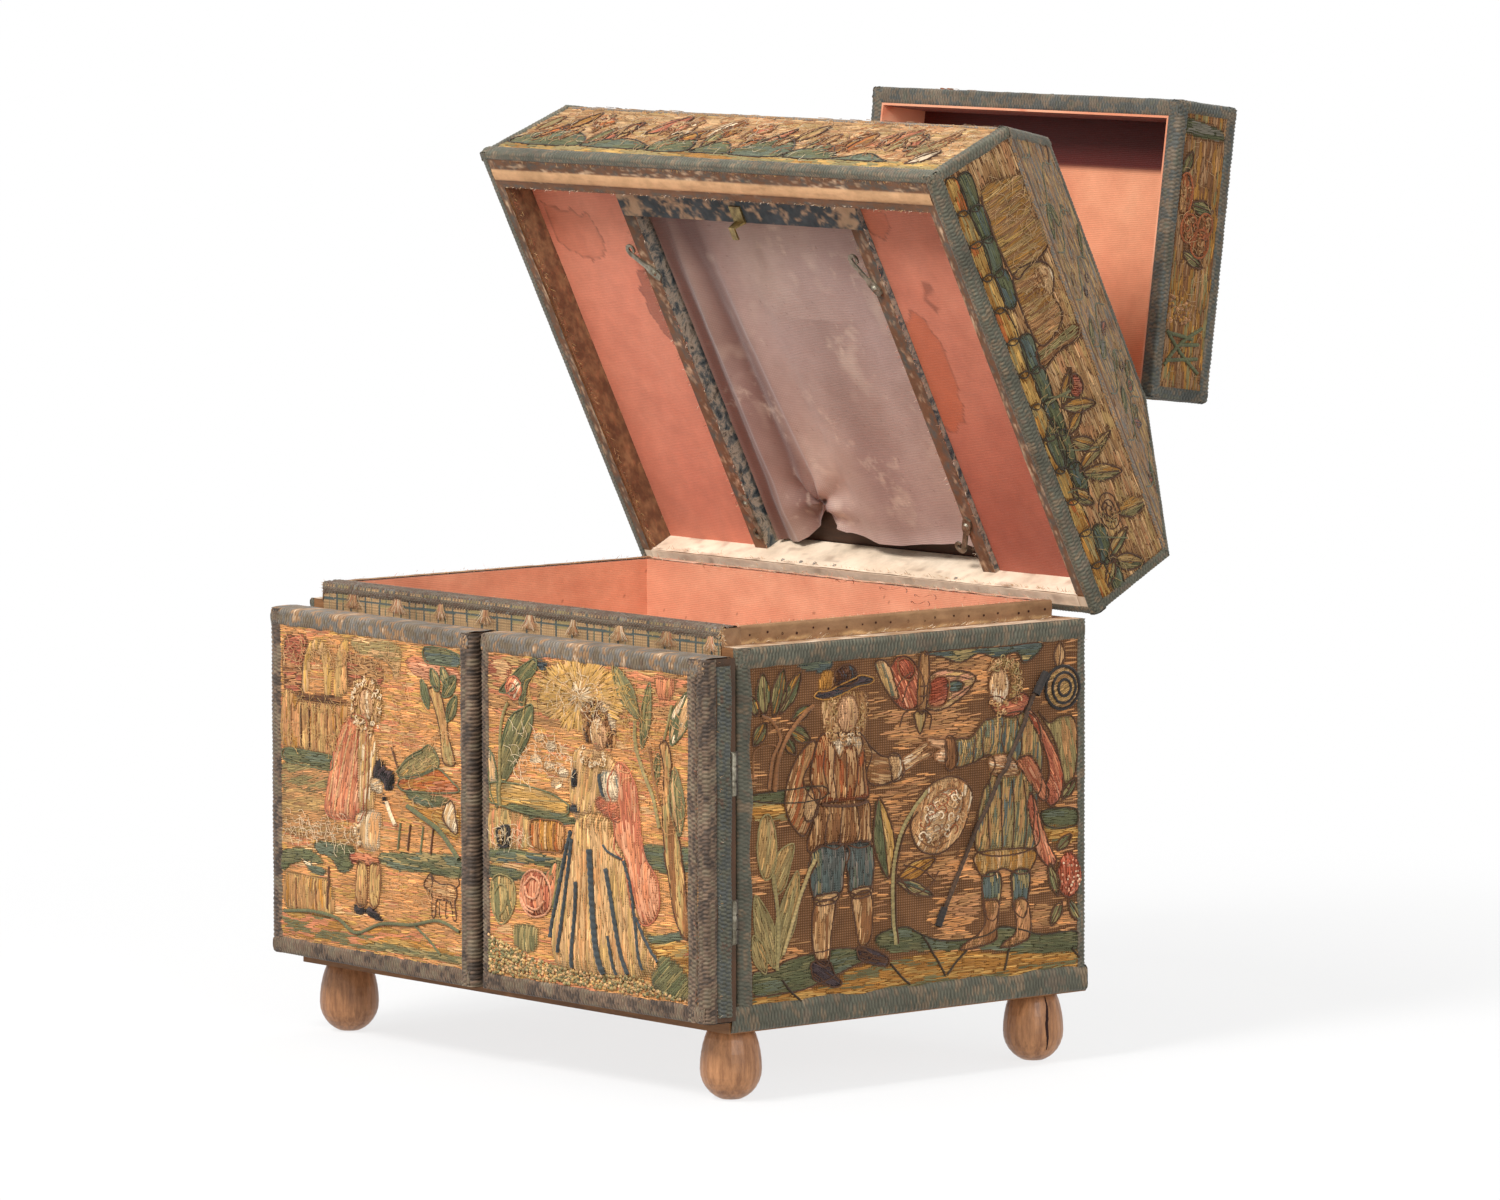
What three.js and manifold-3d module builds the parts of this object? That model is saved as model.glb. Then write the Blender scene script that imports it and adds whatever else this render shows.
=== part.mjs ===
import * as THREE from 'three';
import { mergeVertices } from 'three/addons/utils/BufferGeometryUtils.js';
import Module from 'manifold-3d';

// An embroidered sewing casket: a wooden carcass on four turned feet, two front doors over five drawers,
// a tall canted lid hinged at the back, and a small top lid over a deep tray.
// Millimetres, +X across the front, +Y into the depth, +Z up. The doors, the lid and the top lid stand as
// they were left, a little open; every pivot's rest angle is named here.

// Fits shared by all pieces
const seatGap = 0.3; // between cut or curved faces that seat on each other
const overrun = 2; // how far a cutting block passes its work
const mitreShare = 0.7; // of the seat gap, taken off each board's ends
const coverThickness = 0.9; // embroidered cloth with its paper backing
const arcSteps = 28; // facets round a turned piece

// Feet
const footHeight = 28.5;
const footRadius = 12.5;
const footTopRadius = 9;
const footBottomRadius = 4.3;
const footWaistHeight = 12; // where the egg is widest
const footInsetSide = 14; // centre of a foot in from the carcass faces
const footInsetFront = 8;
const footInsetBack = 15;
const footSteps = 7; // rings in each half of the egg

// Carcass
const carcassWidth = 280;
const carcassDepth = 185;
const carcassHeight = 154; // underside of the base to the ledge the lid closes on
const baseThickness = 4.5;
const baseProud = 0.8; // how far the base shows beyond the covered sides
const baseReach = 5; // and under the doors
const boardThickness = 9.4; // side, back and front boards with their cover
const liningThickness = 4;
const lipRise = 7; // the lining and the front rail stand this far over the ledge
const compartmentDepth = 52;

// Drawers behind the doors
const drawerRows = 3;
const drawerSetback = 12; // drawer fronts stand behind the carcass front, clear of the lock
const partitionThickness = 4;
const drawerClearance = 0.6;
const drawerBackSpace = 6;
const drawerFrontThickness = 6;
const drawerWallThickness = 3.5;
const drawerBottomThickness = 3;
const knobRadius = 3.6;
const knobNeckRadius = 1.5;
const knobLength = 7;
const knobRoot = 1; // how deep the knob is let into the drawer front

// Doors
const doorGap = 3; // between a door's back and the carcass front
const doorThickness = 15.2; // with its cover
const doorMeetingGap = 5;
const doorOverhang = 2.5; // beyond the carcass side
const doorTopDrop = 3; // under the ledge
const doorBottomRise = 1; // over the base board
const doorCornerRadius = 5;
const leftDoorAjar = 1.9; // degrees
const rightDoorAjar = 0.9; // degrees

// Lock on the right door
const keyholeFromEdge = 12.5;
const keyholeHeight = 64; // over the door's lower edge
const keyholeWidth = 2.2;
const keyholeLength = 5;
const lockCaseWidth = 26;
const lockCaseHeight = 22;
const lockCaseThickness = 4.6;
const lockPlateThickness = 1;
const boltHeight = 7;
const boltThickness = 2;
const boltLength = 20;
const boltShow = 1; // how far the drawn bolt stands out of its case
const keeperWall = 1.2;
const keeperWidth = 6;
const keeperReach = 7; // how far the staple stands off the left door, to take the bolt with the doors ajar

// Door hinges
const doorHingeLength = 18;
const doorPinInset = 2; // pin in from the door's outer edge
const doorHingeLeaf = 9;
const doorHingeLeafThickness = 0.7;
const doorHingePinRadius = 0.5;
const doorHingeLower = 40.5; // centres over the base board's top
const doorHingeUpper = 100;
const hingeRunningGap = 0.25;
const knuckleGap = 0.4;
const hingeSteps = 8;

// Lid: two tiers of mitred boards round a deep tray
const lidWidth = 292;
const lidDepth = 202.5;
const lidWallHeight = 47.5;
const lidCantHeight = 53.5;
const lidWallThickness = 7.5;
const lidFrontThickness = 16; // the front wall covers the tops of the doors
const lidCantThickness = 7;
const lidWallLean = 2.9; // the front and side walls lean in by this much
const lidCantRunSide = 46.4;
const lidCantRunFront = 35.2;
const lidCantRunBack = 42.4;
const lidRimGap = 0.6; // between the closed lid and the ledge
const lidRestAngle = 63.6; // degrees open
const trayDepth = 58;
const trayWallThickness = 4.5;

// Lid hinges and top lid hinges
const lidHingeLength = 34;
const lidHingeLeaf = 18;
const lidHingeLeafThickness = 0.9;
const lidHingeKnuckleRadius = 2;
const lidHingePinRadius = 0.9;
const lidHingeSpacing = 160;
const topHingeLength = 64;
const topHingeLeaf = 13;
const topHingeLeafThickness = 0.8;
const topHingeKnuckleRadius = 1.7;
const topHingePinRadius = 0.7;

// Top lid
const topLidOverhang = 1.3; // sides and front beyond the top frame
const topLidHeight = 32;
const topLidWallThickness = 7;
const topLidBoardThickness = 6;
const topLidGap = 0.8; // between the closed top lid and the top frame
const topLidRestAngle = 34.2; // degrees open

// Underside of the lid: silk panels, a framed recess for a looking glass, its loose lining and turn hooks
const recessHalfWidth = 70;
const recessRailWidth = 8;
const recessFrontWidth = 16;
const recessFaceHeight = 10; // the frame's face over the rim
const recessDepth = 10;
const recessBackThickness = 3;
const panelRise = 2.5; // the silk panels lie this far behind the frame's face
const panelThickness = 4;
const hookThickness = 0.8;
const hookReach = 16.5; // nail to the far side of the scroll
const hookTail = 4; // nail to the plate end
const hookPlateWidth = 4.6;
const hookTailWidth = 3.2;
const hookPlateEnd = 2.4; // nail to where the plate starts to narrow
const hookNeckWidth = 2.4;
const hookTipWidth = 1.2;
const hookScrollRadius = 2.5;
const hookScrollTightening = 0.42; // share of its radius that the scroll loses
const hookScrollTurn = 1.55 * Math.PI;
const hookNailHeadRadius = 1.6;
const hookNailHeadHeight = 0.9;
const hookNailFromEdge = 1.6; // nail centre from the recess edge
const hookFrontFromFrame = 27; // front nails behind the recess's front edge
const hookBackFromWall = 22.5; // back nails in front of the back wall
const hookAngles = { front_left: -142, front_right: -126, back_left: 80, back_right: 123 }; // degrees at rest
const catchWidth = 7;
const catchPlateLength = 8;
const catchDrop = 5.5;
const catchFootLength = 5;
const catchMetal = 0.8;
const sheetThickness = 0.7;
const sheetSideGap = 2.2;
const sheetFoldDepth = 1.9;
const sheetSag = 2.6;
const sheetHemRise = 14; // the hem's highest point over its lowest
const sheetEndGap = 5; // hem to the back wall

// Sizes worked out from the driving dimensions
const half = carcassWidth / 2;
const baseTop = footHeight + baseThickness;
const ledge = footHeight + carcassHeight;
const lipTop = ledge + lipRise;
const innerHalf = half - boardThickness;
const innerBack = carcassDepth - boardThickness;
const compartmentFloor = lipTop - compartmentDepth;
const railBottom = compartmentFloor - liningThickness;
const radians = THREE.MathUtils.degToRad;

const wasm = await Module();
wasm.setup();

const material = (color, roughness, metalness = 0) =>
  new THREE.MeshStandardMaterial({ color, roughness, metalness });

const finishes = {
  foot: () => material(0xa86a3e, 0.42),
  wood: () => material(0x8a5b38, 0.6),
  paleWood: () => material(0xd9ad84, 0.65),
  embroidery: () => material(0x9a7a5c, 0.9),
  check: () => material(0xb5a878, 0.9),
  silk: () => material(0xd9776a, 0.6),
  lavender: () => material(0xa08a8c, 0.7),
  marbledPaper: () => material(0x8b8a86, 0.85),
  paper: () => material(0xd8c5a6, 0.9),
  brass: () => material(0xa98a4a, 0.4, 1),
  iron: () => material(0x8d8a84, 0.5, 1),
};

function part(name, geometry, finish) {
  const mesh = new THREE.Mesh(geometry, finishes[finish]());
  mesh.name = name;
  return mesh;
}

// Booleans
function solidOf(geometry) {
  const bare = geometry.clone();
  bare.deleteAttribute('normal');
  bare.deleteAttribute('uv');
  const merged = mergeVertices(bare);
  return new wasm.Manifold(new wasm.Mesh({
    numProp: 3,
    vertProperties: new Float32Array(merged.attributes.position.array),
    triVerts: new Uint32Array(merged.index.array),
  }));
}

function geometryOf(solid) {
  const { vertProperties, triVerts } = solid.getMesh();
  const geometry = new THREE.BufferGeometry();
  geometry.setAttribute('position', new THREE.Float32BufferAttribute(vertProperties, 3));
  geometry.setIndex(Array.from(triVerts));
  geometry.computeVertexNormals();
  return geometry;
}

const cut = (work, ...tools) =>
  geometryOf(tools.reduce((solid, tool) => solid.subtract(solidOf(tool)), solidOf(work)));
const join = (first, ...others) =>
  geometryOf(others.reduce((solid, other) => solid.add(solidOf(other)), solidOf(first)));

// A square block between two corners
function block([x0, y0, z0], [x1, y1, z1]) {
  return new THREE.BoxGeometry(x1 - x0, y1 - y0, z1 - z0)
    .translate((x0 + x1) / 2, (y0 + y1) / 2, (z0 + z1) / 2);
}

// A six-sided solid between a lower and an upper four-cornered face, both given anticlockwise from above
function hexahedron(lower, upper) {
  const corners = [...lower, ...upper];
  const faces = [
    [3, 2, 1, 0], [4, 5, 6, 7], [0, 1, 5, 4], [1, 2, 6, 5], [2, 3, 7, 6], [3, 0, 4, 7],
  ];
  const index = faces.flatMap(([a, b, c, d]) => [a, b, c, a, c, d]);
  const geometry = new THREE.BufferGeometry();
  geometry.setAttribute('position', new THREE.Float32BufferAttribute(corners.flat(), 3));
  geometry.setIndex(index);
  geometry.computeVertexNormals();
  return geometry;
}

// A plan rectangle: half width, front and back
const plan = (x, front, back) => ({ x, front, back });
const inset = (rect, side, front = side, back = side) =>
  plan(rect.x - side, rect.front + front, rect.back - back);

// The slab between two plan rectangles at two heights
function frustum(lower, upper, z0, z1) {
  const ring = ({ x, front, back }, z) => [[-x, front, z], [x, front, z], [x, back, z], [-x, back, z]];
  return hexahedron(ring(lower, z0), ring(upper, z1));
}

// Four boards mitred at the corners of a tier, between its outer and inner plans
function mitredBoards(outerLow, outerHigh, innerLow, innerHigh, z0, z1) {
  const slip = seatGap * mitreShare;
  const across = (outer, inner, z, edge) => [
    [-outer.x + slip, outer[edge], z], [outer.x - slip, outer[edge], z],
    [inner.x - slip, inner[edge], z], [-inner.x + slip, inner[edge], z],
  ];
  const along = (outer, inner, z, sign) => [
    [sign * inner.x, inner.front + slip, z], [sign * outer.x, outer.front + slip, z],
    [sign * outer.x, outer.back - slip, z], [sign * inner.x, inner.back - slip, z],
  ];
  return {
    front: hexahedron(across(outerLow, innerLow, z0, 'front'), across(outerHigh, innerHigh, z1, 'front')),
    back: hexahedron(across(outerLow, innerLow, z0, 'back').reverse(),
      across(outerHigh, innerHigh, z1, 'back').reverse()),
    left: hexahedron(along(outerLow, innerLow, z0, -1).reverse(), along(outerHigh, innerHigh, z1, -1).reverse()),
    right: hexahedron(along(outerLow, innerLow, z0, 1), along(outerHigh, innerHigh, z1, 1)),
  };
}

// A board's thickness measured level, when the board leans in by run over rise
const levelThickness = (thickness, run, rise) => thickness * Math.hypot(run, rise) / rise;

// A turned piece from radii and heights, from the lower axis point to the upper one
function turned(profile, steps = arcSteps) {
  const points = profile.map(([radius, height]) => new THREE.Vector2(radius, height));
  return new THREE.LatheGeometry(points, steps).rotateX(Math.PI / 2);
}

// One leaf of a butt hinge. The pin runs along local Z through the origin; the leaf lies on the plane
// y = -knuckleRadius and reaches out along +X. Knuckles lists the spans along Z that this leaf holds.
function hingeLeaf({ length, leaf, leafThickness, knuckleRadius, pinRadius }, knuckles, bored) {
  const plateStart = knuckleRadius + knuckleGap;
  const plate = block([plateStart, -knuckleRadius, -length / 2],
    [leaf, -knuckleRadius + leafThickness, length / 2]);
  const meet = Math.sqrt(knuckleRadius ** 2 - (knuckleRadius - leafThickness) ** 2);
  const section = new THREE.Shape();
  section.moveTo(0, -knuckleRadius);
  section.lineTo(plateStart + knuckleGap, -knuckleRadius);
  section.lineTo(plateStart + knuckleGap, -knuckleRadius + leafThickness);
  section.lineTo(meet, -knuckleRadius + leafThickness);
  section.absarc(0, 0, knuckleRadius, Math.atan2(leafThickness - knuckleRadius, meet), 1.5 * Math.PI);
  if (bored) {
    section.holes.push(new THREE.Path().absarc(0, 0, pinRadius + hingeRunningGap, 0, 2 * Math.PI, true));
  }
  const barrels = knuckles.map(([z0, z1]) =>
    new THREE.ExtrudeGeometry(section, { depth: z1 - z0, bevelEnabled: false, curveSegments: hingeSteps })
      .translate(0, 0, z0));
  return join(plate, ...barrels);
}

// A three-knuckle butt hinge: the fixed leaf holds the pin in its outer two knuckles, and the moving leaf
// turns on it
function buttHinge(size) {
  const { length, pinRadius } = size;
  const third = length / 6;
  const clear = knuckleGap / 2;
  const pin = new THREE.CylinderGeometry(pinRadius, pinRadius, length, 2 * hingeSteps).rotateX(Math.PI / 2);
  return {
    fixed: join(hingeLeaf(size, [[-length / 2, -third - clear], [third + clear, length / 2]], false), pin),
    moving: hingeLeaf(size, [[-third + clear, third - clear]], true),
  };
}

// Children drawn closed, then swung about a pin through the given point
function swung([x, y, z], angle, axis, ...children) {
  const pivot = new THREE.Group();
  pivot.position.set(x, y, z);
  pivot.rotation[axis] = angle;
  const body = new THREE.Group();
  body.position.set(-x, -y, -z);
  body.add(...children);
  pivot.add(body);
  return pivot;
}

// The same solid on the other side of the middle
function mirrored(geometry) {
  const copy = geometry.clone().scale(-1, 1, 1);
  const index = Array.from(copy.index.array);
  for (let i = 0; i < index.length; i += 3) [index[i], index[i + 1]] = [index[i + 1], index[i]];
  copy.setIndex(index);
  copy.computeVertexNormals();
  return copy;
}

// Feet: turned eggs, flat above and below
function foot() {
  const radiusAt = (height) => {
    const upper = height > footWaistHeight;
    const reach = upper ? footHeight - footWaistHeight : footWaistHeight;
    const end = upper ? footTopRadius : footBottomRadius;
    const stretch = reach / Math.sqrt(1 - (end / footRadius) ** 2);
    return footRadius * Math.sqrt(1 - ((height - footWaistHeight) / stretch) ** 2);
  };
  const profile = [[0, 0]];
  for (let step = 0; step <= 2 * footSteps; step += 1) {
    const lowerHalf = step <= footSteps;
    const angle = (Math.PI / 2) * (lowerHalf ? 1 - step / footSteps : step / footSteps - 1);
    const reach = lowerHalf ? -footWaistHeight : footHeight - footWaistHeight;
    const height = footWaistHeight + reach * Math.sin(angle);
    profile.push([radiusAt(height), height]);
  }
  profile.push([0, footHeight]);
  return turned(profile);
}

function feet() {
  const x = half - footInsetSide;
  const front = footInsetFront;
  const back = carcassDepth - footInsetBack;
  const places = {
    foot_front_left: [-x, front], foot_front_right: [x, front],
    foot_back_left: [-x, back], foot_back_right: [x, back],
  };
  return Object.entries(places).map(([name, [px, py]]) => part(name, foot().translate(px, py, 0), 'foot'));
}

// Carcass boards, and the embroidered cover that wraps the sides and the back
function carcass() {
  const boardHalf = half - coverThickness;
  const boardBack = carcassDepth - coverThickness;
  const sideBoard = block([innerHalf, 0, baseTop], [boardHalf, innerBack, ledge]);
  const cover = cut(block([-half, 0, baseTop], [half, carcassDepth, ledge]),
    block([-boardHalf, -overrun, baseTop - overrun], [boardHalf, boardBack, ledge + overrun]));
  return [
    part('base_board', block([-half - baseProud, -baseReach, footHeight],
      [half + baseProud, carcassDepth + baseProud, baseTop]), 'wood'),
    part('side_board_left', mirrored(sideBoard), 'wood'),
    part('side_board_right', sideBoard, 'wood'),
    part('back_board', block([-boardHalf, innerBack, baseTop], [boardHalf, boardBack, ledge]), 'wood'),
    part('front_rail', block([-innerHalf, 0, railBottom], [innerHalf, boardThickness, lipTop]), 'check'),
    part('carcass_cover', cover, 'embroidery'),
  ];
}

// The pink silk compartment under the lid: a box of lined card whose walls rise over the ledge
function compartment() {
  const outer = plan(innerHalf, boardThickness, innerBack);
  const inner = inset(outer, liningThickness);
  return part('compartment_tray', cut(frustum(outer, outer, railBottom, lipTop),
    frustum(inner, inner, compartmentFloor, lipTop + overrun)), 'silk');
}

// Shelves, a divider and five drawers: one long drawer at the bottom, two pairs above it
const drawerZone = railBottom - baseTop;
const rowHeight = (drawerZone - (drawerRows - 1) * partitionThickness) / drawerRows;
const rowBottom = (row) => baseTop + row * (rowHeight + partitionThickness);

function partitions() {
  const shelves = [];
  for (let row = 1; row < drawerRows; row += 1) {
    const top = rowBottom(row);
    shelves.push(block([-innerHalf, drawerSetback, top - partitionThickness], [innerHalf, innerBack, top]));
  }
  const divider = block([-partitionThickness / 2, drawerSetback, rowBottom(1) - partitionThickness / 2],
    [partitionThickness / 2, innerBack, railBottom]);
  return part('drawer_partitions', join(divider, ...shelves), 'wood');
}

// An open box with a turned knob at the middle of its front
function drawer(x0, x1, row) {
  const z0 = rowBottom(row);
  const z1 = z0 + rowHeight - drawerClearance;
  const left = x0 + drawerClearance;
  const right = x1 - drawerClearance;
  const back = innerBack - drawerBackSpace;
  const box = cut(block([left, drawerSetback, z0], [right, back, z1]),
    block([left + drawerWallThickness, drawerSetback + drawerFrontThickness, z0 + drawerBottomThickness],
      [right - drawerWallThickness, back - drawerWallThickness, z1 + overrun]));
  return join(box, knob().translate((left + right) / 2, drawerSetback + knobRoot, (z0 + z1) / 2));
}

const knobShares = [ // radius and reach of a knob's profile, as shares of its radius and length
  [0.95, 0.45], [1, 0.68], [0.78, 0.88], [0.36, 0.98],
];

function knob() {
  const rings = knobShares.map(([r, l]) => [r * knobRadius, l * knobLength]);
  const profile = [[0, 0], [knobNeckRadius, 0], [knobNeckRadius, knobShares[0][1] * knobLength], ...rings,
    [0, knobLength]];
  return turned(profile, arcSteps / 2).rotateX(Math.PI / 2);
}

function drawers() {
  const middle = partitionThickness / 2;
  const pieces = [part('drawer_bottom', drawer(-innerHalf, innerHalf, 0), 'wood')];
  ['middle', 'upper'].forEach((level, order) => {
    pieces.push(part(`drawer_${level}_left`, drawer(-innerHalf, -middle, order + 1), 'wood'));
    pieces.push(part(`drawer_${level}_right`, drawer(middle, innerHalf, order + 1), 'wood'));
  });
  return pieces;
}

// Doors: rounded boards with an embroidered front, a lock on the right one and two butt hinges each
const doorOuter = half + doorOverhang;
const doorInner = doorMeetingGap / 2;
const doorBottom = baseTop + doorBottomRise;
const doorTop = ledge - doorTopDrop;
const doorBack = -doorGap;
const doorFront = -doorGap - doorThickness;
const doorHinge = {
  length: doorHingeLength,
  leaf: doorHingeLeaf,
  leafThickness: doorHingeLeafThickness,
  knuckleRadius: doorGap / 2 - seatGap,
  pinRadius: doorHingePinRadius,
};
const doorPinX = doorOuter - doorPinInset;
const doorPinY = -doorGap / 2;

// A door's rounded outline, drawn in X and Z and set between two depths
function doorSlab(x0, x1, front, back, holes = []) {
  const r = doorCornerRadius;
  const outline = new THREE.Shape();
  outline.moveTo(x0 + r, doorBottom);
  outline.lineTo(x1 - r, doorBottom);
  outline.absarc(x1 - r, doorBottom + r, r, -Math.PI / 2, 0);
  outline.lineTo(x1, doorTop - r);
  outline.absarc(x1 - r, doorTop - r, r, 0, Math.PI / 2);
  outline.lineTo(x0 + r, doorTop);
  outline.absarc(x0 + r, doorTop - r, r, Math.PI / 2, Math.PI);
  outline.lineTo(x0, doorBottom + r);
  outline.absarc(x0 + r, doorBottom + r, r, Math.PI, 1.5 * Math.PI);
  outline.holes.push(...holes);
  return new THREE.ExtrudeGeometry(outline, { depth: back - front, bevelEnabled: false, curveSegments: 5 })
    .rotateX(Math.PI / 2).translate(0, back, 0);
}

const keyholeX = doorInner + keyholeFromEdge;
const keyholeZ = doorBottom + keyholeHeight;

function keyhole() {
  const slot = new THREE.Path();
  slot.moveTo(keyholeX - keyholeWidth / 2, keyholeZ - keyholeLength / 2);
  slot.lineTo(keyholeX - keyholeWidth / 2, keyholeZ + keyholeLength / 2);
  slot.absarc(keyholeX, keyholeZ + keyholeLength / 2, keyholeWidth / 2, Math.PI, 0, true);
  slot.lineTo(keyholeX + keyholeWidth / 2, keyholeZ - keyholeLength / 2);
  return slot;
}

const lockCaseStart = doorInner + lockPlateThickness;
const lockBack = doorBack + seatGap;
const boltMiddle = lockBack + lockCaseThickness / 2;
const boltFront = boltMiddle - boltThickness / 2;
const boltRear = boltMiddle + boltThickness / 2;

function lockCase() {
  const shell = block([lockCaseStart, lockBack, keyholeZ - lockCaseHeight / 2],
    [lockCaseStart + lockCaseWidth, lockBack + lockCaseThickness, keyholeZ + lockCaseHeight / 2]);
  const slideway = block(
    [lockCaseStart - overrun, boltFront - seatGap, keyholeZ - boltHeight / 2 - seatGap],
    [lockCaseStart + lockCaseWidth - lockPlateThickness, boltRear + seatGap, keyholeZ + boltHeight / 2 + seatGap]);
  return cut(shell, slideway);
}

function lockBolt() {
  const start = lockCaseStart - boltShow;
  return block([start, boltFront, keyholeZ - boltHeight / 2],
    [start + boltLength, boltRear, keyholeZ + boltHeight / 2]);
}

// The staple on the left door that the bolt shoots into
function boltKeeper() {
  const right = -doorInner - keeperWall;
  const halfHeight = boltHeight / 2 + 2 * keeperWall;
  return cut(
    block([right - keeperWidth, doorBack + seatGap, keyholeZ - halfHeight - keeperWall],
      [right, doorBack + seatGap + keeperReach, keyholeZ + halfHeight + keeperWall]),
    block([right - keeperWidth - overrun, doorBack + seatGap + keeperWall / 2, keyholeZ - halfHeight],
      [right + overrun, doorBack + seatGap + keeperReach - keeperWall, keyholeZ + halfHeight]));
}

function doors() {
  const hinge = buttHinge(doorHinge);
  const coverBack = doorFront + coverThickness;
  const levels = { lower: baseTop + doorHingeLower, upper: baseTop + doorHingeUpper };
  const hung = (name, geometry, x) => Object.entries(levels).map(([level, z]) =>
    part(`${name}_${level}`, geometry.clone().translate(x, doorPinY, z), 'iron'));
  const left = swung([-doorPinX, doorPinY, 0], -radians(leftDoorAjar), 'z',
    part('left_door', doorSlab(-doorOuter, -doorInner, coverBack + seatGap, doorBack), 'wood'),
    part('left_door_cover', doorSlab(-doorOuter, -doorInner, doorFront, coverBack), 'embroidery'),
    ...hung('left_door_hinge_leaf', hinge.moving, -doorPinX),
    part('bolt_keeper', boltKeeper(), 'iron'));
  const right = swung([doorPinX, doorPinY, 0], radians(rightDoorAjar), 'z',
    part('right_door', doorSlab(doorInner, doorOuter, coverBack + seatGap, doorBack, [keyhole()]), 'wood'),
    part('right_door_cover', doorSlab(doorInner, doorOuter, doorFront, coverBack, [keyhole()]), 'embroidery'),
    ...hung('right_door_hinge_leaf', hinge.moving.clone().rotateY(Math.PI), doorPinX),
    part('lock_case', lockCase(), 'iron'),
    part('lock_bolt', lockBolt(), 'iron'));
  return [left, right,
    ...hung('left_door_hinge_fixed', hinge.fixed.clone().rotateX(Math.PI), -doorPinX),
    ...hung('right_door_hinge_fixed', hinge.fixed.clone().rotateZ(Math.PI), doorPinX)];
}

// Lid tiers, from the rim up: outer plans at the rim, at the shoulder and at the top
const lidRim = plan(lidWidth / 2, carcassDepth - lidDepth, carcassDepth);
const lidShoulder = inset(lidRim, lidWallLean, lidWallLean, 0);
const lidTop = inset(lidShoulder, lidCantRunSide, lidCantRunFront, lidCantRunBack);
const rimZ = ledge + lidRimGap;
const shoulderZ = rimZ + lidWallHeight;
const topZ = shoulderZ + lidCantHeight;
const lidInner = inset(lidRim, lidWallThickness, lidFrontThickness, lidWallThickness);
const skinned = coverThickness + seatGap;

// Plan of a surface that lies a given depth under the canted faces
const underCant = (rect, depth) => inset(rect,
  levelThickness(depth, lidCantRunSide, lidCantHeight),
  levelThickness(depth, lidCantRunFront, lidCantHeight),
  levelThickness(depth, lidCantRunBack, lidCantHeight));

// The lower tier: the front and back walls run right across, and the side walls fit between them
function lidWalls() {
  const low = inset(lidRim, skinned);
  const high = inset(lidShoulder, skinned);
  const top = shoulderZ - seatGap;
  const side = inset(lidInner, 0, seatGap);
  const flank = ({ x }, z) => [[side.x, side.front, z], [x, side.front, z], [x, side.back, z],
    [side.x, side.back, z]];
  const right = hexahedron(flank(low, rimZ), flank(high, top));
  return {
    front: frustum(plan(low.x, low.front, lidInner.front), plan(high.x, high.front, lidInner.front), rimZ, top),
    back: frustum(plan(low.x, lidInner.back, low.back), plan(high.x, lidInner.back, high.back), rimZ, top),
    left: mirrored(right),
    right,
  };
}

function lidBoards() {
  const walls = lidWalls();
  const cants = mitredBoards(underCant(lidShoulder, skinned), underCant(lidTop, skinned),
    underCant(lidShoulder, lidCantThickness), underCant(lidTop, lidCantThickness), shoulderZ, topZ);
  return [
    part('lid_front_wall', walls.front, 'paleWood'),
    part('lid_back_wall', walls.back, 'wood'),
    part('lid_left_wall', walls.left, 'wood'),
    part('lid_right_wall', walls.right, 'wood'),
    part('lid_front_cant', cants.front, 'wood'),
    part('lid_back_cant', cants.back, 'wood'),
    part('lid_left_cant', cants.left, 'wood'),
    part('lid_right_cant', cants.right, 'wood'),
  ];
}

// The embroidered skin over both tiers, open at the rim and round the tray
function lidCover() {
  const wallUnder = inset(lidRim, coverThickness);
  const shoulderUnder = inset(lidShoulder, coverThickness);
  const cantUnder = underCant(lidShoulder, coverThickness);
  const topUnder = underCant(lidTop, coverThickness);
  const outside = join(frustum(lidRim, lidShoulder, rimZ, shoulderZ),
    frustum(lidShoulder, lidTop, shoulderZ, topZ));
  return part('lid_cover', cut(outside,
    frustum(wallUnder, wallUnder, rimZ - overrun, rimZ),
    frustum(wallUnder, shoulderUnder, rimZ, shoulderZ),
    frustum(cantUnder, topUnder, shoulderZ, topZ),
    frustum(topUnder, topUnder, topZ, topZ + overrun)), 'embroidery');
}

// The deep tray under the top lid
function topTray() {
  const outer = inset(underCant(lidTop, lidCantThickness), seatGap);
  const inner = inset(outer, trayWallThickness);
  const floorZ = topZ - trayDepth;
  return part('top_tray', cut(frustum(outer, outer, floorZ - trayWallThickness, topZ),
    frustum(inner, inner, floorZ, topZ + overrun)), 'silk');
}

// The ceiling seen from below: silk panels at the sides, a paper-covered frame and the recess between them
const recessFaceZ = rimZ + recessFaceHeight;
const recessBackZ = recessFaceZ + recessDepth;
const ceiling = inset(lidInner, seatGap);
const recessFrontY = ceiling.front + recessFrontWidth;
const frameHalf = recessHalfWidth + recessRailWidth;

function lidCeiling() {
  const panelZ = recessFaceZ + panelRise;
  const panel = block([frameHalf + seatGap, ceiling.front, panelZ],
    [ceiling.x, ceiling.back, panelZ + panelThickness]);
  const frame = cut(
    block([-frameHalf, ceiling.front, recessFaceZ], [frameHalf, ceiling.back, recessBackZ]),
    block([-recessHalfWidth, recessFrontY, recessFaceZ - overrun],
      [recessHalfWidth, ceiling.back + overrun, recessBackZ + overrun]));
  return [
    part('ceiling_panel_left', mirrored(panel), 'silk'),
    part('ceiling_panel_right', panel, 'silk'),
    part('recess_frame', frame, 'marbledPaper'),
    part('recess_back', block([-frameHalf, ceiling.front, recessBackZ + seatGap],
      [frameHalf, ceiling.back, recessBackZ + seatGap + recessBackThickness]), 'paper'),
  ];
}

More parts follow.
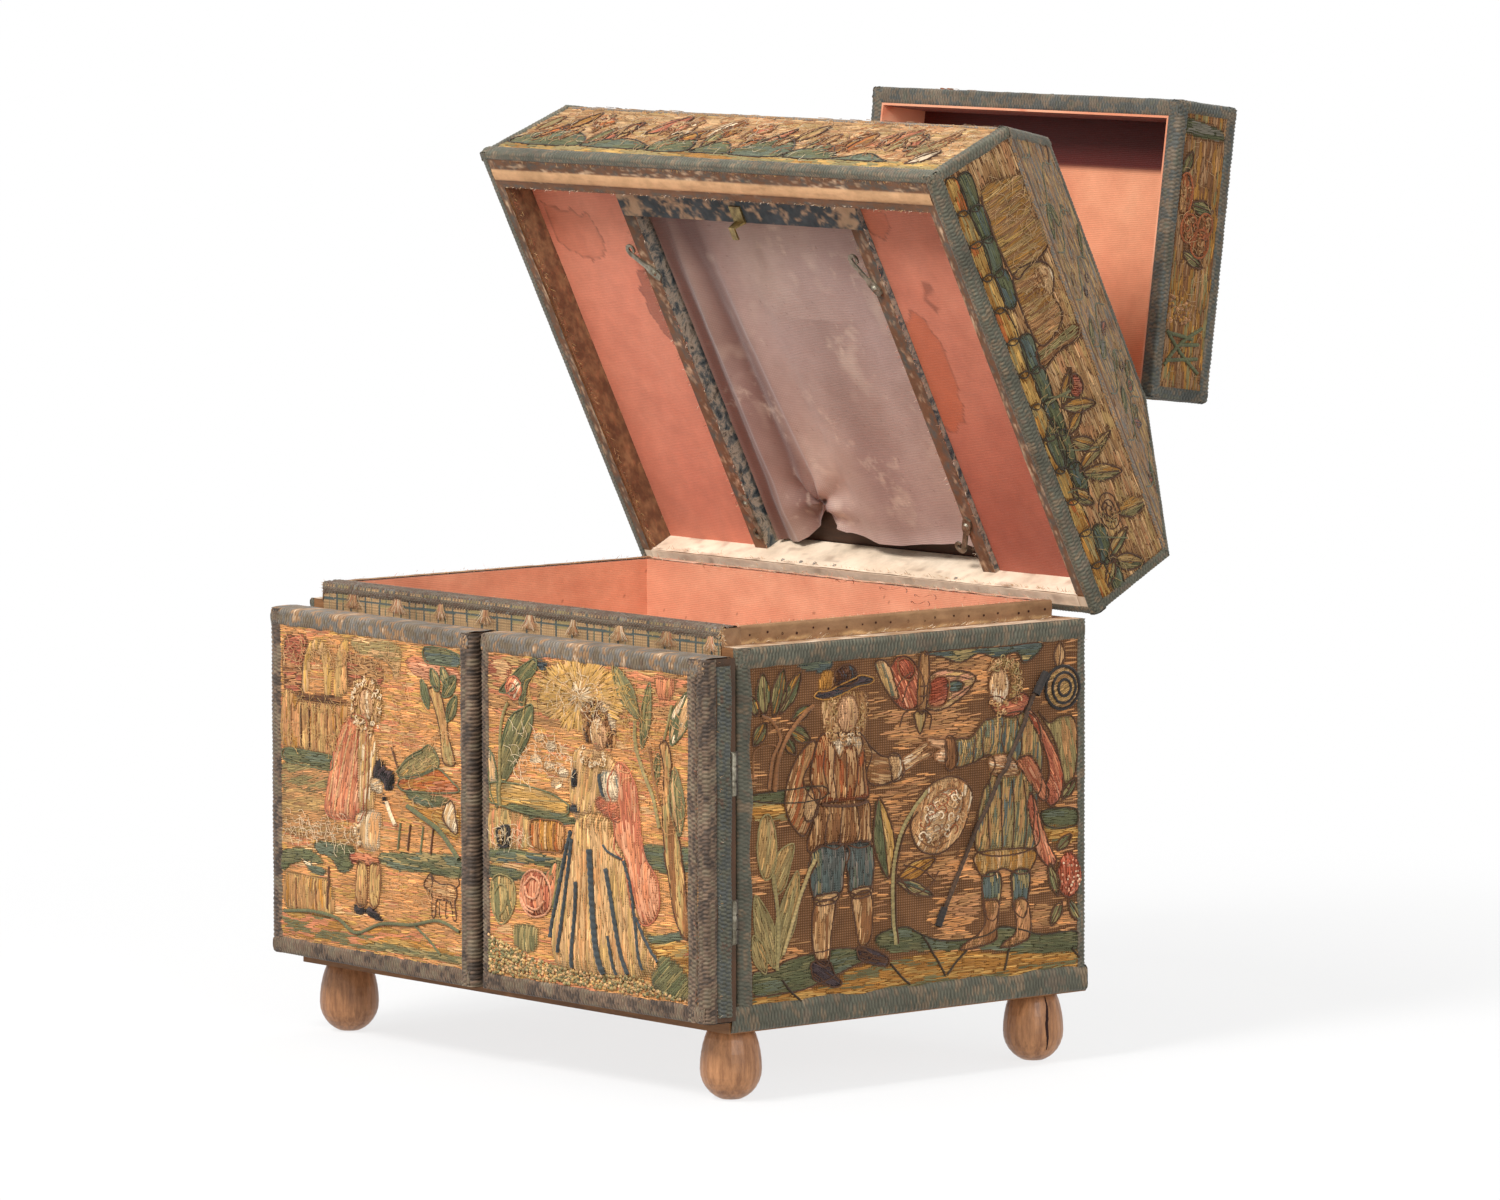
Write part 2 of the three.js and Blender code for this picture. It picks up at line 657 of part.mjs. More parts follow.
// The loose lining of the recess: folds run from the front edge down to a curved, pinned hem
function recessSheet() {
  const columns = 30;
  const rows = 18;
  const halfWidth = recessHalfWidth - sheetSideGap;
  const start = recessFrontY + seatGap; // tacked along the frame's front strip
  const level = (recessFaceZ + recessBackZ) / 2;
  const hemEnd = ceiling.back - sheetEndGap;
  const foldShares = { pin: -0.36, width: 0.16, fan: 0.55, creases: 5.5 }; // places across the half width
  const hem = (u) => hemEnd - sheetHemRise * Math.exp(-(((u - foldShares.pin) / foldShares.width) ** 2));
  const point = (column, row) => {
    const u = 2 * column / columns - 1;
    const v = row / rows;
    const x = halfWidth * u;
    const y = start + (hem(u) - start) * v;
    const left = 1 / (1 + Math.exp((u + foldShares.fan - v / 2) / foldShares.width));
    const creases = Math.cos(Math.PI * foldShares.creases * (u + 1)) * left;
    const pucker = Math.exp(-(((u - foldShares.pin) / foldShares.width) ** 2)) * v ** 2;
    const belly = Math.sin(Math.PI * Math.max(0, u - foldShares.pin) / (1 - foldShares.pin)) * v ** 2;
    const z = level + sheetFoldDepth * (creases + pucker) / 2 - sheetSag * belly;
    return [x, y, z];
  };
  const vertices = [];
  for (const lift of [0, sheetThickness]) {
    for (let row = 0; row <= rows; row += 1) {
      for (let column = 0; column <= columns; column += 1) {
        const [x, y, z] = point(column, row);
        vertices.push(x, y, z + lift);
      }
    }
  }
  const stride = columns + 1;
  const layer = stride * (rows + 1);
  const at = (column, row, upper) => row * stride + column + (upper ? layer : 0);
  const index = [];
  const quad = (a, b, c, d) => index.push(a, b, c, a, c, d);
  for (let row = 0; row < rows; row += 1) {
    for (let column = 0; column < columns; column += 1) {
      quad(at(column, row, true), at(column + 1, row, true), at(column + 1, row + 1, true),
        at(column, row + 1, true));
      quad(at(column, row + 1), at(column + 1, row + 1), at(column + 1, row), at(column, row));
    }
  }
  for (let column = 0; column < columns; column += 1) {
    quad(at(column, 0), at(column + 1, 0), at(column + 1, 0, true), at(column, 0, true));
    quad(at(column + 1, rows), at(column, rows), at(column, rows, true), at(column + 1, rows, true));
  }
  for (let row = 0; row < rows; row += 1) {
    quad(at(0, row + 1), at(0, row), at(0, row, true), at(0, row + 1, true));
    quad(at(columns, row), at(columns, row + 1), at(columns, row + 1, true), at(columns, row, true));
  }
  const geometry = new THREE.BufferGeometry();
  geometry.setAttribute('position', new THREE.Float32BufferAttribute(vertices, 3));
  geometry.setIndex(index);
  geometry.computeVertexNormals();
  return part('recess_lining_sheet', geometry, 'lavender');
}

// A turn hook cut from strip, with its nail head: a plate, a neck and a scroll, drawn round its nail along +X
const headShares = { crown: 0.6, shoulder: 0.85 }; // of the nail head's radius and height

function turnHook() {
  const steps = 18;
  const neckEnd = hookReach - hookScrollRadius;
  const left = [];
  const right = [];
  const add = (x, y, angle, width) => {
    left.push(new THREE.Vector2(x - Math.sin(angle) * width / 2, y + Math.cos(angle) * width / 2));
    right.push(new THREE.Vector2(x + Math.sin(angle) * width / 2, y - Math.cos(angle) * width / 2));
  };
  add(-hookTail, 0, 0, hookTailWidth);
  add(-hookTail / 2, 0, 0, hookPlateWidth);
  add(hookPlateEnd, 0, 0, hookPlateWidth);
  add(hookPlateEnd * 2, 0, 0, hookNeckWidth);
  for (let step = 0; step <= steps; step += 1) {
    const share = step / steps;
    const radius = hookScrollRadius * (1 - hookScrollTightening * share);
    const angle = -Math.PI / 2 + hookScrollTurn * share;
    const width = hookNeckWidth + (hookTipWidth - hookNeckWidth) * Math.min(1, 2 * share);
    add(neckEnd + radius * Math.cos(angle), hookScrollRadius + radius * Math.sin(angle),
      angle + Math.PI / 2, width);
  }
  const outline = new THREE.Shape([...right, ...left.reverse()]);
  const plate = new THREE.ExtrudeGeometry(outline, { depth: hookThickness, bevelEnabled: false });
  const head = turned([[0, -hookNailHeadHeight], [hookNailHeadRadius * headShares.crown,
    -hookNailHeadHeight * headShares.shoulder], [hookNailHeadRadius, 0], [hookNailHeadRadius, hookThickness / 2],
  [0, hookThickness / 2]], arcSteps / 2);
  return join(plate, head);
}

function hooks() {
  const x = recessHalfWidth + hookNailFromEdge;
  const front = recessFrontY + hookFrontFromFrame;
  const back = ceiling.back - hookBackFromWall;
  const places = {
    front_left: [-x, front], front_right: [x, front], back_left: [-x, back], back_right: [x, back],
  };
  const z = recessFaceZ - seatGap - hookThickness;
  return Object.entries(places).map(([name, [px, py]]) =>
    part(`turn_hook_${name}`, turnHook().rotateZ(radians(hookAngles[name])).translate(px, py, z), 'brass'));
}

// A bent brass catch at the middle of the recess frame's front strip
function recessCatch() {
  const front = recessFrontY - catchPlateLength;
  const z = recessFaceZ - seatGap;
  const plate = block([-catchWidth / 2, front, z - catchMetal], [catchWidth / 2, front + catchPlateLength, z]);
  const stem = hexahedron(
    [[-catchWidth / 4, front + catchPlateLength - catchMetal, z - catchDrop],
      [catchWidth / 4, front + catchPlateLength - catchMetal, z - catchDrop],
      [catchWidth / 4, front + catchPlateLength, z - catchDrop],
      [-catchWidth / 4, front + catchPlateLength, z - catchDrop]],
    [[-catchWidth / 2, front + catchPlateLength - catchMetal, z - catchMetal / 2],
      [catchWidth / 2, front + catchPlateLength - catchMetal, z - catchMetal / 2],
      [catchWidth / 2, front + catchPlateLength, z - catchMetal / 2],
      [-catchWidth / 2, front + catchPlateLength, z - catchMetal / 2]]);
  const toe = block([-catchWidth / 4, front + catchPlateLength - catchMetal, z - catchDrop - catchMetal / 2],
    [catchWidth / 4, front + catchPlateLength + catchFootLength, z - catchDrop + catchMetal / 2]);
  return part('recess_catch', join(plate, stem, toe), 'brass');
}

// Top lid: a shallow box turned over, and the embroidered skin round it
const topLidRim = plan(lidTop.x + topLidOverhang, lidTop.front - topLidOverhang, lidTop.back);
const topLidZ = topZ + topLidGap;
const topLidTopZ = topLidZ + topLidHeight;

function topLidBody() {
  const box = inset(topLidRim, skinned);
  const hollow = inset(topLidRim, topLidWallThickness);
  const under = inset(topLidRim, coverThickness);
  return [
    part('top_lid', cut(frustum(box, box, topLidZ, topLidTopZ - skinned),
      frustum(hollow, hollow, topLidZ - overrun, topLidTopZ - skinned - topLidBoardThickness)), 'wood'),
    part('top_lid_cover', cut(frustum(topLidRim, topLidRim, topLidZ, topLidTopZ),
      frustum(under, under, topLidZ - overrun, topLidTopZ - coverThickness)), 'embroidery'),
  ];
}

// Pins of the lid and the top lid. The top lid's fixed leaf lies on the canted back board.
const backSlope = Math.atan2(lidCantHeight, lidCantRunBack);
const lidPinReach = lidHingeKnuckleRadius + seatGap;
const topPinReach = topHingeKnuckleRadius + seatGap;
const lidPin = [0, carcassDepth + lidPinReach, ledge + lidRimGap / 2];
const topPin = [0, lidTop.back + topPinReach,
  topZ + topPinReach * (1 - Math.sin(backSlope)) / Math.cos(backSlope)];

function casketLid() {
  const hinge = buttHinge({
    length: lidHingeLength,
    leaf: lidHingeLeaf,
    leafThickness: lidHingeLeafThickness,
    knuckleRadius: lidHingeKnuckleRadius,
    pinRadius: lidHingePinRadius,
  });
  const topHinge = buttHinge({
    length: topHingeLength,
    leaf: topHingeLeaf,
    leafThickness: topHingeLeafThickness,
    knuckleRadius: topHingeKnuckleRadius,
    pinRadius: topHingePinRadius,
  });
  const hanging = (geometry) => geometry.clone().rotateY(Math.PI / 2);
  const standing = (geometry) => geometry.clone().rotateY(-Math.PI / 2);
  const pair = (name, geometry) => Object.entries({ left: -1, right: 1 }).map(([side, sign]) =>
    part(`${name}_${side}`, geometry.clone().translate(sign * lidHingeSpacing / 2, lidPin[1], lidPin[2]),
      'iron'));
  const topLid = swung(topPin, -radians(topLidRestAngle), 'x',
    ...topLidBody(),
    part('top_lid_hinge_leaf', standing(topHinge.moving).translate(...topPin), 'iron'));
  const lid = swung(lidPin, -radians(lidRestAngle), 'x',
    ...lidBoards(), lidCover(), topTray(), ...lidCeiling(), recessSheet(), ...hooks(), recessCatch(),
    ...pair('lid_hinge_leaf', standing(hinge.moving)),
    part('top_lid_hinge_fixed', hanging(topHinge.fixed).rotateX(Math.PI / 2 - backSlope).translate(...topPin),
      'iron'),
    topLid);
  return [lid, ...pair('lid_hinge_fixed', hanging(hinge.fixed))];
}

// The whole casket, set down with its origin under the middle of its bounding box
const casket = new THREE.Group();
casket.add(...feet(), ...carcass(), compartment(), partitions(), ...drawers(), ...doors(), ...casketLid());
const bounds = new THREE.Box3().setFromObject(casket, true);
const middle = bounds.getCenter(new THREE.Vector3());
casket.position.set(-middle.x, -middle.y, -bounds.min.z);

export default casket;
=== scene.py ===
import math

import bpy
import numpy as np
from mathutils import Matrix, Vector


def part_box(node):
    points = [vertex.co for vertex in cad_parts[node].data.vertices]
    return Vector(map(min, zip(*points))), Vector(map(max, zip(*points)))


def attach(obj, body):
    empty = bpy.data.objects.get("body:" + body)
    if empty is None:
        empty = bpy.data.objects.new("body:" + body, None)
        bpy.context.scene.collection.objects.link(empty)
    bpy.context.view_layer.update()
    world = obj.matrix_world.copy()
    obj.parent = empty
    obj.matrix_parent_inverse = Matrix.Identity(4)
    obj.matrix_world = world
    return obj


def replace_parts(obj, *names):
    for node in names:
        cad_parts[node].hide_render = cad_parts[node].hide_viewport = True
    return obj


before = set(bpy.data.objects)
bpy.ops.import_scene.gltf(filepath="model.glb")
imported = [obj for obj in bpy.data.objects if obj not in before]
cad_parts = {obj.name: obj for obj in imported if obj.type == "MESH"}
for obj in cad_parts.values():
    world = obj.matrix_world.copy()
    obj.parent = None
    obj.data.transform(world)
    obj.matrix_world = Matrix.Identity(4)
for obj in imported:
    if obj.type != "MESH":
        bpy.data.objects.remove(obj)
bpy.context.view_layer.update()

RNG = np.random.default_rng(1660)

# Sizes, in millimetres
# Working frame: x = 0 at the middle, y = 0 at the carcass front, z = 0 on the floor.
BASE_OVERHANG = 5.0
SHIFT_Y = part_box("base_board")[0][1] * 1000 + BASE_OVERHANG
HALF, DEPTH, BASE_TOP, LEDGE = 140.0, 185.0, 33.0, 182.5
RIM, SHOULDER, TOP = 183.1, 230.6, 284.1
LID_HALF, LID_FRONT, LEAN = 146.0, -17.5, 2.9
WALL_RISE, WALL_SLANT, CANT_RISE = 47.5, 47.6, 53.5
CANT_SIDE, CANT_FRONT, CANT_BACK = 46.4, 35.2, 42.4
SHOULDER_HALF, SHOULDER_FRONT = 143.1, -14.6
CARCASS_H, LID_W, LID_D, SHOULDER_W, SHOULDER_D = 149.5, 292, 202.5, 286.2, 199.6
TOP_HALF, TOP_FRONT, TOP_BACK = 96.7, 20.6, 142.6
SMALL_HALF, SMALL_FRONT, SMALL_Z, SMALL_H = 98.0, 19.3, 284.9, 32.0
DOOR_Z, DOOR_H, DOOR_FRONT, DOOR_BACK, DOOR_W = 34.0, 145.5, -18.2, -3.0, 140.0
DOOR_PIN_X, DOOR_PIN_Y = 140.5, -1.5
LID_PIN = np.array([0, 187.3, 182.8])
SLOPE = math.atan2(CANT_RISE, CANT_BACK)
SMALL_PIN = np.array([0, TOP_BACK + 2.0, TOP + 2.0 * (1 - math.sin(SLOPE)) / math.cos(SLOPE)])
LID_OPEN, SMALL_OPEN, LEFT_AJAR, RIGHT_AJAR = 63.6, 34.2, 1.9, 0.9


def swing_x(p, pin, degrees):
    """The points p turned about an x-wise pin."""
    t = math.radians(degrees)
    q = p - pin
    y, z = q[..., 1].copy(), q[..., 2].copy()
    q[..., 1], q[..., 2] = y * math.cos(t) + z * math.sin(t), -y * math.sin(t) + z * math.cos(t)
    return q + pin


def swing_z(p, x, y, degrees):
    """The points p turned about an upright pin at x, y."""
    t = math.radians(degrees)
    q = p - np.array([x, y, 0])
    a, b = q[..., 0].copy(), q[..., 1].copy()
    q[..., 0], q[..., 1] = a * math.cos(t) - b * math.sin(t), a * math.sin(t) + b * math.cos(t)
    return q + np.array([x, y, 0])


PLACE = {
    "casket": lambda p: p,
    "lid": lambda p: swing_x(p, LID_PIN, LID_OPEN),
    "top_lid": lambda p: swing_x(swing_x(p, SMALL_PIN, SMALL_OPEN), LID_PIN, LID_OPEN),
    "right_door": lambda p: swing_z(p, DOOR_PIN_X, DOOR_PIN_Y, RIGHT_AJAR),
    "left_door": lambda p: swing_z(p, -DOOR_PIN_X, DOOR_PIN_Y, -LEFT_AJAR),
}


def metres(p, body="casket"):
    """Points of the working frame, on a body in its rest pose, as places in the scene."""
    p = PLACE[body](np.asarray(p, float).copy())
    return (p + np.array([0, SHIFT_Y, 0])) / 1000.0


# Colours
def lin(code):
    """A hex colour as linear red, green and blue."""
    code = code.lstrip("#")
    return np.array([(int(code[i:i + 2], 16) / 255.0) ** 2.2 for i in (0, 2, 4)])


PAL = {
    "canvas": "#8e6a4a", "cream": "#d3ae80", "tan": "#b58b5e", "brown": "#8d6340", "dark": "#40321f",
    "green": "#676c4e", "moss": "#757453", "olive": "#968b60", "khaki": "#a89769", "ochre": "#b58442",
    "gold": "#cca560", "orange": "#bd6f3c", "blue": "#5e6b69", "navy": "#3e464b", "ink": "#2f2b29",
    "teal": "#6c7563", "grey": "#857f77", "braid": "#776c5d", "braid2": "#67675a", "braid3": "#847561",
    "red": "#a4573e", "salmon": "#cf8a66", "pink": "#d9a07f", "rose": "#b96f55", "white": "#e8d6b8",
    "skin": "#d3a982", "straw": "#c3a26c", "umber": "#593d29", "plum": "#4b3f42", "warm": "#c79468",
    "sand": "#cb9a69", "silver": "#8b877b", "leather": "#ad8864", "maroon": "#4f261d", "silk": "#d98468",
    "silkhi": "#eb9f80", "tide": "#c8653a", "shadow_red": "#54180f", "smudge": "#7c4430", "lav": "#b39892",
    "lavhi": "#c8b0a2", "lavlo": "#76564d", "paper": "#fdebd4", "drum": "#dcbd9d", "coffee": "#7b5a45",
    "slate": "#5c5f5b", "metalgreen": "#5d5c50", "door1": "#6a574a", "door2": "#54483f", "door3": "#7d6857",
    "cloth": "#c4965f", "amber": "#e2a66c", "bead": "#e2b488", "staff": "#4b3b2e", "marble": "#5f6a70",
    "rust": "#a5603a",
}
PAL = {k: lin(v) for k, v in PAL.items()}


def spot(x, y, z):
    """Points from numbers and arrays of x, y and z."""
    return np.stack(np.broadcast_arrays(x, y, z), -1)


def hashed(i, j, seed):
    """A number from 0 to 1 that seems random, the same for the same i and j."""
    h = np.sin(i * 127.1 + j * 311.7 + seed * 74.7) * 43758.5453
    return h - np.floor(h)


def noise(x, y, seed=0):
    """Smooth noise from 0 to 1, one bump for each unit of x and y."""
    i, j = np.floor(x), np.floor(y)
    a, b = x - i, y - j
    a, b = a * a * (3 - 2 * a), b * b * (3 - 2 * b)
    return (hashed(i, j, seed) * (1 - a) * (1 - b) + hashed(i + 1, j, seed) * a * (1 - b)
            + hashed(i, j + 1, seed) * (1 - a) * b + hashed(i + 1, j + 1, seed) * a * b)


def cloud(x, y, seed=0):
    """Noise of three sizes, from 0 to 1."""
    return (0.5 * noise(x, y, seed) + 0.3 * noise(x * 2.1, y * 2.1, seed + 1)
            + 0.2 * noise(x * 4.3, y * 4.3, seed + 2))


# Mesh building
class Geo:
    """Triangles with a colour at each vertex and a material index at each triangle."""

    def __init__(self):
        self.v, self.t, self.c, self.m, self.uv, self.n = [], [], [], [], [], 0

    def add(self, v, t, c, mat=0, uv=None):
        v = np.asarray(v, float).reshape(-1, 3)
        c = np.broadcast_to(np.asarray(c, float), (len(v), 3))
        self.v.append(v)
        self.t.append(np.asarray(t, int).reshape(-1, 3) + self.n)
        self.c.append(c)
        self.m.append(np.full(len(self.t[-1]), mat))
        self.uv.append(np.zeros((len(v), 2)) if uv is None else np.asarray(uv, float))
        self.n += len(v)

    def grid(self, v, c, mat=0, uv=None, flip=False):
        r, k = v.shape[:2]
        a = (np.arange(r - 1)[:, None] * k + np.arange(k - 1)).ravel()
        t = np.concatenate([np.stack([a, a + 1, a + k + 1], 1), np.stack([a, a + k + 1, a + k], 1)])
        if flip:
            t = t[:, ::-1]
        self.add(v.reshape(-1, 3), t, np.asarray(c).reshape(-1, 3), mat,
                 None if uv is None else uv.reshape(-1, 2))

    def object(self, name, mats, body, slot):
        """The piece as a smooth-shaded object that moves with the body."""
        v, t = np.concatenate(self.v), np.concatenate(self.t)
        mesh = bpy.data.meshes.new(name)
        mesh.vertices.add(len(v))
        mesh.vertices.foreach_set("co", v.astype(np.float32).ravel())
        mesh.loops.add(len(t) * 3)
        mesh.loops.foreach_set("vertex_index", t.astype(np.int32).ravel())
        mesh.polygons.add(len(t))
        mesh.polygons.foreach_set("loop_start", np.arange(0, len(t) * 3, 3, dtype=np.int32))
        mesh.polygons.foreach_set("material_index", np.concatenate(self.m).astype(np.int32))
        mesh.update(calc_edges=True)
        col = mesh.color_attributes.new("Col", "FLOAT_COLOR", "POINT")
        rgba = np.concatenate([np.concatenate(self.c), np.ones((len(v), 1))], 1)
        col.data.foreach_set("color", rgba.astype(np.float32).ravel())
        layer = mesh.uv_layers.new(name="UVMap")
        uv = np.concatenate(self.uv)[t.ravel()]
        layer.data.foreach_set("uv", uv.astype(np.float32).ravel())
        mesh.polygons.foreach_set("use_smooth", np.ones(len(t), bool))
        for m in mats:
            mesh.materials.append(m)
        obj = bpy.data.objects.new(name, mesh)
        bpy.context.scene.collection.objects.link(obj)
        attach(obj, body)
        return obj


def points(text):
    """The points of an outline written as x,y pairs."""
    return np.array([[float(a) for a in p.split(",")] for p in text.split()])


def outline(pts):
    """The points of an outline that is written out, or given as an array."""
    return points(pts) if isinstance(pts, str) else np.asarray(pts, float)


def tints(names):
    """The colours named in a text."""
    return np.array([PAL[name] for name in names.split()])


def smooth_line(pts, step=0.9, closed=False):
    """A curve through the points, about one point for each step."""
    pts = np.asarray(pts, float)
    n = len(pts)
    out = []
    for i in range(n if closed else n - 1):
        p1, p2 = pts[i], pts[(i + 1) % n]
        p0 = pts[(i - 1) % n] if closed or i else 2 * p1 - p2
        p3 = pts[(i + 2) % n] if closed or i + 2 < n else 2 * p2 - p1
        k = max(2, int(np.linalg.norm(p2 - p1) / step))
        t = np.linspace(0, 1, k, endpoint=False)[:, None]
        out.append(0.5 * (2 * p1 + (p2 - p0) * t + (2 * p0 - 5 * p1 + 4 * p2 - p3) * t ** 2
                          + (3 * p1 - p0 - 3 * p2 + p3) * t ** 3))
    if not closed:
        out.append(pts[-1:])
    return np.concatenate(out)


def inside(poly, x, y):
    """Which of the points x, y lie in the outline, and how far each one is from its line."""
    hit = np.zeros(x.shape, bool)
    near = np.full(x.shape, 1e9)
    a, b = poly, np.roll(poly, -1, 0)
    for (x0, y0), (x1, y1) in zip(a, b):
        cross = (y0 > y) != (y1 > y)
        if cross.any():
            xx = x0 + (y - y0) * (x1 - x0) / (y1 - y0 if y1 != y0 else 1e-9)
            hit ^= cross & (x < xx)
        dx, dy = x1 - x0, y1 - y0
        t = np.clip(((x - x0) * dx + (y - y0) * dy) / max(dx * dx + dy * dy, 1e-9), 0, 1)
        near = np.minimum(near, np.hypot(x - x0 - t * dx, y - y0 - t * dy))
    return hit, near


def ring(cx, cy, rx, ry=None, n=12):
    """The points of a circle or an ellipse."""
    a = np.arange(n) * 2 * math.pi / n
    return np.stack([cx + rx * np.cos(a), cy + (ry or rx) * np.sin(a)], 1)


class Panel:
    """One flat face of embroidery: a height field of cloth with stitches, cords and knots laid on it."""

    RES, CLOTH_STEP = 0.5, 1.1  # grid of the height field, grid of the cloth mesh
    SHOULDER = 2.0  # how far in a padded shape keeps rising
    STITCH_LENGTH, STITCH_WIDTH, STITCH_TURN = 7.4, 0.66, 0.045
    RAY = 2.4  # half a stitch of a shape worked outward from its centre

    def __init__(self, geo, body, origin, u, v, w, h, ground, left=None, right=None, angle=0.0,
                 cover=0.9, seed=1, base="canvas", under=(2.2, 2.2, 2.2, 2.2), tone=(1, 1, 1)):
        self.base, self.under, self.tone = base, under, np.array(tone)
        self.geo, self.body, self.w, self.h, self.seed = geo, body, w, h, seed
        self.o = np.array(origin, float)
        self.u = np.array(u, float) / np.linalg.norm(u)
        self.vv = np.array(v, float) / np.linalg.norm(v)
        self.nn = np.cross(self.u, self.vv)
        self.left = left or (lambda y: 0 * y)
        self.right = right or (lambda y: w + 0 * y)
        self.nx, self.ny = int(w / self.RES) + 1, int(h / self.RES) + 1
        self.gx, self.gy = np.meshgrid(np.arange(self.nx) * self.RES, np.arange(self.ny) * self.RES)
        self.idx = np.zeros((self.ny, self.nx), int)
        self.hgt = 0.12 * noise(self.gx / 9, self.gy / 7, seed)
        self.kinds = [dict(colors=ground, angle=angle, cover=cover, size=1.0, centre=None)]
        self.rng = np.random.default_rng(seed)
        self.cords, self.beads = [], []

    def at(self, x, y, z):
        """The place in the scene of a point on the panel, z above its face."""
        p = self.o + x[..., None] * self.u + y[..., None] * self.vv + z[..., None] * self.nn
        return metres(p, self.body)

    def look(self, grid, x, y):
        """The value of the grid at the place x, y."""
        i = np.clip((y / self.RES + 0.5).astype(int), 0, self.ny - 1)
        j = np.clip((x / self.RES + 0.5).astype(int), 0, self.nx - 1)
        return grid[i, j]

    def bounds_ok(self, x, y):
        """Whether x, y lies clear of the braid at the panel's edges."""
        a, b, c, d = self.under
        return (y > b) & (y < self.h - d) & (x > self.left(y) + a) & (x < self.right(y) - c)

    def shape(self, pts, colors, angle=0.0, lift=0.5, edge=None, cord_r=0.34, cover=1.0, size=1.0,
              centre=None, sharp=False):
        """A padded shape inside the outline pts, stitched at an angle, with a cord round its edge."""
        p = outline(pts)
        line = p if sharp else smooth_line(p, 1.4, True)
        lo, hi = line.min(0) - 1, line.max(0) + 1
        j0, i0 = np.maximum((lo / self.RES).astype(int), 0)
        j1, i1 = (hi / self.RES).astype(int) + 2
        sub = (slice(i0, i1), slice(j0, j1))
        hit, near = inside(line, self.gx[sub], self.gy[sub])
        rise = lift * (1 - np.exp(-near / self.SHOULDER))
        self.hgt[sub] = np.where(hit, np.maximum(self.hgt[sub] * 0.5 + rise, rise), self.hgt[sub])
        self.idx[sub] = np.where(hit, len(self.kinds), self.idx[sub])
        self.kinds.append(dict(colors=colors, angle=angle, cover=cover, size=size, centre=centre))
        if edge:
            self.cord(line, edge, cord_r, closed=True, step=0.9)

    def leaf(self, x0, y0, x1, y1, width, colors, edge="dark", lift=0.6, side=None):
        """A padded leaf from its stem to its tip, with a cord as its vein and a second colour if wanted."""
        a, b = np.array([x0, y0], float), np.array([x1, y1], float)
        d = (b - a) / np.linalg.norm(b - a)
        q = np.array([-d[1], d[0]])
        s = [(0, 0), (.2, .62), (.45, 1), (.75, .7), (1, 0), (.75, -.7), (.45, -1), (.2, -.62)]
        pts = np.array([a + (b - a) * t + q * width / 2 * k for t, k in s])
        ang = math.degrees(math.atan2(d[1], d[0]))
        self.shape(pts, colors, ang, lift, edge)
        if side:
            half = np.array([a + (b - a) * t + q * width / 2 * k for t, k in s[:5]])
            self.shape(half, side, ang, lift)
        self.cord([a, a + (b - a) * 0.92], edge or "umber", 0.24)

    def cord(self, pts, color, r=0.42, closed=False, step=0.8, twist=1.7, lift=0.0):
        """A twisted cord along a line, kept for lay_cords."""
        self.cords.append((outline(pts), color, r, closed, step, twist, lift))

    def knots(self, pts, colors, per=0.35, r=0.75, lift=0.3):
        """Knots over an outline, kept for lay_knots."""
        self.beads.append((outline(pts), colors, per, r, lift))

    def _colour(self, kind, x, y, along, across, seed):
        """A colour for each stitch, in streaks of the kind's colours, a few of them brighter as painted
        glints.
        """
        cols = tints(kind["colors"])
        n = noise(across / 2.1 + seed * 3.1, along / 17.0, seed) * 0.75
        n = n + noise(x / 6, y / 6, seed + 5) * 0.25
        pick = np.clip((n - 0.18) / 0.64, 0, 0.999) * len(cols)
        i = pick.astype(int)
        c = cols[i] * (0.74 + 0.5 * self.rng.random(len(i)))[:, None]
        # painted glints: about one stitch in eleven made brighter
        return c * np.where(self.rng.random(len(i)) < 0.09, 1.45, 1.0)[:, None]

    def field(self):
        """The cloth, raised where shapes are padded and turned down at its edge."""
        r, k = int(self.h / self.CLOTH_STEP) + 1, int(self.w / self.CLOTH_STEP) + 1
        t = np.linspace(0, 1, r)
        s = np.linspace(0, 1, k)
        y = np.repeat((t * self.h)[:, None], k, 1)
        x = self.left(y) + s[None, :] * (self.right(y) - self.left(y))
        z = self.look(self.hgt, x, y)
        edge = np.minimum(np.minimum(x - self.left(y), self.right(y) - x), np.minimum(y, self.h - y))
        z = np.where(edge < 0.2, -0.8, z)
        idx = self.look(self.idx, x, y)
        c = np.zeros((r, k, 3))
        for n, kind in enumerate(self.kinds):
            m = idx == n
            if m.any():
                base = tints(kind["colors"])[0] if n else PAL[self.base]
                # painted shade: the cloth under a padded shape darkened, so the gaps between its stitches
                # read as shadow
                c[m] = base * (0.72 if n else 0.95)
        c = c * (0.85 + 0.3 * noise(x / 3, y / 3, self.seed + 2))[..., None]
        self.geo.grid(self.at(x, y, z), c, 0, np.stack([x, y], -1) / 10)

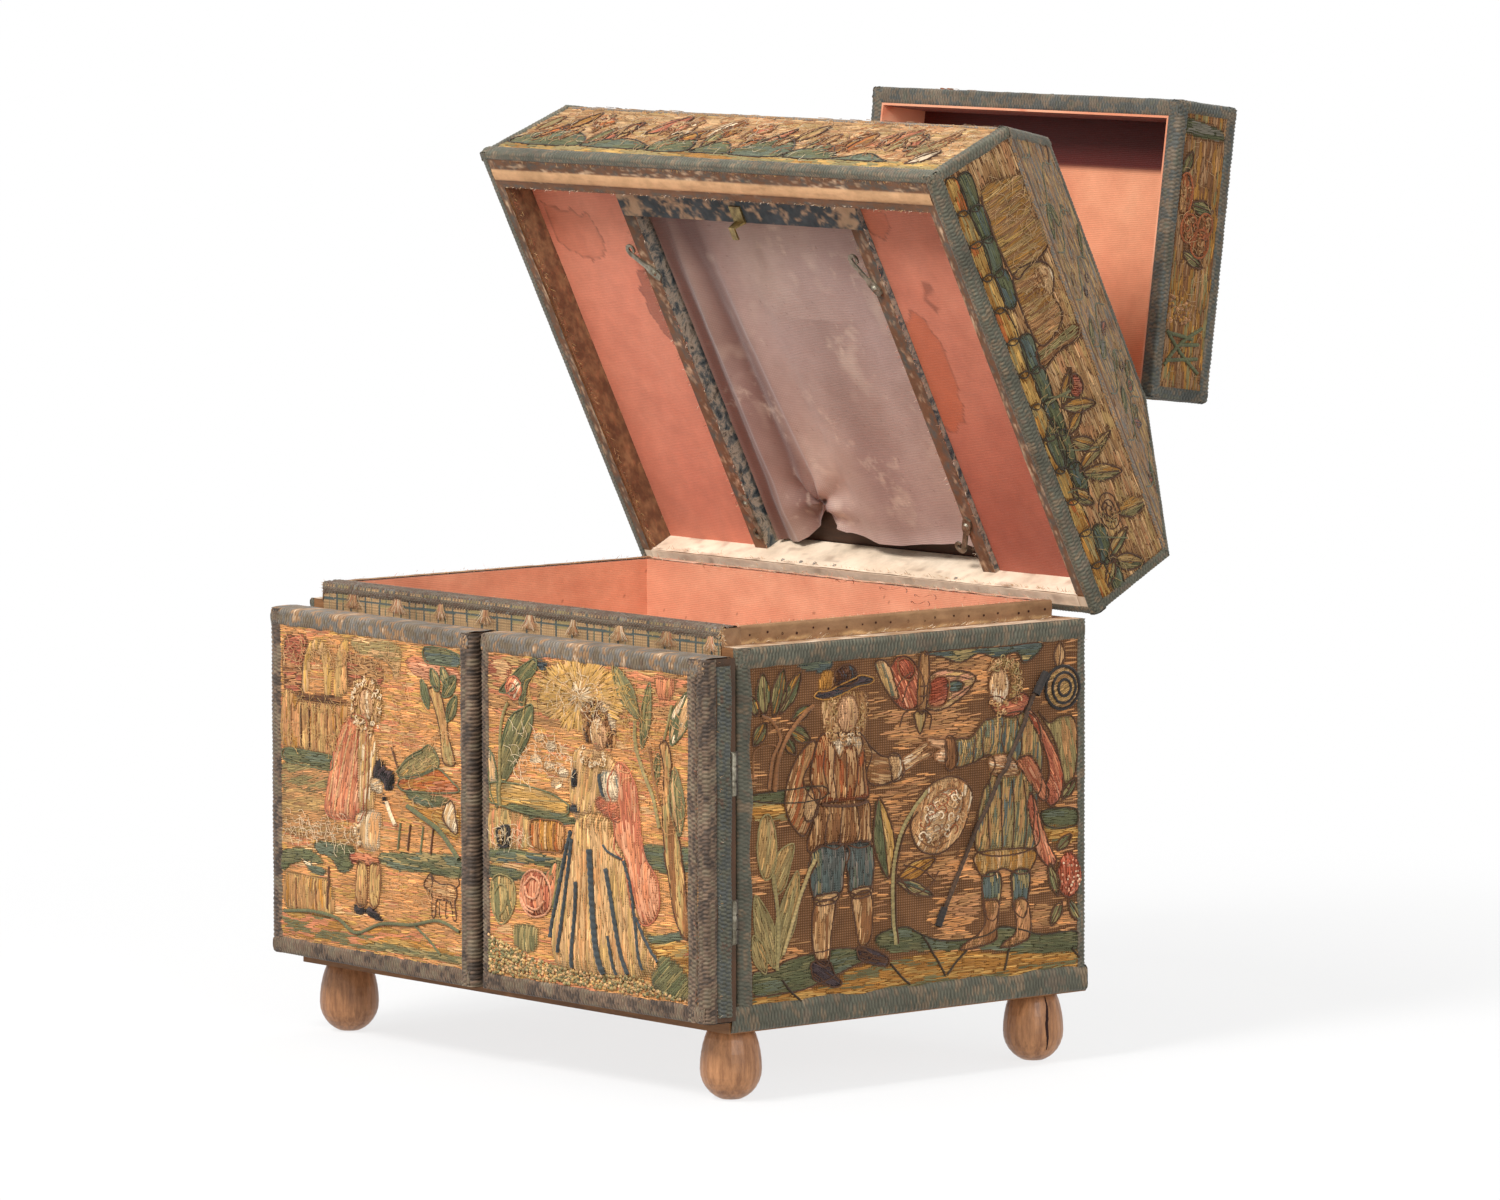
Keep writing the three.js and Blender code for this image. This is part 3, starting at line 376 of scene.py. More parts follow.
    def stitches(self):
        """Rows of separate stitches for each angle and size, each one cut where its shape ends."""
        done = {}
        for n, kind in enumerate(self.kinds):
            done.setdefault((kind["angle"], kind["size"]), []).append(n)
        for (ang, size), members in done.items():
            th = math.radians(ang)
            d = np.array([math.cos(th), math.sin(th)])
            q = np.array([-d[1], d[0]])
            length, width = self.STITCH_LENGTH * size, self.STITCH_WIDTH * min(1.0, size + 0.1)
            corners = np.array([[0, 0], [self.w, 0], [0, self.h], [self.w, self.h]])
            al, ac = corners @ d, corners @ q
            rows = np.arange(ac.min(), ac.max(), width * 0.93)
            cols = np.arange(al.min() - length, al.max() + length, length * 0.86)
            R, C = np.meshgrid(rows, cols, indexing="ij")
            C = C + (self.rng.random((len(rows), 1)) * length) + self.rng.normal(0, length * 0.12, C.shape)
            R = R + self.rng.normal(0, width * 0.10, R.shape)
            R, C = R.ravel(), C.ravel()
            x, y = C * d[0] + R * q[0], C * d[1] + R * q[1]
            ok = self.bounds_ok(x, y)
            idx = self.look(self.idx, x, y)
            ok &= np.isin(idx, members)
            x, y, R, C, idx = x[ok], y[ok], R[ok], C[ok], idx[ok]
            keep = np.ones(len(x), bool)
            for n in members:
                m = idx == n
                if self.kinds[n]["cover"] < 1 and m.any():
                    worn = noise(x[m] / 23 + self.seed, y[m] / 9, self.seed + 9)
                    keep[m] = worn * 0.7 + self.rng.random(m.sum()) * 0.3 < self.kinds[n]["cover"]
            x, y, R, C, idx = x[keep], y[keep], R[keep], C[keep], idx[keep]
            if not len(x):
                continue
            half = np.full(len(x), length / 2) * (0.85 + 0.35 * self.rng.random(len(x)))
            ends = []
            for sign in (-1, 1):
                reach = half.copy()
                for _ in range(6):
                    ex, ey = x + sign * reach * d[0], y + sign * reach * d[1]
                    bad = (self.look(self.idx, ex, ey) != idx) | ~self.bounds_ok(ex, ey)
                    reach = np.where(bad, reach * 0.68, reach)
                ends.append(reach)
            turn = self.rng.normal(0, self.STITCH_TURN, len(x))
            dx, dy = np.cos(th + turn), np.sin(th + turn)
            a = np.stack([x - dx * ends[0], y - dy * ends[0]], 1)
            b = np.stack([x + dx * ends[1], y + dy * ends[1]], 1)
            c = np.zeros((len(x), 3))
            for n in members:
                m = idx == n
                if m.any():
                    c[m] = self._colour(self.kinds[n], x[m], y[m], C[m], R[m], self.seed + n)
            self._threads(a, b, c, width)
        for n, kind in enumerate(self.kinds):
            if kind["centre"]:
                self.rays(n, kind)

    def rays(self, n, kind):
        """Short stitches that run outward from the centre of the shape n."""
        cx, cy = kind["centre"]
        ii, jj = np.nonzero(self.idx == n)
        pick = self.rng.random(len(ii)) < 0.16
        x, y = jj[pick] * self.RES, ii[pick] * self.RES
        r = np.hypot(x - cx, y - cy) + 1e-6
        dx, dy = (x - cx) / r, (y - cy) / r
        a = np.stack([x - dx * self.RAY, y - dy * self.RAY], 1)
        b = np.stack([x + dx * self.RAY, y + dy * self.RAY], 1)
        cols = tints(kind["colors"])
        c = cols[self.rng.integers(0, len(cols), len(x))] * (0.75 + 0.5 * self.rng.random(len(x)))[:, None]
        self._threads(a, b, c, 0.7, 0.25)

    def _threads(self, a, b, c, width, lift=0.0):
        """Flat-roofed threads from a to b, eight points each."""
        d = b - a
        ln = np.linalg.norm(d, axis=1, keepdims=True) + 1e-9
        ok = ln[:, 0] > 0.9
        a, b, d, ln, c = a[ok], b[ok], d[ok], ln[ok], c[ok]
        if not len(a):
            return
        q = np.stack([-d[:, 1], d[:, 0]], 1) / ln * width / 2
        h = 0.28 + 0.18 * self.rng.random(len(a))
        base = -0.10 + lift
        m1, m2 = a + d * 0.16, b - d * 0.16
        pts = [a, m1 - q, m1, m1 + q, m2 - q, m2, m2 + q, b]
        up = [0, 0, 1, 0, 0, 1, 0, 0]
        vs = []
        for p, k in zip(pts, up):
            z = self.look(self.hgt, p[:, 0], p[:, 1]) + base + k * (h + 0.10)
            vs.append(self.at(p[:, 0], p[:, 1], z))
        v = np.stack(vs, 1)
        t = np.array([[0, 1, 2], [0, 2, 3], [1, 4, 5], [1, 5, 2],
                      [2, 5, 6], [2, 6, 3], [4, 7, 5], [5, 7, 6]])
        t = (t[None] + (np.arange(len(a)) * 8)[:, None, None]).reshape(-1, 3)
        shade = np.array([0.82, 0.72, 1.08, 0.72, 0.72, 1.08, 0.72, 0.82])
        self.geo.add(v.reshape(-1, 3), t, (c[:, None] * shade[None, :, None]).reshape(-1, 3), 1)

    def lay_cords(self):
        """Twisted cords along their lines, kept off the braid at the panel's edges."""
        for p, color, r, closed, step, twist, lift in self.cords:
            line = smooth_line(p, step, closed)
            if closed:
                line = np.concatenate([line, line[:1]])
            line = line + self.rng.normal(0, 0.05, line.shape)
            ok = self.bounds_ok(line[:, 0], line[:, 1])
            if not ok.all():
                runs = np.split(np.arange(len(line)), np.nonzero(np.diff(ok.astype(int)))[0] + 1)
                runs = [q for q in runs if ok[q[0]]]
                if not runs:
                    continue
                line = line[max(runs, key=len)]
            if len(line) < 3:
                continue
            d = np.gradient(line, axis=0)
            d /= np.linalg.norm(d, axis=1, keepdims=True) + 1e-9
            q = np.stack([-d[:, 1], d[:, 0]], 1)
            s = np.concatenate([[0], np.cumsum(np.linalg.norm(np.diff(line, axis=0), axis=1))])
            rr = r * (1 + 0.14 * np.sin(s * 2 * math.pi / twist))
            z0 = self.look(self.hgt, line[:, 0], line[:, 1]) + 0.18 + r * 0.55 + lift
            k = 6 if r > 0.2 else 4
            around = []
            for a in np.arange(k + 1) * 2 * math.pi / k:
                off = q * (rr * math.cos(a))[:, None]
                around.append(self.at(line[:, 0] + off[:, 0], line[:, 1] + off[:, 1], z0 + rr * math.sin(a)))
            v = np.stack(around, 1)
            base = PAL[color] * (0.85 + 0.3 * self.rng.random((len(line), 1)))
            # painted light and shade that spiral round the cord with its twist
            c = np.repeat(base[:, None], k + 1, 1) * (0.9 + 0.25 * np.sin(
                s[:, None, None] * 2 * math.pi / twist + np.arange(k + 1)[None, :, None]))
            self.geo.grid(v, c, 1, flip=True)

    def lay_knots(self):
        """Round knots, strewn over an outline."""
        ball = []
        for lat in (0.25, 0.75):
            for a in range(6):
                t = a * math.pi / 3 + lat * 2
                ball.append((math.cos(t) * math.cos(lat * 1.3), math.sin(t) * math.cos(lat * 1.3),
                             math.sin(lat * 1.3)))
        ball.append((0, 0, 1.0))
        ball = np.array(ball)
        tri = []
        for a in range(6):
            b = (a + 1) % 6
            tri += [(a, b, 6 + b), (a, 6 + b, 6 + a), (6 + a, 6 + b, 12)]
        tri = np.array(tri)
        for poly, colors, per, r, lift in self.beads:
            lo, hi = poly.min(0), poly.max(0)
            count = int((hi - lo).prod() * per / (r * r))
            x = lo[0] + self.rng.random(count) * (hi[0] - lo[0])
            y = lo[1] + self.rng.random(count) * (hi[1] - lo[1])
            hit, _ = inside(poly, x, y)
            hit &= self.bounds_ok(x, y)
            x, y = x[hit], y[hit]
            cols = tints(colors)
            c = cols[self.rng.integers(0, len(cols), len(x))]
            c = c * (0.7 + 0.6 * self.rng.random(len(x)))[:, None]
            size = r * (0.7 + 0.5 * self.rng.random(len(x)))
            z = self.look(self.hgt, x, y) + lift * self.rng.random(len(x))
            px = x[:, None] + ball[None, :, 0] * size[:, None]
            py = y[:, None] + ball[None, :, 1] * size[:, None]
            pz = z[:, None] + ball[None, :, 2] * size[:, None] * 0.9
            v = self.at(px, py, pz)
            t = (tri[None] + (np.arange(len(x)) * 13)[:, None, None]).reshape(-1, 3)
            self.geo.add(v.reshape(-1, 3), t, np.repeat(c, 13, 0), 1)

    def curls(self, pts, colors, count, r=1.0, thick=0.28, lift=0.5):
        """Small curled threads inside an outline, for hair, beards and blossom."""
        poly, colors = outline(pts), colors.split()
        lo, hi = poly.min(0), poly.max(0)
        spots = lo + self.rng.random((count * 4, 2)) * (hi - lo)
        hit, _ = inside(poly, spots[:, 0], spots[:, 1])
        for k, (x, y) in enumerate(spots[hit][:count]):
            a = self.rng.random() * 6.28 + self.rng.choice((-1, 1)) * np.linspace(0, 4.4, 7)
            q = r * (0.6 + 0.7 * self.rng.random()) * np.linspace(1, 0.5, 7)
            self.cord(np.stack([x + q * np.cos(a), y + q * np.sin(a)], 1), colors[k % len(colors)], thick,
                      lift=lift * self.rng.random())

    def head(self, x, y, rx, ry):
        """A calm, plain face worked in flat stitches, with thin outlines."""
        self.shape(ring(x, y, rx, ry), "skin cream white", 90, 2.0, "brown", 0.2)
        for side in (-0.45, 0.4):
            ex, ey = x + side * rx, y + 0.1 * ry
            self.cord([(ex - 0.7, ey), (ex, ey - 0.2), (ex + 0.7, ey)], "umber", 0.16, lift=0.4)
            self.cord([(ex - 0.8, ey + 1.3), (ex, ey + 1.7), (ex + 0.8, ey + 1.3)], "brown", 0.13, lift=0.4)
        self.cord([(x, y + 0.1 * ry), (x - 0.2, y - 0.22 * ry), (x + 0.4, y - 0.28 * ry)], "brown", 0.14,
                  lift=0.5)
        self.cord([(x - 0.8, y - 0.56 * ry), (x, y - 0.62 * ry), (x + 0.8, y - 0.56 * ry)], "rose", 0.17,
                  lift=0.5)

    def frays(self, x0, y0, x1, y1, count, color, length=4.0, r=0.11, lift=1.0):
        """Loose thread ends, strewn between two corners."""
        for _ in range(count):
            p = np.array([x0 + (x1 - x0) * self.rng.random(), y0 + (y1 - y0) * self.rng.random()])
            a = self.rng.random() * 2 * math.pi
            ln = length * (0.5 + self.rng.random())
            mid = p + np.array([math.cos(a), math.sin(a)]) * ln / 2 + self.rng.normal(0, 0.6, 2)
            end = p + np.array([math.cos(a + 0.5), math.sin(a + 0.5)]) * ln
            self.cord([p, mid, end], color, r, lift=lift * self.rng.random())

    def finish(self):
        """Make the panel's triangles, in this order, and shift their colours to the panel's tone."""
        first = len(self.geo.c)
        self.field()
        self.stitches()
        self.lay_cords()
        self.lay_knots()
        for k in range(first, len(self.geo.c)):
            self.geo.c[k] = self.geo.c[k] * self.tone


def unit(v):
    """The vector v at length one."""
    v = np.array(v, float)
    return v / np.linalg.norm(v)


def welt(geo, body, a, b, n1, w1, n2, w2, colors="braid braid2 braid3", thick=1.0, thick2=None,
         pitch=1.7, wave=0.0, seed=0):
    """Ribbed braid folded over the edge from a to b, w1 wide on the face n1 and w2 wide on the face n2."""
    a, b, n1, n2 = np.array(a, float), np.array(b, float), unit(n1), unit(n2)
    thick2 = thick if thick2 is None else thick2
    ln = np.linalg.norm(b - a)
    e = (b - a) / ln
    d1, d2 = np.cross(n1, e), np.cross(n2, e)
    d1 = d1 if d1 @ n2 < 0 else -d1
    d2 = d2 if d2 @ n1 < 0 else -d2
    n, m = int(ln / 0.42) + 1, 8
    s = np.linspace(0, ln, n)
    t1 = np.linspace(1, 0, m, endpoint=False)
    t2 = np.linspace(0, 1, m + 1)[1:]
    T = np.concatenate([-t1, [0], t2])
    across = np.where(T < 0, -T * w1, T * w2)
    S, A = np.meshgrid(s, across, indexing="ij")
    TT = np.broadcast_to(T, S.shape)
    wob = 0.5 * (noise(s / 11, s * 0 + seed, seed + 31) - 0.5)
    wob = wob + wave * np.sin(s / 6.3) * noise(s / 30, s * 0, seed)
    edge1 = 1 + 0.10 * (noise(s / 7, s * 0 + 5, seed + 3) - 0.5)
    A = A * np.where(TT < 0, edge1[:, None], 1)
    near = np.exp(-(A / 1.6) ** 2)
    N = np.where((TT < 0)[..., None], n1, n2)
    D = np.where((TT < 0)[..., None], d1, d2)
    mid = unit(n1 + n2)
    N = N * (1 - near * 0.5)[..., None] + mid * (near * 0.5)[..., None]
    fall = np.sqrt(np.clip(1 - np.abs(TT) ** 6, 0, 1))
    th = np.where(TT < 0, thick, thick2)
    lane = np.round(np.abs(TT) * 2)
    rib = np.abs(np.sin(math.pi * (S + 1.1 * noise(S / 5, TT * 0.8, seed)) / pitch + lane * 1.57))
    lift = 0.12 * fall + th * fall * (0.48 + 0.52 * rib) - 0.3 * near
    lift = lift + th * 0.22 * (noise(S / 5, TT * 2 + seed, seed + 17) - 0.5)
    lift = np.where(np.abs(TT) > 0.99, -0.25, lift)
    wide = (TT < 0) * (A / max(w1, 0.1)) * wob[:, None]
    P = a + S[..., None] * e + (A + wide)[..., None] * D + lift[..., None] * N
    cols = tints(colors)
    pick = noise(S / 4.3 + seed, TT * 2.2, seed + 7) * 0.65 + noise(S / 0.9, TT * 5, seed + 8) * 0.35
    i = np.clip((pick * len(cols)).astype(int), 0, len(cols) - 1)
    # painted shade in the grooves between the ribs and painted light on their crests
    c = cols[i] * (0.46 + 0.59 * rib)[..., None] * (0.78 + 0.44 * RNG.random(S.shape))[..., None]
    c = c * (0.8 + 0.4 * noise(S / 13 + seed, TT, seed + 2))[..., None]
    flip = np.cross(e, d2) @ n2 < 0
    geo.grid(metres(P, body), c, 2, flip=bool(flip))


def tape(geo, body, a, b, n, w, colors, thick=1.0, pitch=1.7, sway=0.0, seed=0, rows=12):
    """A flat ribbed tape, w wide, along the line from a to b on a face whose normal is n."""
    a, b, n = np.array(a, float), np.array(b, float), unit(n)
    ln = np.linalg.norm(b - a)
    e = (b - a) / ln
    d = np.cross(n, e)
    s, t = np.linspace(0, ln, int(ln / 0.42) + 1), np.linspace(-1, 1, rows)
    S, T = np.meshgrid(s, t, indexing="ij")
    mid = (sway * np.sin(s / 6.7 + seed) * (0.4 + noise(s / 25, s * 0, seed)))[:, None]
    rib = np.abs(np.sin(math.pi * S / pitch + np.round((T + 1) * 1.5) * 1.57))
    lift = thick * np.sqrt(np.clip(1 - np.abs(T) ** 4, 0, 1)) * (0.45 + 0.55 * rib)
    lift = np.where(np.abs(T) > 0.99, -0.2, lift)
    P = a + S[..., None] * e + (T * w / 2 + mid)[..., None] * d + lift[..., None] * n
    cols = tints(colors)
    pick = noise(S / 4.1 + seed, T * 2, seed + 4) * 0.6 + noise(S, T * 5, seed + 9) * 0.4
    i = np.clip((pick * len(cols)).astype(int), 0, len(cols) - 1)
    # painted shade in the grooves between the ribs and painted light on their crests
    c = cols[i] * (0.42 + 0.66 * rib)[..., None] * (0.8 + 0.4 * RNG.random(S.shape))[..., None]
    geo.grid(metres(P, body), c, 2)


def fuzz(geo, body, a, b, out, count, colors, length=3.0, spread=1.0, width=0.16):
    """Loose thread ends along the line from a to b, standing mostly along out."""
    a, b, out = np.array(a, float), np.array(b, float), unit(out)
    e = unit(b - a)
    side = np.cross(out, e)
    n = count
    p = a + RNG.random((n, 1)) * (b - a) + RNG.normal(0, spread * 0.5, (n, 1)) * side
    reach = length * (0.4 + 0.8 * RNG.random((n, 1)))
    g = out + RNG.normal(0, 0.9, (n, 1)) * e + RNG.normal(0, 0.6, (n, 1)) * side
    g /= np.linalg.norm(g, axis=1, keepdims=True)
    bend = RNG.normal(0, 0.3, (n, 1)) * e - 0.1 * out
    pts = [p, p + g * reach * 0.5 + bend * reach * 0.2, p + g * reach + bend * reach * 0.7]
    w = np.cross(g, out + 0.3 * e)
    w /= np.linalg.norm(w, axis=1, keepdims=True) + 1e-9
    w = w * width / 2
    v = np.stack([pts[0] - w, pts[0] + w, pts[1] - w, pts[1] + w, pts[2]], 1)
    t = np.array([[0, 1, 3], [0, 3, 2], [2, 3, 4]])
    t = (t[None] + (np.arange(n) * 5)[:, None, None]).reshape(-1, 3)
    cols = tints(colors)
    c = cols[RNG.integers(0, len(cols), n)] * (0.7 + 0.5 * RNG.random((n, 1)))
    geo.add(metres(v, body).reshape(-1, 3), t, np.repeat(c, 5, 0), 1)


def skin_of(geo, body, place, s0, s1, t0, t1, height, colour, mat=0, step=1.0, flip=False):
    """A sheet over s and t, from functions of its place, its height and its colour."""
    s = np.linspace(s0, s1, max(2, int(abs(s1 - s0) / step)))
    t = np.linspace(t0, t1, max(2, int(abs(t1 - t0) / step)))
    S, T = np.meshgrid(s, t)
    geo.grid(metres(place(S, T, height(S, T)), body), colour(S, T), mat, np.stack([S, T], -1) / 10, flip)


def cone(geo, body, foot, tip, color, mat, flip=False):
    """A small nail or hole: a ring of points joined to a tip."""
    n = len(foot)
    tri = [((k + 1) % n, k, n) if flip else (k, (k + 1) % n, n) for k in range(n)]
    geo.add(metres(np.concatenate([foot, [tip]]), body), tri, color, mat)


def blend(a, b, f):
    """The colour a, a name or an array, mixed with the named colour b by the share f."""
    f = np.clip(f, 0, 1)[..., None]
    return PAL[a] * (1 - f) + PAL[b] * f if isinstance(a, str) else a * (1 - f) + PAL[b] * f


def blot(S, T, poly, soft, ragged, seed):
    """The share of a stain inside an outline, and of the line round it."""
    hit, near = inside(points(poly), S + ragged * (noise(S / 5, T / 5, seed) - 0.5),
                       T + ragged * (noise(S / 5, T / 5, seed + 1) - 0.5))
    return np.where(hit, np.clip(near / soft, 0, 1), 0), np.where(hit, np.exp(-(near / 0.9) ** 2), 0)


# Materials
def node_material(name, rough, metal=0.0, sheen=0.0, spec=0.4, coat=0.0):
    """A new material with its node tree and its shader."""
    m = bpy.data.materials.new(name)
    m.use_nodes = True
    nt = m.node_tree
    b = nt.nodes["Principled BSDF"]
    b.inputs["Roughness"].default_value = rough
    b.inputs["Metallic"].default_value = metal
    b.inputs["Specular IOR Level"].default_value = spec
    if sheen:
        b.inputs["Sheen Weight"].default_value = sheen
        b.inputs["Sheen Roughness"].default_value = 0.4
    if coat:
        b.inputs["Coat Weight"].default_value = coat
    return m, nt, b


class Net:
    """Short hands for wiring a node tree."""

    def __init__(self, nt):
        self.nt = nt

    def node(self, kind, sockets=(), **settings):
        n = self.nt.nodes.new("ShaderNode" + kind)
        for k, v in settings.items():
            setattr(n, k, v)
        for k, v in dict(sockets).items():
            n.inputs[k].default_value = v
        return n

    def link(self, a, b):
        self.nt.links.new(a, b)

    def coords(self, kind="Object", scale=(1, 1, 1)):
        t = self.node("TexCoord")
        m = self.node("Mapping", {"Scale": scale})
        self.link(t.outputs[kind], m.inputs["Vector"])
        return m.outputs["Vector"]

    def noise(self, vec, scale, detail=4.0, rough=0.6, distort=0.0):
        n = self.node("TexNoise", {"Scale": scale, "Detail": detail, "Roughness": rough,
                                   "Distortion": distort})
        self.link(vec, n.inputs["Vector"])
        return n.outputs["Fac"]

    def ramp(self, fac, stops):
        r = self.node("ValToRGB")
        el = r.color_ramp.elements
        while len(el) < len(stops):
            el.new(0.5)
        for e, (pos, col) in zip(el, stops):
            e.position = pos
            e.color = (*col, 1.0)
        self.link(fac, r.inputs["Fac"])
        return r.outputs["Color"]

    def mix(self, fac, a, b, mode="MIX"):
        n = self.node("Mix", data_type="RGBA", blend_type=mode)
        for sock, val in ((n.inputs[0], fac), (n.inputs[6], a), (n.inputs[7], b)):
            if isinstance(val, (int, float)):
                sock.default_value = val
            elif isinstance(val, (tuple, list, np.ndarray)):
                sock.default_value = (*val[:3], 1.0)
            else:
                self.link(val, sock)
        return n.outputs[2]

    def bump(self, height, strength, distance):
        n = self.node("Bump", {"Strength": strength, "Distance": distance})
        self.link(height, n.inputs["Height"])
        return n.outputs["Normal"]

    def wave(self, vec, scale, direction, distort):
        n = self.node("TexWave", {"Scale": scale, "Distortion": distort, "Detail": 2.0},
                      bands_direction=direction)
        self.link(vec, n.inputs["Vector"])
        return n.outputs["Fac"]

    def math(self, op, a, b):
        n = self.node("Math", operation=op)
        for sock, val in ((n.inputs[0], a), (n.inputs[1], b)):
            if isinstance(val, (int, float)):
                sock.default_value = val
            else:
                self.link(val, sock)
        return n.outputs[0]


def thread_material(name, sheen, rough, fine):
    """Thread or paper in its vertex colours, a little soiled, with a fine bump."""
    m, nt, b = node_material(name, rough, sheen=sheen, spec=0.3)
    n = Net(nt)
    col = n.node("VertexColor", layer_name="Col").outputs["Color"]
    vec = n.coords()
    soil = n.noise(vec, 60, 5, 0.65)
    dirt = n.ramp(soil, [(0.3, (0.72, 0.68, 0.62)), (0.62, (1.08, 1.04, 1.0))])
    c = n.mix(1.0, col, dirt, "MULTIPLY")
    n.link(c, b.inputs["Base Color"])
    f = n.noise(vec, fine, 3, 0.7)
    n.link(n.bump(f, 0.5, 0.0004), b.inputs["Normal"])
    return m


THREAD = thread_material("silk_thread", 0.25, 0.62, 2600)
BRAID = thread_material("metal_thread_braid", 0.15, 0.55, 1800)


def canvas_material():
    """Coarse woven cloth in its vertex colours."""
    m, nt, b = node_material("canvas", 0.88, sheen=0.15, spec=0.2)
    n = Net(nt)
    col = n.node("VertexColor", layer_name="Col").outputs["Color"]
    uv = n.coords("UV")
    wx, wy = n.wave(uv, 2.6, "X", 0.8), n.wave(uv, 3.1, "Y", 0.8)
    weave = n.math("MULTIPLY", wx, wy)
    shade = n.ramp(weave, [(0.02, (0.5, 0.45, 0.42)), (0.6, (1.22, 1.2, 1.18))])
    soil = n.ramp(n.noise(n.coords(), 45, 5), [(0.3, (0.8, 0.76, 0.72)), (0.7, (1.05, 1.02, 1.0))])
    c = n.mix(1.0, n.mix(1.0, col, shade, "MULTIPLY"), soil, "MULTIPLY")
    n.link(c, b.inputs["Base Color"])
    n.link(n.bump(weave, 0.8, 0.0005), b.inputs["Normal"])
    return m


CANVAS = canvas_material()
OLD_PAPER = thread_material("old_paper", 0.0, 0.8, 900)


def plain_silk(name, rough, sheen):
    """Fine woven silk in its vertex colours."""
    m, nt, b = node_material(name, rough, sheen=sheen, spec=0.35)
    n = Net(nt)
    col = n.node("VertexColor", layer_name="Col").outputs["Color"]
    uv = n.coords("UV")
    wx, wy = n.wave(uv, 5.0, "X", 1.2), n.wave(uv, 4.0, "Y", 1.2)
    weave = n.math("MULTIPLY", wx, wy)
    shade = n.ramp(weave, [(0.05, (0.86, 0.83, 0.81)), (0.7, (1.06, 1.05, 1.04))])
    patches = n.ramp(n.noise(n.coords(), 38, 6, 0.7),
                     [(0.32, (0.86, 0.82, 0.8)), (0.62, (1.05, 1.05, 1.05))])
    n.link(n.mix(1.0, n.mix(1.0, col, shade, "MULTIPLY"), patches, "MULTIPLY"), b.inputs["Base Color"])
    fine = n.noise(n.coords(), 1500, 2, 0.6)
    n.link(n.bump(n.math("ADD", weave, fine), 0.35, 0.0003), b.inputs["Normal"])
    return m


SILK_CLOTH = plain_silk("silk_cloth", 0.55, 0.2)
CLOTHS = [CANVAS, THREAD, BRAID]
LININGS = [SILK_CLOTH, THREAD, BRAID, OLD_PAPER]


def wood_material(name, light, dark, rough, grain, coat, scale):
    """Wood with its grain drawn out along the axis where grain is least."""
    m, nt, b = node_material(name, rough, coat=coat)
    n = Net(nt)
    vec = n.coords("Object", grain)
    g = n.noise(vec, scale, 6, 0.62, 1.2)
    fine = n.noise(vec, scale * 6, 4, 0.7)
    c = n.ramp(g, [(0.25, lin(dark)), (0.5, (lin(light) + lin(dark)) / 2), (0.75, lin(light))])
    c = n.mix(0.35, c, n.ramp(fine, [(0.35, lin(dark) * 0.6), (0.65, lin(light) * 1.1)]))
    n.link(c, b.inputs["Base Color"])
    n.link(n.bump(g, 0.25, 0.0006), b.inputs["Normal"])
    return m


FOOT_WOOD = wood_material("turned_wood", "#d09465", "#6f442b", 0.42, (60, 60, 10), 0.12, 1.6)
BOARD_WOOD = wood_material("board_wood", "#a5744a", "#5f3d26", 0.62, (8, 60, 60), 0.0, 2.0)
PALE_WOOD = wood_material("pale_wood", "#e2b78c", "#a87850", 0.55, (8, 60, 60), 0.0, 2.0)
# near-black wood, used only for the recess's back as painted shadow
RECESS_SHADOW_WOOD = wood_material("wood_painted_as_recess_shadow", "#4a3020", "#22150e", 0.6, (8, 60, 60), 0.0, 2.0)


def silk_material(name, light, dark, stain, sheen=0.3):
    """Stained silk for the solids that are silk themselves."""
    m, nt, b = node_material(name, 0.55, sheen=sheen, spec=0.3)
    n = Net(nt)
    vec = n.coords()
    fine = n.noise(n.coords("Object", (900, 900, 900)), 1.2, 2, 0.7)
    big = n.noise(vec, 14, 5, 0.6)
    c = n.ramp(big, [(0.3, lin(dark)), (0.6, lin(light))])
    spots = n.ramp(n.noise(vec, 70, 6, 0.75), [(0.24, (0.55, 0.42, 0.36)), (0.36, (1, 1, 1))])
    c = n.mix(0.5, c, n.mix(1.0, c, spots, "MULTIPLY"))
    tide = n.ramp(n.noise(vec, 9, 2, 0.4),
                  [(0.56, (1, 1, 1)), (0.585, lin(stain) * 1.6), (0.61, (1, 0.97, 0.95))])
    c = n.mix(0.5, c, n.mix(1.0, c, tide, "MULTIPLY"))
    n.link(c, b.inputs["Base Color"])
    weave = n.math("ADD", fine, n.math("MULTIPLY", big, 2.0))
    n.link(n.bump(weave, 0.25, 0.0005), b.inputs["Normal"])
    return m


PINK_SILK = silk_material("pink_silk", "#f3b18d", "#dd8763", "#b5673f")
LAVENDER = silk_material("lavender_silk", "#b3938a", "#8c6f69", "#8f7566", 0.45)


def paper_material(name, scale, stops):
    """Paper with blotches of the colours in stops."""
    m, nt, b = node_material(name, 0.85, spec=0.2)
    n = Net(nt)
    vec = n.coords()
    big = n.noise(vec, scale, 6, 0.7, 0.6)
    c = n.ramp(big, [(place, lin(code)) for place, code in stops])
    spots = n.ramp(n.noise(vec, 160, 4, 0.8), [(0.3, (0.6, 0.5, 0.42)), (0.42, (1, 1, 1))])
    n.link(n.mix(1.0, c, spots, "MULTIPLY"), b.inputs["Base Color"])
    n.link(n.bump(big, 0.3, 0.0004), b.inputs["Normal"])
    return m


CREAM_PAPER = paper_material("cream_paper", 40, ((0.35, "#c9a88a"), (0.6, "#e3cdb4")))
MARBLED = paper_material("marbled_paper", 170, ((0.36, "#3c464c"), (0.46, "#6f7370"), (0.55, "#b9ab97"),
                                                (0.66, "#55524c")))


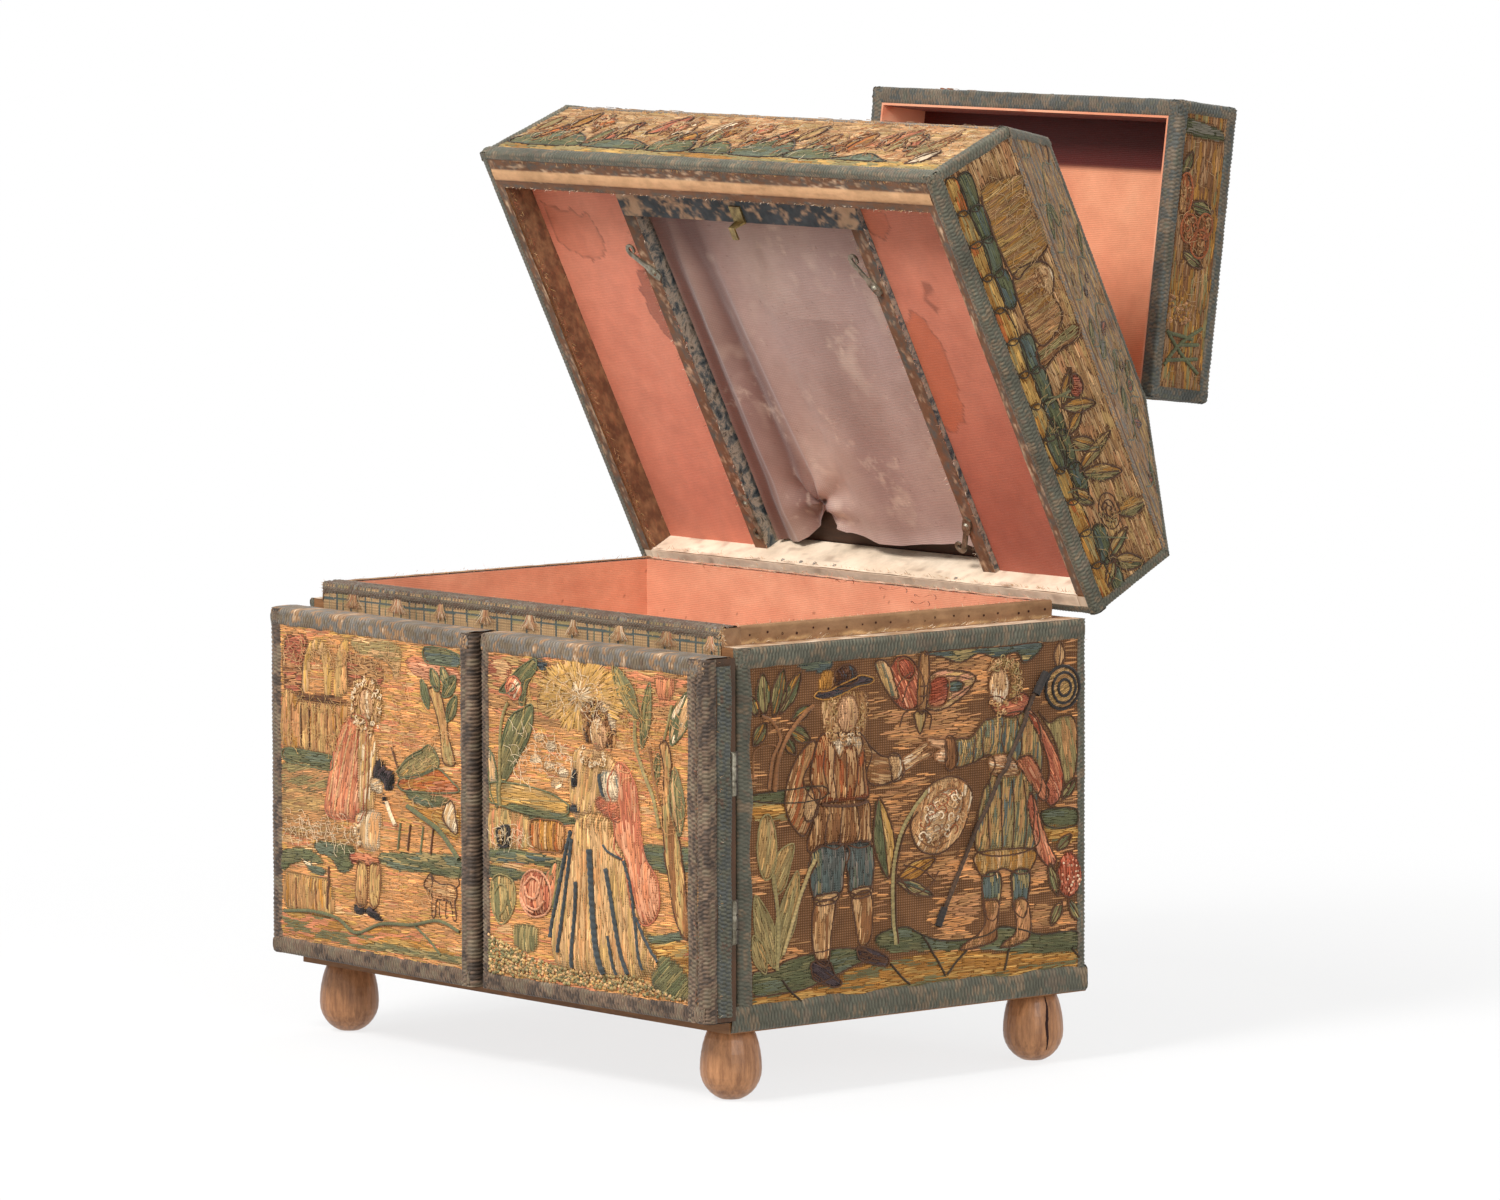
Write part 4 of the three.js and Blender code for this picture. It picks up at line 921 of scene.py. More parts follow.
def metal_material(name, light, dark, rough, metal):
    """Old metal, dull in spots."""
    m, nt, b = node_material(name, rough, metal)
    n = Net(nt)
    vec = n.coords()
    g = n.noise(vec, 260, 5, 0.7)
    n.link(n.ramp(g, [(0.35, lin(dark)), (0.62, lin(light))]), b.inputs["Base Color"])
    n.link(n.bump(g, 0.35, 0.0003), b.inputs["Normal"])
    return m


BRASS = metal_material("aged_brass", "#a58f5e", "#5a4a30", 0.42, 0.8)
STEEL = metal_material("dull_steel", "#a39c8a", "#5c5547", 0.42, 0.75)
IRON = metal_material("dark_iron", "#5c544c", "#2a2522", 0.55, 0.7)


def paint(material, *nodes):
    """Give the CAD's own solids a material."""
    for name in nodes:
        obj = bpy.data.objects[name]
        obj.data.materials.clear()
        obj.data.materials.append(material)


paint(FOOT_WOOD, *[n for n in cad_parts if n.startswith("foot")])
paint(BOARD_WOOD, "base_board", "side_board_left", "side_board_right", "back_board", "left_door",
      "right_door", "lid_left_wall", "lid_right_wall", "lid_front_cant", "lid_back_cant", "lid_left_cant",
      "lid_right_cant", "drawer_partitions", "drawer_bottom", "drawer_middle_left", "drawer_middle_right",
      "drawer_upper_left", "drawer_upper_right", "front_rail")
paint(PALE_WOOD, "lid_front_wall")
paint(PINK_SILK, "compartment_tray", "top_tray", "top_lid", "ceiling_panel_left", "ceiling_panel_right")
paint(MARBLED, "recess_frame")
paint(CREAM_PAPER, "lid_back_wall")
# painted shadow: the recess's back board near-black, for the dark gap below the lavender sheet's hem
paint(RECESS_SHADOW_WOOD, "recess_back")
paint(LAVENDER, "recess_lining_sheet")
paint(STEEL, *[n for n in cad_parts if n.startswith("turn_hook")])
paint(BRASS, "recess_catch")
paint(IRON, *[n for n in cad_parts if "hinge" in n], "lock_case", "lock_bolt", "bolt_keeper")


# The right side: two figures that greet
def side_design(p):
    p.shape("98,141 120,141.5 140,141 162,141 158,135.5 152,134 148,138 138,136.5 128,139 118,136 108,139",
            "teal blue khaki", 0, 0.4, "umber", 0.26)
    p.shape("32,141 50,141.5 48,138 42,137.5 36,138.5", "blue teal", 0, 0.4)
    p.shape("8,90.5 20,91 43,91.5 43,86.5 25,86 8,88", "green moss", 0, 0.5, "dark", 0.3)
    p.shape("8,87.5 25,85.5 43,86 43,80 20,79 8,81", "ochre gold olive", 0, 0.35)
    p.shape("162,71.5 172,72.5 181,71 181,65 172,64 164,66", "green teal", 0, 0.5, "dark", 0.3)
    p.shape("164,65.5 181,64 181,58 170,57.5 165,61", "ochre gold moss", 0, 0.4)
    # the ground
    p.shape("8,4.5 181,4.5 181,15 160,16 140,15 120,18 100,18.5 80,17 60,16 50,12 30,9 8,9",
            "ochre gold ochre moss", 0, 0.5)
    p.shape("8,19 18,18.5 24,22 36,24 50,25 62,24 70,20 60,17 50,14 34,10 22,9.5 8,10",
            "green moss teal green", 4, 0.9, "umber", 0.3)
    p.shape("72,26 76,29.5 88,30.5 96,27 104,24 116,22.5 128,23 140,26 150,24 162,21 181,20.5 181,13 165,13 "
            "150,14.5 130,17.5 110,19 95,20 80,21", "green moss green teal", -3, 0.9, "dark", 0.35)
    for c in ("22,15 27,10 33,5", "80,16 86,10 90,7", "97,26 103,18 109,9", "110,9 115,14 121,18",
              "144,17 141,8", "178,14 184,8"):
        p.cord(c, "dark", 0.5)
    # upper left branch
    p.cord("19,91 21,104 26,113 34,121 39,124", "brown", 0.9)
    p.cord("16,92 18,104 22,112 18,119 12,122", "brown", 0.7)
    for a in ((14, 122, 13, 139, 8), (19, 121, 24, 140, 7.5), (22, 122, 33, 138, 7), (15, 119, 8, 110, 6.5),
              (27, 116, 38, 110, 6.5), (28, 119, 39, 124, 5.5), (10, 122, 7, 130, 5), (25, 112, 30, 105, 5)):
        p.leaf(*a, "moss ochre green olive", "umber", 0.7)
    p.cord("8,97 9,108 20,109 19,98 18,92", "brown", 0.35)
    # lower left lily
    p.leaf(19, 20, 9, 50, 10, "khaki olive khaki", "olive", 0.7)
    p.leaf(20, 22, 31, 58, 10, "khaki olive straw", "olive", 0.7)
    p.leaf(14, 18, 8, 34, 7, "khaki straw", "olive", 0.6)
    p.shape("11,62 10,70 12,80 16,82 19,76 20,66 18,58 14,56", "straw khaki cream", 80, 0.8, "olive")
    p.shape("18,60 22,67 29,69 27,60 24,52 19,50", "straw khaki", 60, 0.7, "olive")
    p.cord("20,19 20.5,40 18,58", "olive", 0.8)
    # central plant and blossom
    p.cord("82,24 81,45 82,58 86,70 93,79 99,85", "olive", 0.8)
    p.cord("83.6,24 82.8,45 83.8,57 87.6,69 94,77", "umber", 0.35)
    p.leaf(79, 51, 74, 84, 11, "gold straw", "umber", 0.8, side="green moss")
    p.leaf(84, 50, 104, 57, 7, "ochre gold", "umber", 0.6)
    p.leaf(83, 50, 103, 42, 5, "teal khaki", "umber", 0.5)
    p.cord("87,56 97,53 104,48", "umber", 0.3)
    p.cord("84,52 92,44 101,46 106,52", "umber", 0.3)
    p.shape("91,70 93,79 98,85 104,88.5 112,90 119,88 124,82 122,74 118,66 110,60 102,59 95,62",
            "cream sand white", 70, 1.6, "umber", 0.34)
    p.shape("97,68 100,79 106,84 114,85 118,79 115,72 108,66 101,64", "white cream sand", 20, 2.3, "brown",
            0.45)
    for c in ("99,71 103,77 108,76 106,70 101,68", "104,79 110,82 115,79 111,75", "95,74 98,82 103,86",
              "93,68 97,64 103,62 110,64", "121,86 117,88 110,87"):
        p.cord(c, "brown", 0.3)
    p.curls("94,68 96,80 104,86 114,88 121,82 117,70 108,63 100,61", "brown tan rust", 20, 2.4, 0.24)
    p.curls("94,68 96,80 104,86 114,88 121,82 117,70 108,63 100,61", "white cream", 26, 2.0, 0.34)
    # butterfly
    p.shape("96,121 90,118.5 84,121 79,126 75,132 72,138.5 76,140 80,137 84,140.5 90,140 95,135 97,128",
            "rose salmon red pink", 118, 1.1, "umber", 0.3)
    p.shape("72,138.5 76,140 80,136.5 82,130 84,124 80,125 75,132", "cream teal straw", 112, 1.25, "umber",
            0.3)
    p.shape("84,139 89,139.5 93,135 90,131 85,133", "red rose", 120, 1.5, "brown", 0.3)
    p.shape("99,128 102,132 108,133.6 115,133 121,132 126,129.5 124,126 118,121.5 110,118 103,117.6 "
            "99,120", "cream straw pink", 6, 1.1, "umber", 0.3)
    p.shape("100,127.5 104,131 109,131 111,127 109,120 103,119 100,121", "red rose salmon", 8, 1.5,
            "brown", 0.3)
    p.shape("110,128 115,129 119,127 116,124.5 111,125", "teal blue", 8, 1.5, "umber", 0.3)
    for c in ("109,131 116,130.5 124,128.6", "110,121 117,123.5 123,126.5", "86,122 88,128 92,133",
              "82,127 85,131 90,134"):
        p.cord(c, "umber", 0.28)
    p.shape("96.5,141 100,141 101,131 99.5,121 96.5,116.5 94,122 94.5,131", "tan brown ochre", 86, 1.9,
            "umber", 0.35)
    p.shape("93,117 99,117 96,108.5", "straw khaki", 90, 1.0, "umber", 0.35)
    for c in ("92,119 87,117 85,112", "99,118 102,115 101,110", "95,128 99,128", "95,124 99,124"):
        p.cord(c, "umber", 0.35)
    # left figure
    p.shape("40,110 32,105 26,95 24.5,85 28,77 34,72 38,77 41,84 37,88 34,95 39,103",
            "tan rust cream brown", 70, 1.6, "umber", 0.34)
    p.shape("36,89 33,83 35,78 40,79 42,86 40,91", "cream tan", 80, 1.0, "umber")
    p.shape("44,112 40,105 38,95 43,84 67,84 67,95 69,104 64,111 54,112", "rust tan brown cream", 90, 2.2,
            "umber", 0.34)
    p.shape("43,84 39,76 36,68 38,65 44,67 50,65.5 56,67 62,65 69.5,66.5 69,74 67,84",
            "brown tan cream brown", 88, 1.9, "umber", 0.34)
    p.cord("43,84 50,83 60,82.6 67,83.5", "umber", 0.6, lift=0.5)
    for c in ("49,108 48,96 50,86", "60,106 61,96 59,86", "55,104 55,96 55,86", "46,80 44,72 45,67",
              "53,82 52,74 52,67", "61,82 62,74 61,67", "44,106 43,98 46,88", "65,104 64,96 65,87"):
        p.cord(c, "umber", 0.26, lift=0.3)
    p.shape("64,110 70,105 76,101 84,100.5 86,97 85,93 80,90 72,89.5 68,92 66,98", "tan brown cream", -8,
            1.9, "umber", 0.34)
    p.shape("79,100.5 84.5,101 87,92.5 81,90.5", "cream white", 80, 2.0, "umber")
    p.shape("86,98.5 92,101.5 99,105 101,104 97,101 102,100.5 102,99 96,97.5 90,94.5 86.5,93.5",
            "skin white cream", 15, 1.6, "brown")
    p.cord("90,98 100,102", "brown", 0.25, lift=0.6)
    p.shape("39,65.5 39.5,46.5 53,47 55,54 56.5,66", "blue slate grey teal khaki", 90, 1.7, "umber")
    p.shape("56,66 57.5,54 59,47 69.5,48 70,65.5", "slate blue grey teal", 90, 1.7, "umber")
    p.shape("40.5,47 52,47.5 51,44 41,43.5", "cream straw", 0, 1.2, "umber")
    p.shape("59.5,48 69.5,48.5 69.5,45.5 60.5,44.5", "cream straw", 0, 1.2, "umber")
    p.shape("40.5,44 50.5,44 49,34 46.5,20 41,20 38.5,32", "tan cream brown", 88, 1.5, "umber")
    p.shape("60,45 69.5,46 69.5,28 64,25 61.5,34", "tan cream brown", 88, 1.5, "umber")
    p.shape("38,20.5 46.5,20.5 50,15 54,11 50,9.5 40,13 38,16", "plum umber plum", -30, 1.5, "umber")
    p.shape("63,24.5 72,22.5 79,18.5 78,15.5 70,17 63,20", "plum umber", -15, 1.5, "umber")
    p.cord("39,62 30,44 22.5,25", "khaki", 0.8, lift=0.4)
    p.cord("40,61.4 31,43.6 23.6,25", "umber", 0.4, lift=0.4)
    # his head: a calm, plain face with a short beard, under a hat
    p.shape("46,127 44.5,119 46,111 50,108 64,108 67,113 67.5,121 66,128", "tan cream straw", 84, 1.2)
    p.head(57, 119.5, 5.6, 8)
    p.curls("45.5,127 44.5,117 47,109 51.5,111 50.5,119 51.5,127", "cream tan straw brown", 26, 1.1)
    p.curls("63,127 62.6,119 61.5,111 66.5,112 68,120 67,127", "cream tan straw brown", 22, 1.1)
    p.curls("51.5,113.4 57,111.6 62.5,113.4 61,108 57,105.6 53,108", "white cream tan", 22, 0.9, 0.3, 0.9)
    p.shape("48,109 52,102 55,107 57,106 59,107 62,102 65,109 60,110.5 53,110.5", "white cream", 90, 2.6,
            "brown")
    p.shape("40,127.5 46,126 54,127.5 62,130 70,131 71,133 64,134.5 56,132.5 48,129.5 42,129.5",
            "navy umber plum slate", 8, 2.3, "ochre", 0.34)
    p.shape("51,131.5 51.5,137 56,139.5 61,138 62,133", "umber navy plum", 90, 2.9, "umber")
    p.shape("43,130 44,137 49,137.5 50,131", "ochre tan", 90, 1.4)
    # right figure
    p.shape("134,112 130,111 123,105 115,104.5 115,94 124,94.5 134,97 134,88 129,80 127,58 157,57 158.5,70 "
            "160,82 162,95 158,110 148,114", "khaki teal straw tan blue khaki", 84, 2.0, "umber", 0.36)
    for c in ("133,86 131,72 132,59", "138,86 138,72 139,58", "144,86 145,72 144,58", "150,86 152,72 151,58",
              "155,84 156,72 156,60", "130,109 128,102 130,96", "125,105 123,100 124,95",
              "140,112 138,104 140,97", "147,112 149,102 148,95"):
        p.cord(c, "umber", 0.26, lift=0.3)
    p.shape("109.5,105.5 114.5,105 115,94 110,93.5", "brown straw cream", 90, 2.2, "umber")
    p.shape("100,106.5 108,105.5 110,104.5 110,96 104,97.5 104,100 107,101.5 101,103.5", "skin white", -6,
            1.6, "brown")
    p.shape("152,115.5 158,112 164,104 170,95 173.5,86 172,77 167,73.5 163,79 166,88 163,98 156,108",
            "rose salmon red pink", 115, 1.9, "umber", 0.34)
    p.shape("147,93.5 154,95.5 160,89 165,80 163,76 156,82 151,88", "salmon red pink", 125, 2.2, "umber")
    p.shape("154,80 158,76 162,66 166,57 170,51 166,48.5 160,54 156,63 153,74", "rose salmon pink", 110,
            1.6, "umber")
    p.shape("133,120 137,114 144,112 152,114 155,119 150,121.5 143,118.5 137,121", "rose salmon tan", 10,
            2.3, "umber")
    p.shape("133,95.5 140,97 146,94 148,88.5 139,88 134,90", "skin white cream", -10, 2.4, "brown")
    for c in ("135,93.6 144,94.2", "135,91.6 145,92", "136,89.8 146,90"):
        p.cord(c, "brown", 0.25, lift=0.5)
    p.shape("127,57.5 157,56.5 156,48.5 150,47 145,48.5 140,50 134,47.5 128,49", "straw ochre cream", 90,
            1.5, "umber")
    p.shape("130,48 139,48 139,37 136,30 132,30 130,38", "teal blue khaki cream", 90, 1.4, "umber")
    p.shape("146,48 155,47.5 154,36 151,29 147,32 146,38", "teal blue khaki cream", 90, 1.4, "umber")
    p.shape("130,37 138,36.5 137,25 136,21 128,19 118,18.5 119,20.5 127,24 131,29", "tan warm brown", 75,
            1.6, "umber")
    p.shape("147,36 154,35 155.5,22 148,18 140,17.5 141,19.5 148,24", "tan warm brown", 80, 1.6, "umber")
    p.head(138.6, 125, 5.4, 7.6)
    p.shape("132,131 136,135.5 142,136.5 148,134.5 150.5,128 149.5,121 146,117.5 144,121 145.5,127 143,131 "
            "138,132.5", "straw khaki cream", 30, 1.8, "brown", 0.25)
    p.curls("132,131 136,136 142,137 149,134 151,127 150,120 146,117 144,121 145,127 143,131 138,132.5",
            "straw tan khaki cream brown", 44, 1.2)
    p.curls("133.6,119.4 138.4,117.4 143,119.4 141.6,114.4 138,112.6 134.8,115", "cream straw tan", 18,
            0.9, 0.3, 0.9)
    p.cord("162,128.5 157,121 135,85 116,51 105,30", "staff", 0.9, lift=1.0, twist=2.6)
    p.cord("162.5,129 157,120.5", "ink", 1.7, lift=1.2)
    p.cord("108,37 104.5,29.5", "ink", 1.5, lift=0.6)
    # snail flower, red berry and plants at the right
    p.shape([(173 + 9.2 * math.cos(a), 122 + 8.8 * math.sin(a)) for a in np.arange(0, 6.28, 0.5)],
            "straw cream tan", 20, 1.5, "ink", 0.7)
    for r in (6.3, 3.4):
        p.cord([(173 + r * math.cos(a), 122 + r * math.sin(a)) for a in np.arange(0, 6.28, 0.5)], "ink",
               0.6, closed=True)
    p.leaf(171, 130, 172, 141, 6, "cream tan", "umber", 0.7)
    p.shape("160,113 166,108 172,110 180,108 181,90 176,80 172,92 168,102", "khaki olive tan", 100, 0.7,
            "umber", 0.3)
    p.shape("172,50 176,54 181,51 185,44 182,38 177,35 172,38 170,44", "red rose pink", 90, 1.9, "umber")
    p.knots("172,50 176,53 181,50 183,44 181,39 177,36.5 172.5,39 171,44", "pink rose white", 0.12, 0.6, 1.2)
    for a in ((171, 36, 166, 50, 5), (173, 34, 167, 24, 5), (177, 34, 184, 24, 5), (170, 55, 178, 61, 5)):
        p.leaf(*a, "moss olive teal", "umber", 0.7)
    p.leaf(173, 76, 181, 84, 5, "moss olive", "umber", 0.6)


carcass = Geo()
SIDE_TONE, DOOR_TONE, LID_TONE = (1.17, 1.10, 1.05), (1.24, 1.16, 1.06), (0.93, 0.91, 0.89)
X, Y, Z = np.eye(3)


def carcass_panel(x, y, along, width, seed, under, *designs):
    """One side of the carcass, worked with one or more designs."""
    panel = Panel(carcass, "casket", (x, y, BASE_TOP), along, Z, width, CARCASS_H,
                  "amber sand warm tan amber", angle=0, cover=0.42, seed=seed, under=under, tone=SIDE_TONE)
    for design in designs:
        design(panel)
    panel.finish()


def back_more(p):
    """What the wide back has beside the side's design: a tree, a rose and a lily."""
    p.shape("181,4.5 276,4.5 276,16 250,19 225,15 200,18 181,15", "ochre gold moss", 0, 0.5)
    p.shape("184,20 205,27 230,23 250,28 276,22 276,14 240,17 210,16 186,14", "green moss teal", 2, 0.9,
            "umber")
    p.shape("222,24 231,24 230,52 233,86 228,88 224,86 226,52", "brown tan umber", 90, 1.2, "umber")
    for k in range(15):
        a = k * 2.4
        x, y = 228 + (8 + k * 1.5) * math.cos(a), 104 + (6 + k * 1.15) * math.sin(a)
        p.leaf(x, y, x + 11 * math.cos(a), y + 11 * math.sin(a), 7, ("moss green", "olive khaki")[k % 2],
               "umber", 0.8, side="ochre straw" if k % 3 == 0 else None)
    for x, y in ((214, 108), (240, 112), (228, 124), (206, 92), (252, 96)):
        p.shape(ring(x, y, 4.4), "rose salmon orange", 30, 1.7, "umber")
        p.curls(ring(x, y, 3), "pink cream", 5, 1.2, 0.25)
    p.shape("190,58 197,66 207,68 214,62 210,54 200,50 192,52", "rose salmon pink", 20, 1.4, "umber")
    p.cord("203,52 205,38 202,24", "olive", 0.8)
    p.leaf(204, 30, 192, 42, 7, "moss khaki", "umber", 0.8)
    p.leaf(204, 32, 216, 42, 7, "olive khaki", "umber", 0.8)
    p.shape("250,52 256,60 262,56 268,60 274,52 268,44 258,42", "cream straw sand", 70, 1.5, "umber")
    p.cord("262,44 260,34 262,26", "olive", 0.8)
    p.leaf(261, 30, 250, 38, 6, "green moss", "umber", 0.8)
    p.shape("188,141 240,141 276,140 274,134 256,137 236,133 214,137 194,134", "teal blue khaki", 0, 0.4,
            "umber")


carcass_panel(HALF, 0, Y, DEPTH, 3, (6, 4.5, 2.4, 7), side_design)
carcass_panel(-HALF, DEPTH, -Y, DEPTH, 4, (2.4, 4.5, 6, 7), side_design)
carcass_panel(HALF, DEPTH, -X, 2 * HALF, 5, (5.5, 4.5, 5.5, 7), side_design, back_more)
SKIRT_Z, SKIRT_OUT = BASE_TOP - 4.2, 0.9  # the braid that hangs over the base board's edge
for x, nx in ((HALF, X), (-HALF, -X)):
    low = x + nx[0] * SKIRT_OUT
    welt(carcass, "casket", (x, 0, BASE_TOP), (x, 0, LEDGE), nx, 7.6, -Y, 2.2, thick=1.1, thick2=0.35,
         wave=0.9, seed=int(x) % 7)
    welt(carcass, "casket", (x, DEPTH, BASE_TOP), (x, DEPTH, LEDGE), nx, 3.6, Y, 7.0, thick=1.1,
         seed=int(x) % 5)
    welt(carcass, "casket", (x, 0, LEDGE), (x, DEPTH, LEDGE), nx, 8.6, Z, 0.8, thick=1.1, thick2=0.15,
         seed=2)
    welt(carcass, "casket", (low, -4.5, SKIRT_Z), (low, DEPTH + SKIRT_OUT, SKIRT_Z), nx, 10.4, -Z, 1.5,
         thick=1.0, thick2=0.1, seed=3, wave=0.5)
    for a, b, count, colors in (
            ((x, 2, BASE_TOP + 6.8), (x, DEPTH - 4, BASE_TOP + 6.8), 70, "cream tan brown"),
            ((x, 7.4, BASE_TOP), (x, 7.4, LEDGE), 70, "cream sand brown"),
            ((x, 4, LEDGE - 8.4), (x, DEPTH, LEDGE - 8.4), 60, "cream sand teal")):
        fuzz(carcass, "casket", a, b, nx, count, colors, 2)
welt(carcass, "casket", (-HALF, DEPTH, LEDGE), (HALF, DEPTH, LEDGE), Y, 8.6, Z, 0.8, thick=1.0,
     thick2=0.15, seed=5)
welt(carcass, "casket", (-HALF - SKIRT_OUT, DEPTH + SKIRT_OUT, SKIRT_Z),
     (HALF + SKIRT_OUT, DEPTH + SKIRT_OUT, SKIRT_Z), Y, 10.4, -Z, 1.5, thick2=0.1, seed=6)
cover = carcass.object("carcass_embroidery", CLOTHS, "casket", "embroidery")
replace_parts(cover, "carcass_cover")


# The doors
def right_door_design(p):
    p.shape("3,136 40,137 80,137 129,137 129,120 100,118 60,112 20,112 3,118", "tan salmon straw", 0, 0.2)
    p.shape(ring(62, 124.5, 26, 14, 26) + np.tile([[0, 0], [2.4, 1.4]], (13, 1)), "gold straw cream gold",
            0, 0.6, cover=0.35, centre=(63, 125))
    p.shape(ring(63, 125, 7, 5.5), "white cream", 0, 1.2, cover=0, centre=(63, 125))
    p.shape("31,137.5 36,138 42,136.5 40,133.5 35,133.5 32,135", "navy blue", 0, 0.8)
    p.shape("11,123 18,129 25,134 34,138 35,134 29,127 27,119 24,119 25,127 18,123", "moss green olive",
            45, 0.9, "green", 0.3)
    p.shape(ring(20.5, 125, 4.8), "salmon white pink", 60, 1.5, "rose", 0.35)
    p.cord(ring(20.5, 125, 2.3), "rose", 0.3, closed=True)
    p.shape("11,90 12,100 15,109 20,114.5 26,117 32,119 31.5,110 28,103 23,97 17,89 13,86",
            "moss olive green", 60, 1.0, "green")
    p.cord("11.5,76 11.5,100 13,112 17,119", "olive", 0.7)
    p.shape("3,98 6,97 9,89 10,77 8,76 4,86", "white green cream", 95, 0.9, "green", 0.3)
    p.shape(ring(11, 132, 8, 4), "salmon rose cream", 0, 0.7)
    for x, y in ((36, 106), (44, 103), (34, 97), (42, 95), (47, 88), (51, 93)):
        p.shape(ring(x, y, 3.4, 2.2), "white cream", 20, 1.0)
    p.shape("4,84.5 20,86 40,84.5 50,82 56,79 50,75 30,74.5 10,76.5 4,77.5", "gold straw khaki gold", 2,
            0.7, "green", 0.35)
    p.shape("18,77.5 34,77 58,75.5 57,72.3 36,72 14,74", "green moss teal", 2, 0.9)
    p.shape("4,73 18,75 30,72 30,61 18,59 4,56", "straw khaki tan salmon", 90, 0.6)
    p.shape("31,71.5 40,73 51,72 51,62 44,60 32,61", "ochre orange sand", 90, 1.0, "brown", 0.3)
    p.cord("36,71 36,61", "brown", 0.3)
    p.cord("41,72 41,61", "cream", 0.5)
    p.cord("46,72 46,61", "brown", 0.3)
    p.shape("4,57.5 20,59 40,58.5 53,57.5 51,53.5 30,54 10,52.5 4,53", "teal green khaki blue", 1, 0.9)
    p.shape("4,51 25,50.5 46,52.5 49,50 30,47 4,46.5", "teal green moss", 2, 0.9)
    p.shape("24,42 26,48 31,51.5 38,51 43,46 43,38 38,33.5 30,33 25,37", "rose salmon pink red", 90, 1.8,
            "pink", 0.5)
    for c in ("28,45 33,49 38,47 36,41 31,41 29,45", "30,37 36,36 41,40", "26,40 29,36 34,34.5"):
        p.cord(c, "pink", 0.5, lift=0.2)
    p.shape("5,42 7,46.5 13,48 19,45.5 20.5,38 17,31 11,27.5 6,33", "khaki straw moss", 95, 1.0, "olive")
    p.cord("8,40 12,44 16,42 15,35 11,31", "olive", 0.4)
    p.shape("20,28 32,29 35,24 32,18 22,18 19,23", "olive khaki moss", 90, 0.8)
    p.shape("44,34 49,48 52,57 46,56 40,50 43,44", "moss khaki salmon", 70, 0.6)
    # trees, hills and water on the right
    p.shape("103,69 115,68.8 130,69.5 130,61 120,58 108,59 101,63", "teal green moss", 0, 0.8)
    p.shape("100,28 110,30 120,31 130,29 130,9 112,9 103,18", "ochre gold khaki salmon", 10, 0.7)
    p.shape("113,25 124,22 130,16 130,9 112,9 106,15", "moss olive green", 40, 1.0)
    p.shape("99,31.5 110,32.5 120,35 130,37.5 130,34.5 122,31.5 112,29.5 103,28.5", "teal green", 8, 0.9)
    p.shape("112,109 114.5,100 113.5,85 114.5,70 117.5,55 121,41 127,33 130,36 128,50 126.5,62 123.5,73 "
            "119.5,83 118,93 119,103 116,111", "tan olive straw brown", 95, 1.3, "umber", 0.3)
    p.leaf(99, 119, 83, 139, 9, "olive moss khaki", "moss", 1.0)
    p.leaf(101, 107, 106, 134, 6, "olive green", "moss", 0.9)
    p.leaf(119, 110, 130, 132, 10, "white green cream", "green", 1.1)
    p.leaf(124, 74, 121, 101, 9, "cream olive moss", "moss", 1.0)
    p.leaf(109, 92, 111, 106, 4, "olive khaki", "moss", 0.8)
    p.cord("97,118 97.5,108 102,98 108,88 112,76", "olive", 0.8)
    p.cord("106,108 108,98 112,86", "brown", 0.6)
    p.cord("115,112 118,120 120,126", "olive", 0.6)
    p.shape("110,136 121,136 118,128 111,128", "salmon sand", 90, 0.7)
    # the lady
    p.shape("84,98 91,99 97,91 99,80 100.5,70 104,62 110,55 111.5,45 107.5,38 101,36 96,42 93,52 90,61 "
            "85,66 83,80", "salmon rose pink salmon", 98, 1.8, "rose", 0.3)
    p.shape("57,97 60,104 67,104 78,104 84,99 86.5,89 84,78 80,70 66,70 58,76 55.5,86", "cream straw sand",
            82, 2.0)
    p.shape("73,83 79,86.5 86,85 89,78 84,76 77,79", "salmon rose", 20, 2.3)
    p.shape("76,95 82,97 87,94 87,86 80,84.5 77,88", "white blue white", 100, 2.5)
    p.shape("57,91 59.5,95.5 63,93 61,88 58,88", "ink navy", 90, 2.4)
    p.shape("54,79.5 58,80.8 64,79.6 62,77.4 55,77.4", "navy ink", 0, 2.3)
    p.cord("77,95 78.5,90 80,86", "navy", 0.6, lift=0.4)
    p.shape("59,73 66,78 80,78 84,70 91,62 96,48 102,34 111,21 104,16 95,13 80,12.5 62,12.5 48,14 43.5,24 "
            "47,38 51,52 55,65", "straw cream sand cream", 91, 2.2, size=1.3)
    for c, r in (("57,70 54,60 49,44 45,32 44.5,25.5", 1.0), ("59,67 57,54 54,38 50,20", 0.75),
                 ("62,50 61.5,38 59.5,24 58.5,14.5", 0.8), ("71,64 72,52 73,38 75,24 78.5,14", 1.25),
                 ("81,57 84,46 87,34 90,24 94,15.5", 0.9), ("82,30 84,21 86.5,14.5", 0.65),
                 ("90.5,61 95,50 98,37 101,24 103,18", 0.6), ("98,39 103,31 111,22", 0.6),
                 ("79,66.5 82,64 90,61.5", 0.5)):
        p.cord(c, "navy", r, lift=0.1, twist=3.0)
    for c in ("66,76 65,50 62,20", "69,76 68,45 67,16", "75,60 79,40 84,26", "86,60 91,40 97,20"):
        p.cord(c, "tan", 0.3)
    p.shape("64,119 68,123 76,123.5 82,120 84.5,112 83,105 79,107 70,107 66,106 64.5,110",
            "brown tan straw", 70, 1.0)
    p.shape("71,105 77.6,105 77,101 71.6,101", "cream white", 90, 1.8)
    p.head(74.4, 110.8, 5.4, 6.8)
    p.curls("64,119 68,123.4 77,123.6 83,119 85,110 82,103 79.6,104 80.6,111 78,117.4 71,118 68.6,112 "
            "68.4,104 65,104", "brown tan staff straw brown", 48, 1.0, 0.24)
    p.shape("75,124.5 82,121.5 84.6,114.5 82.4,113 79.6,118.6 75,121", "white cream", 20, 2.4)
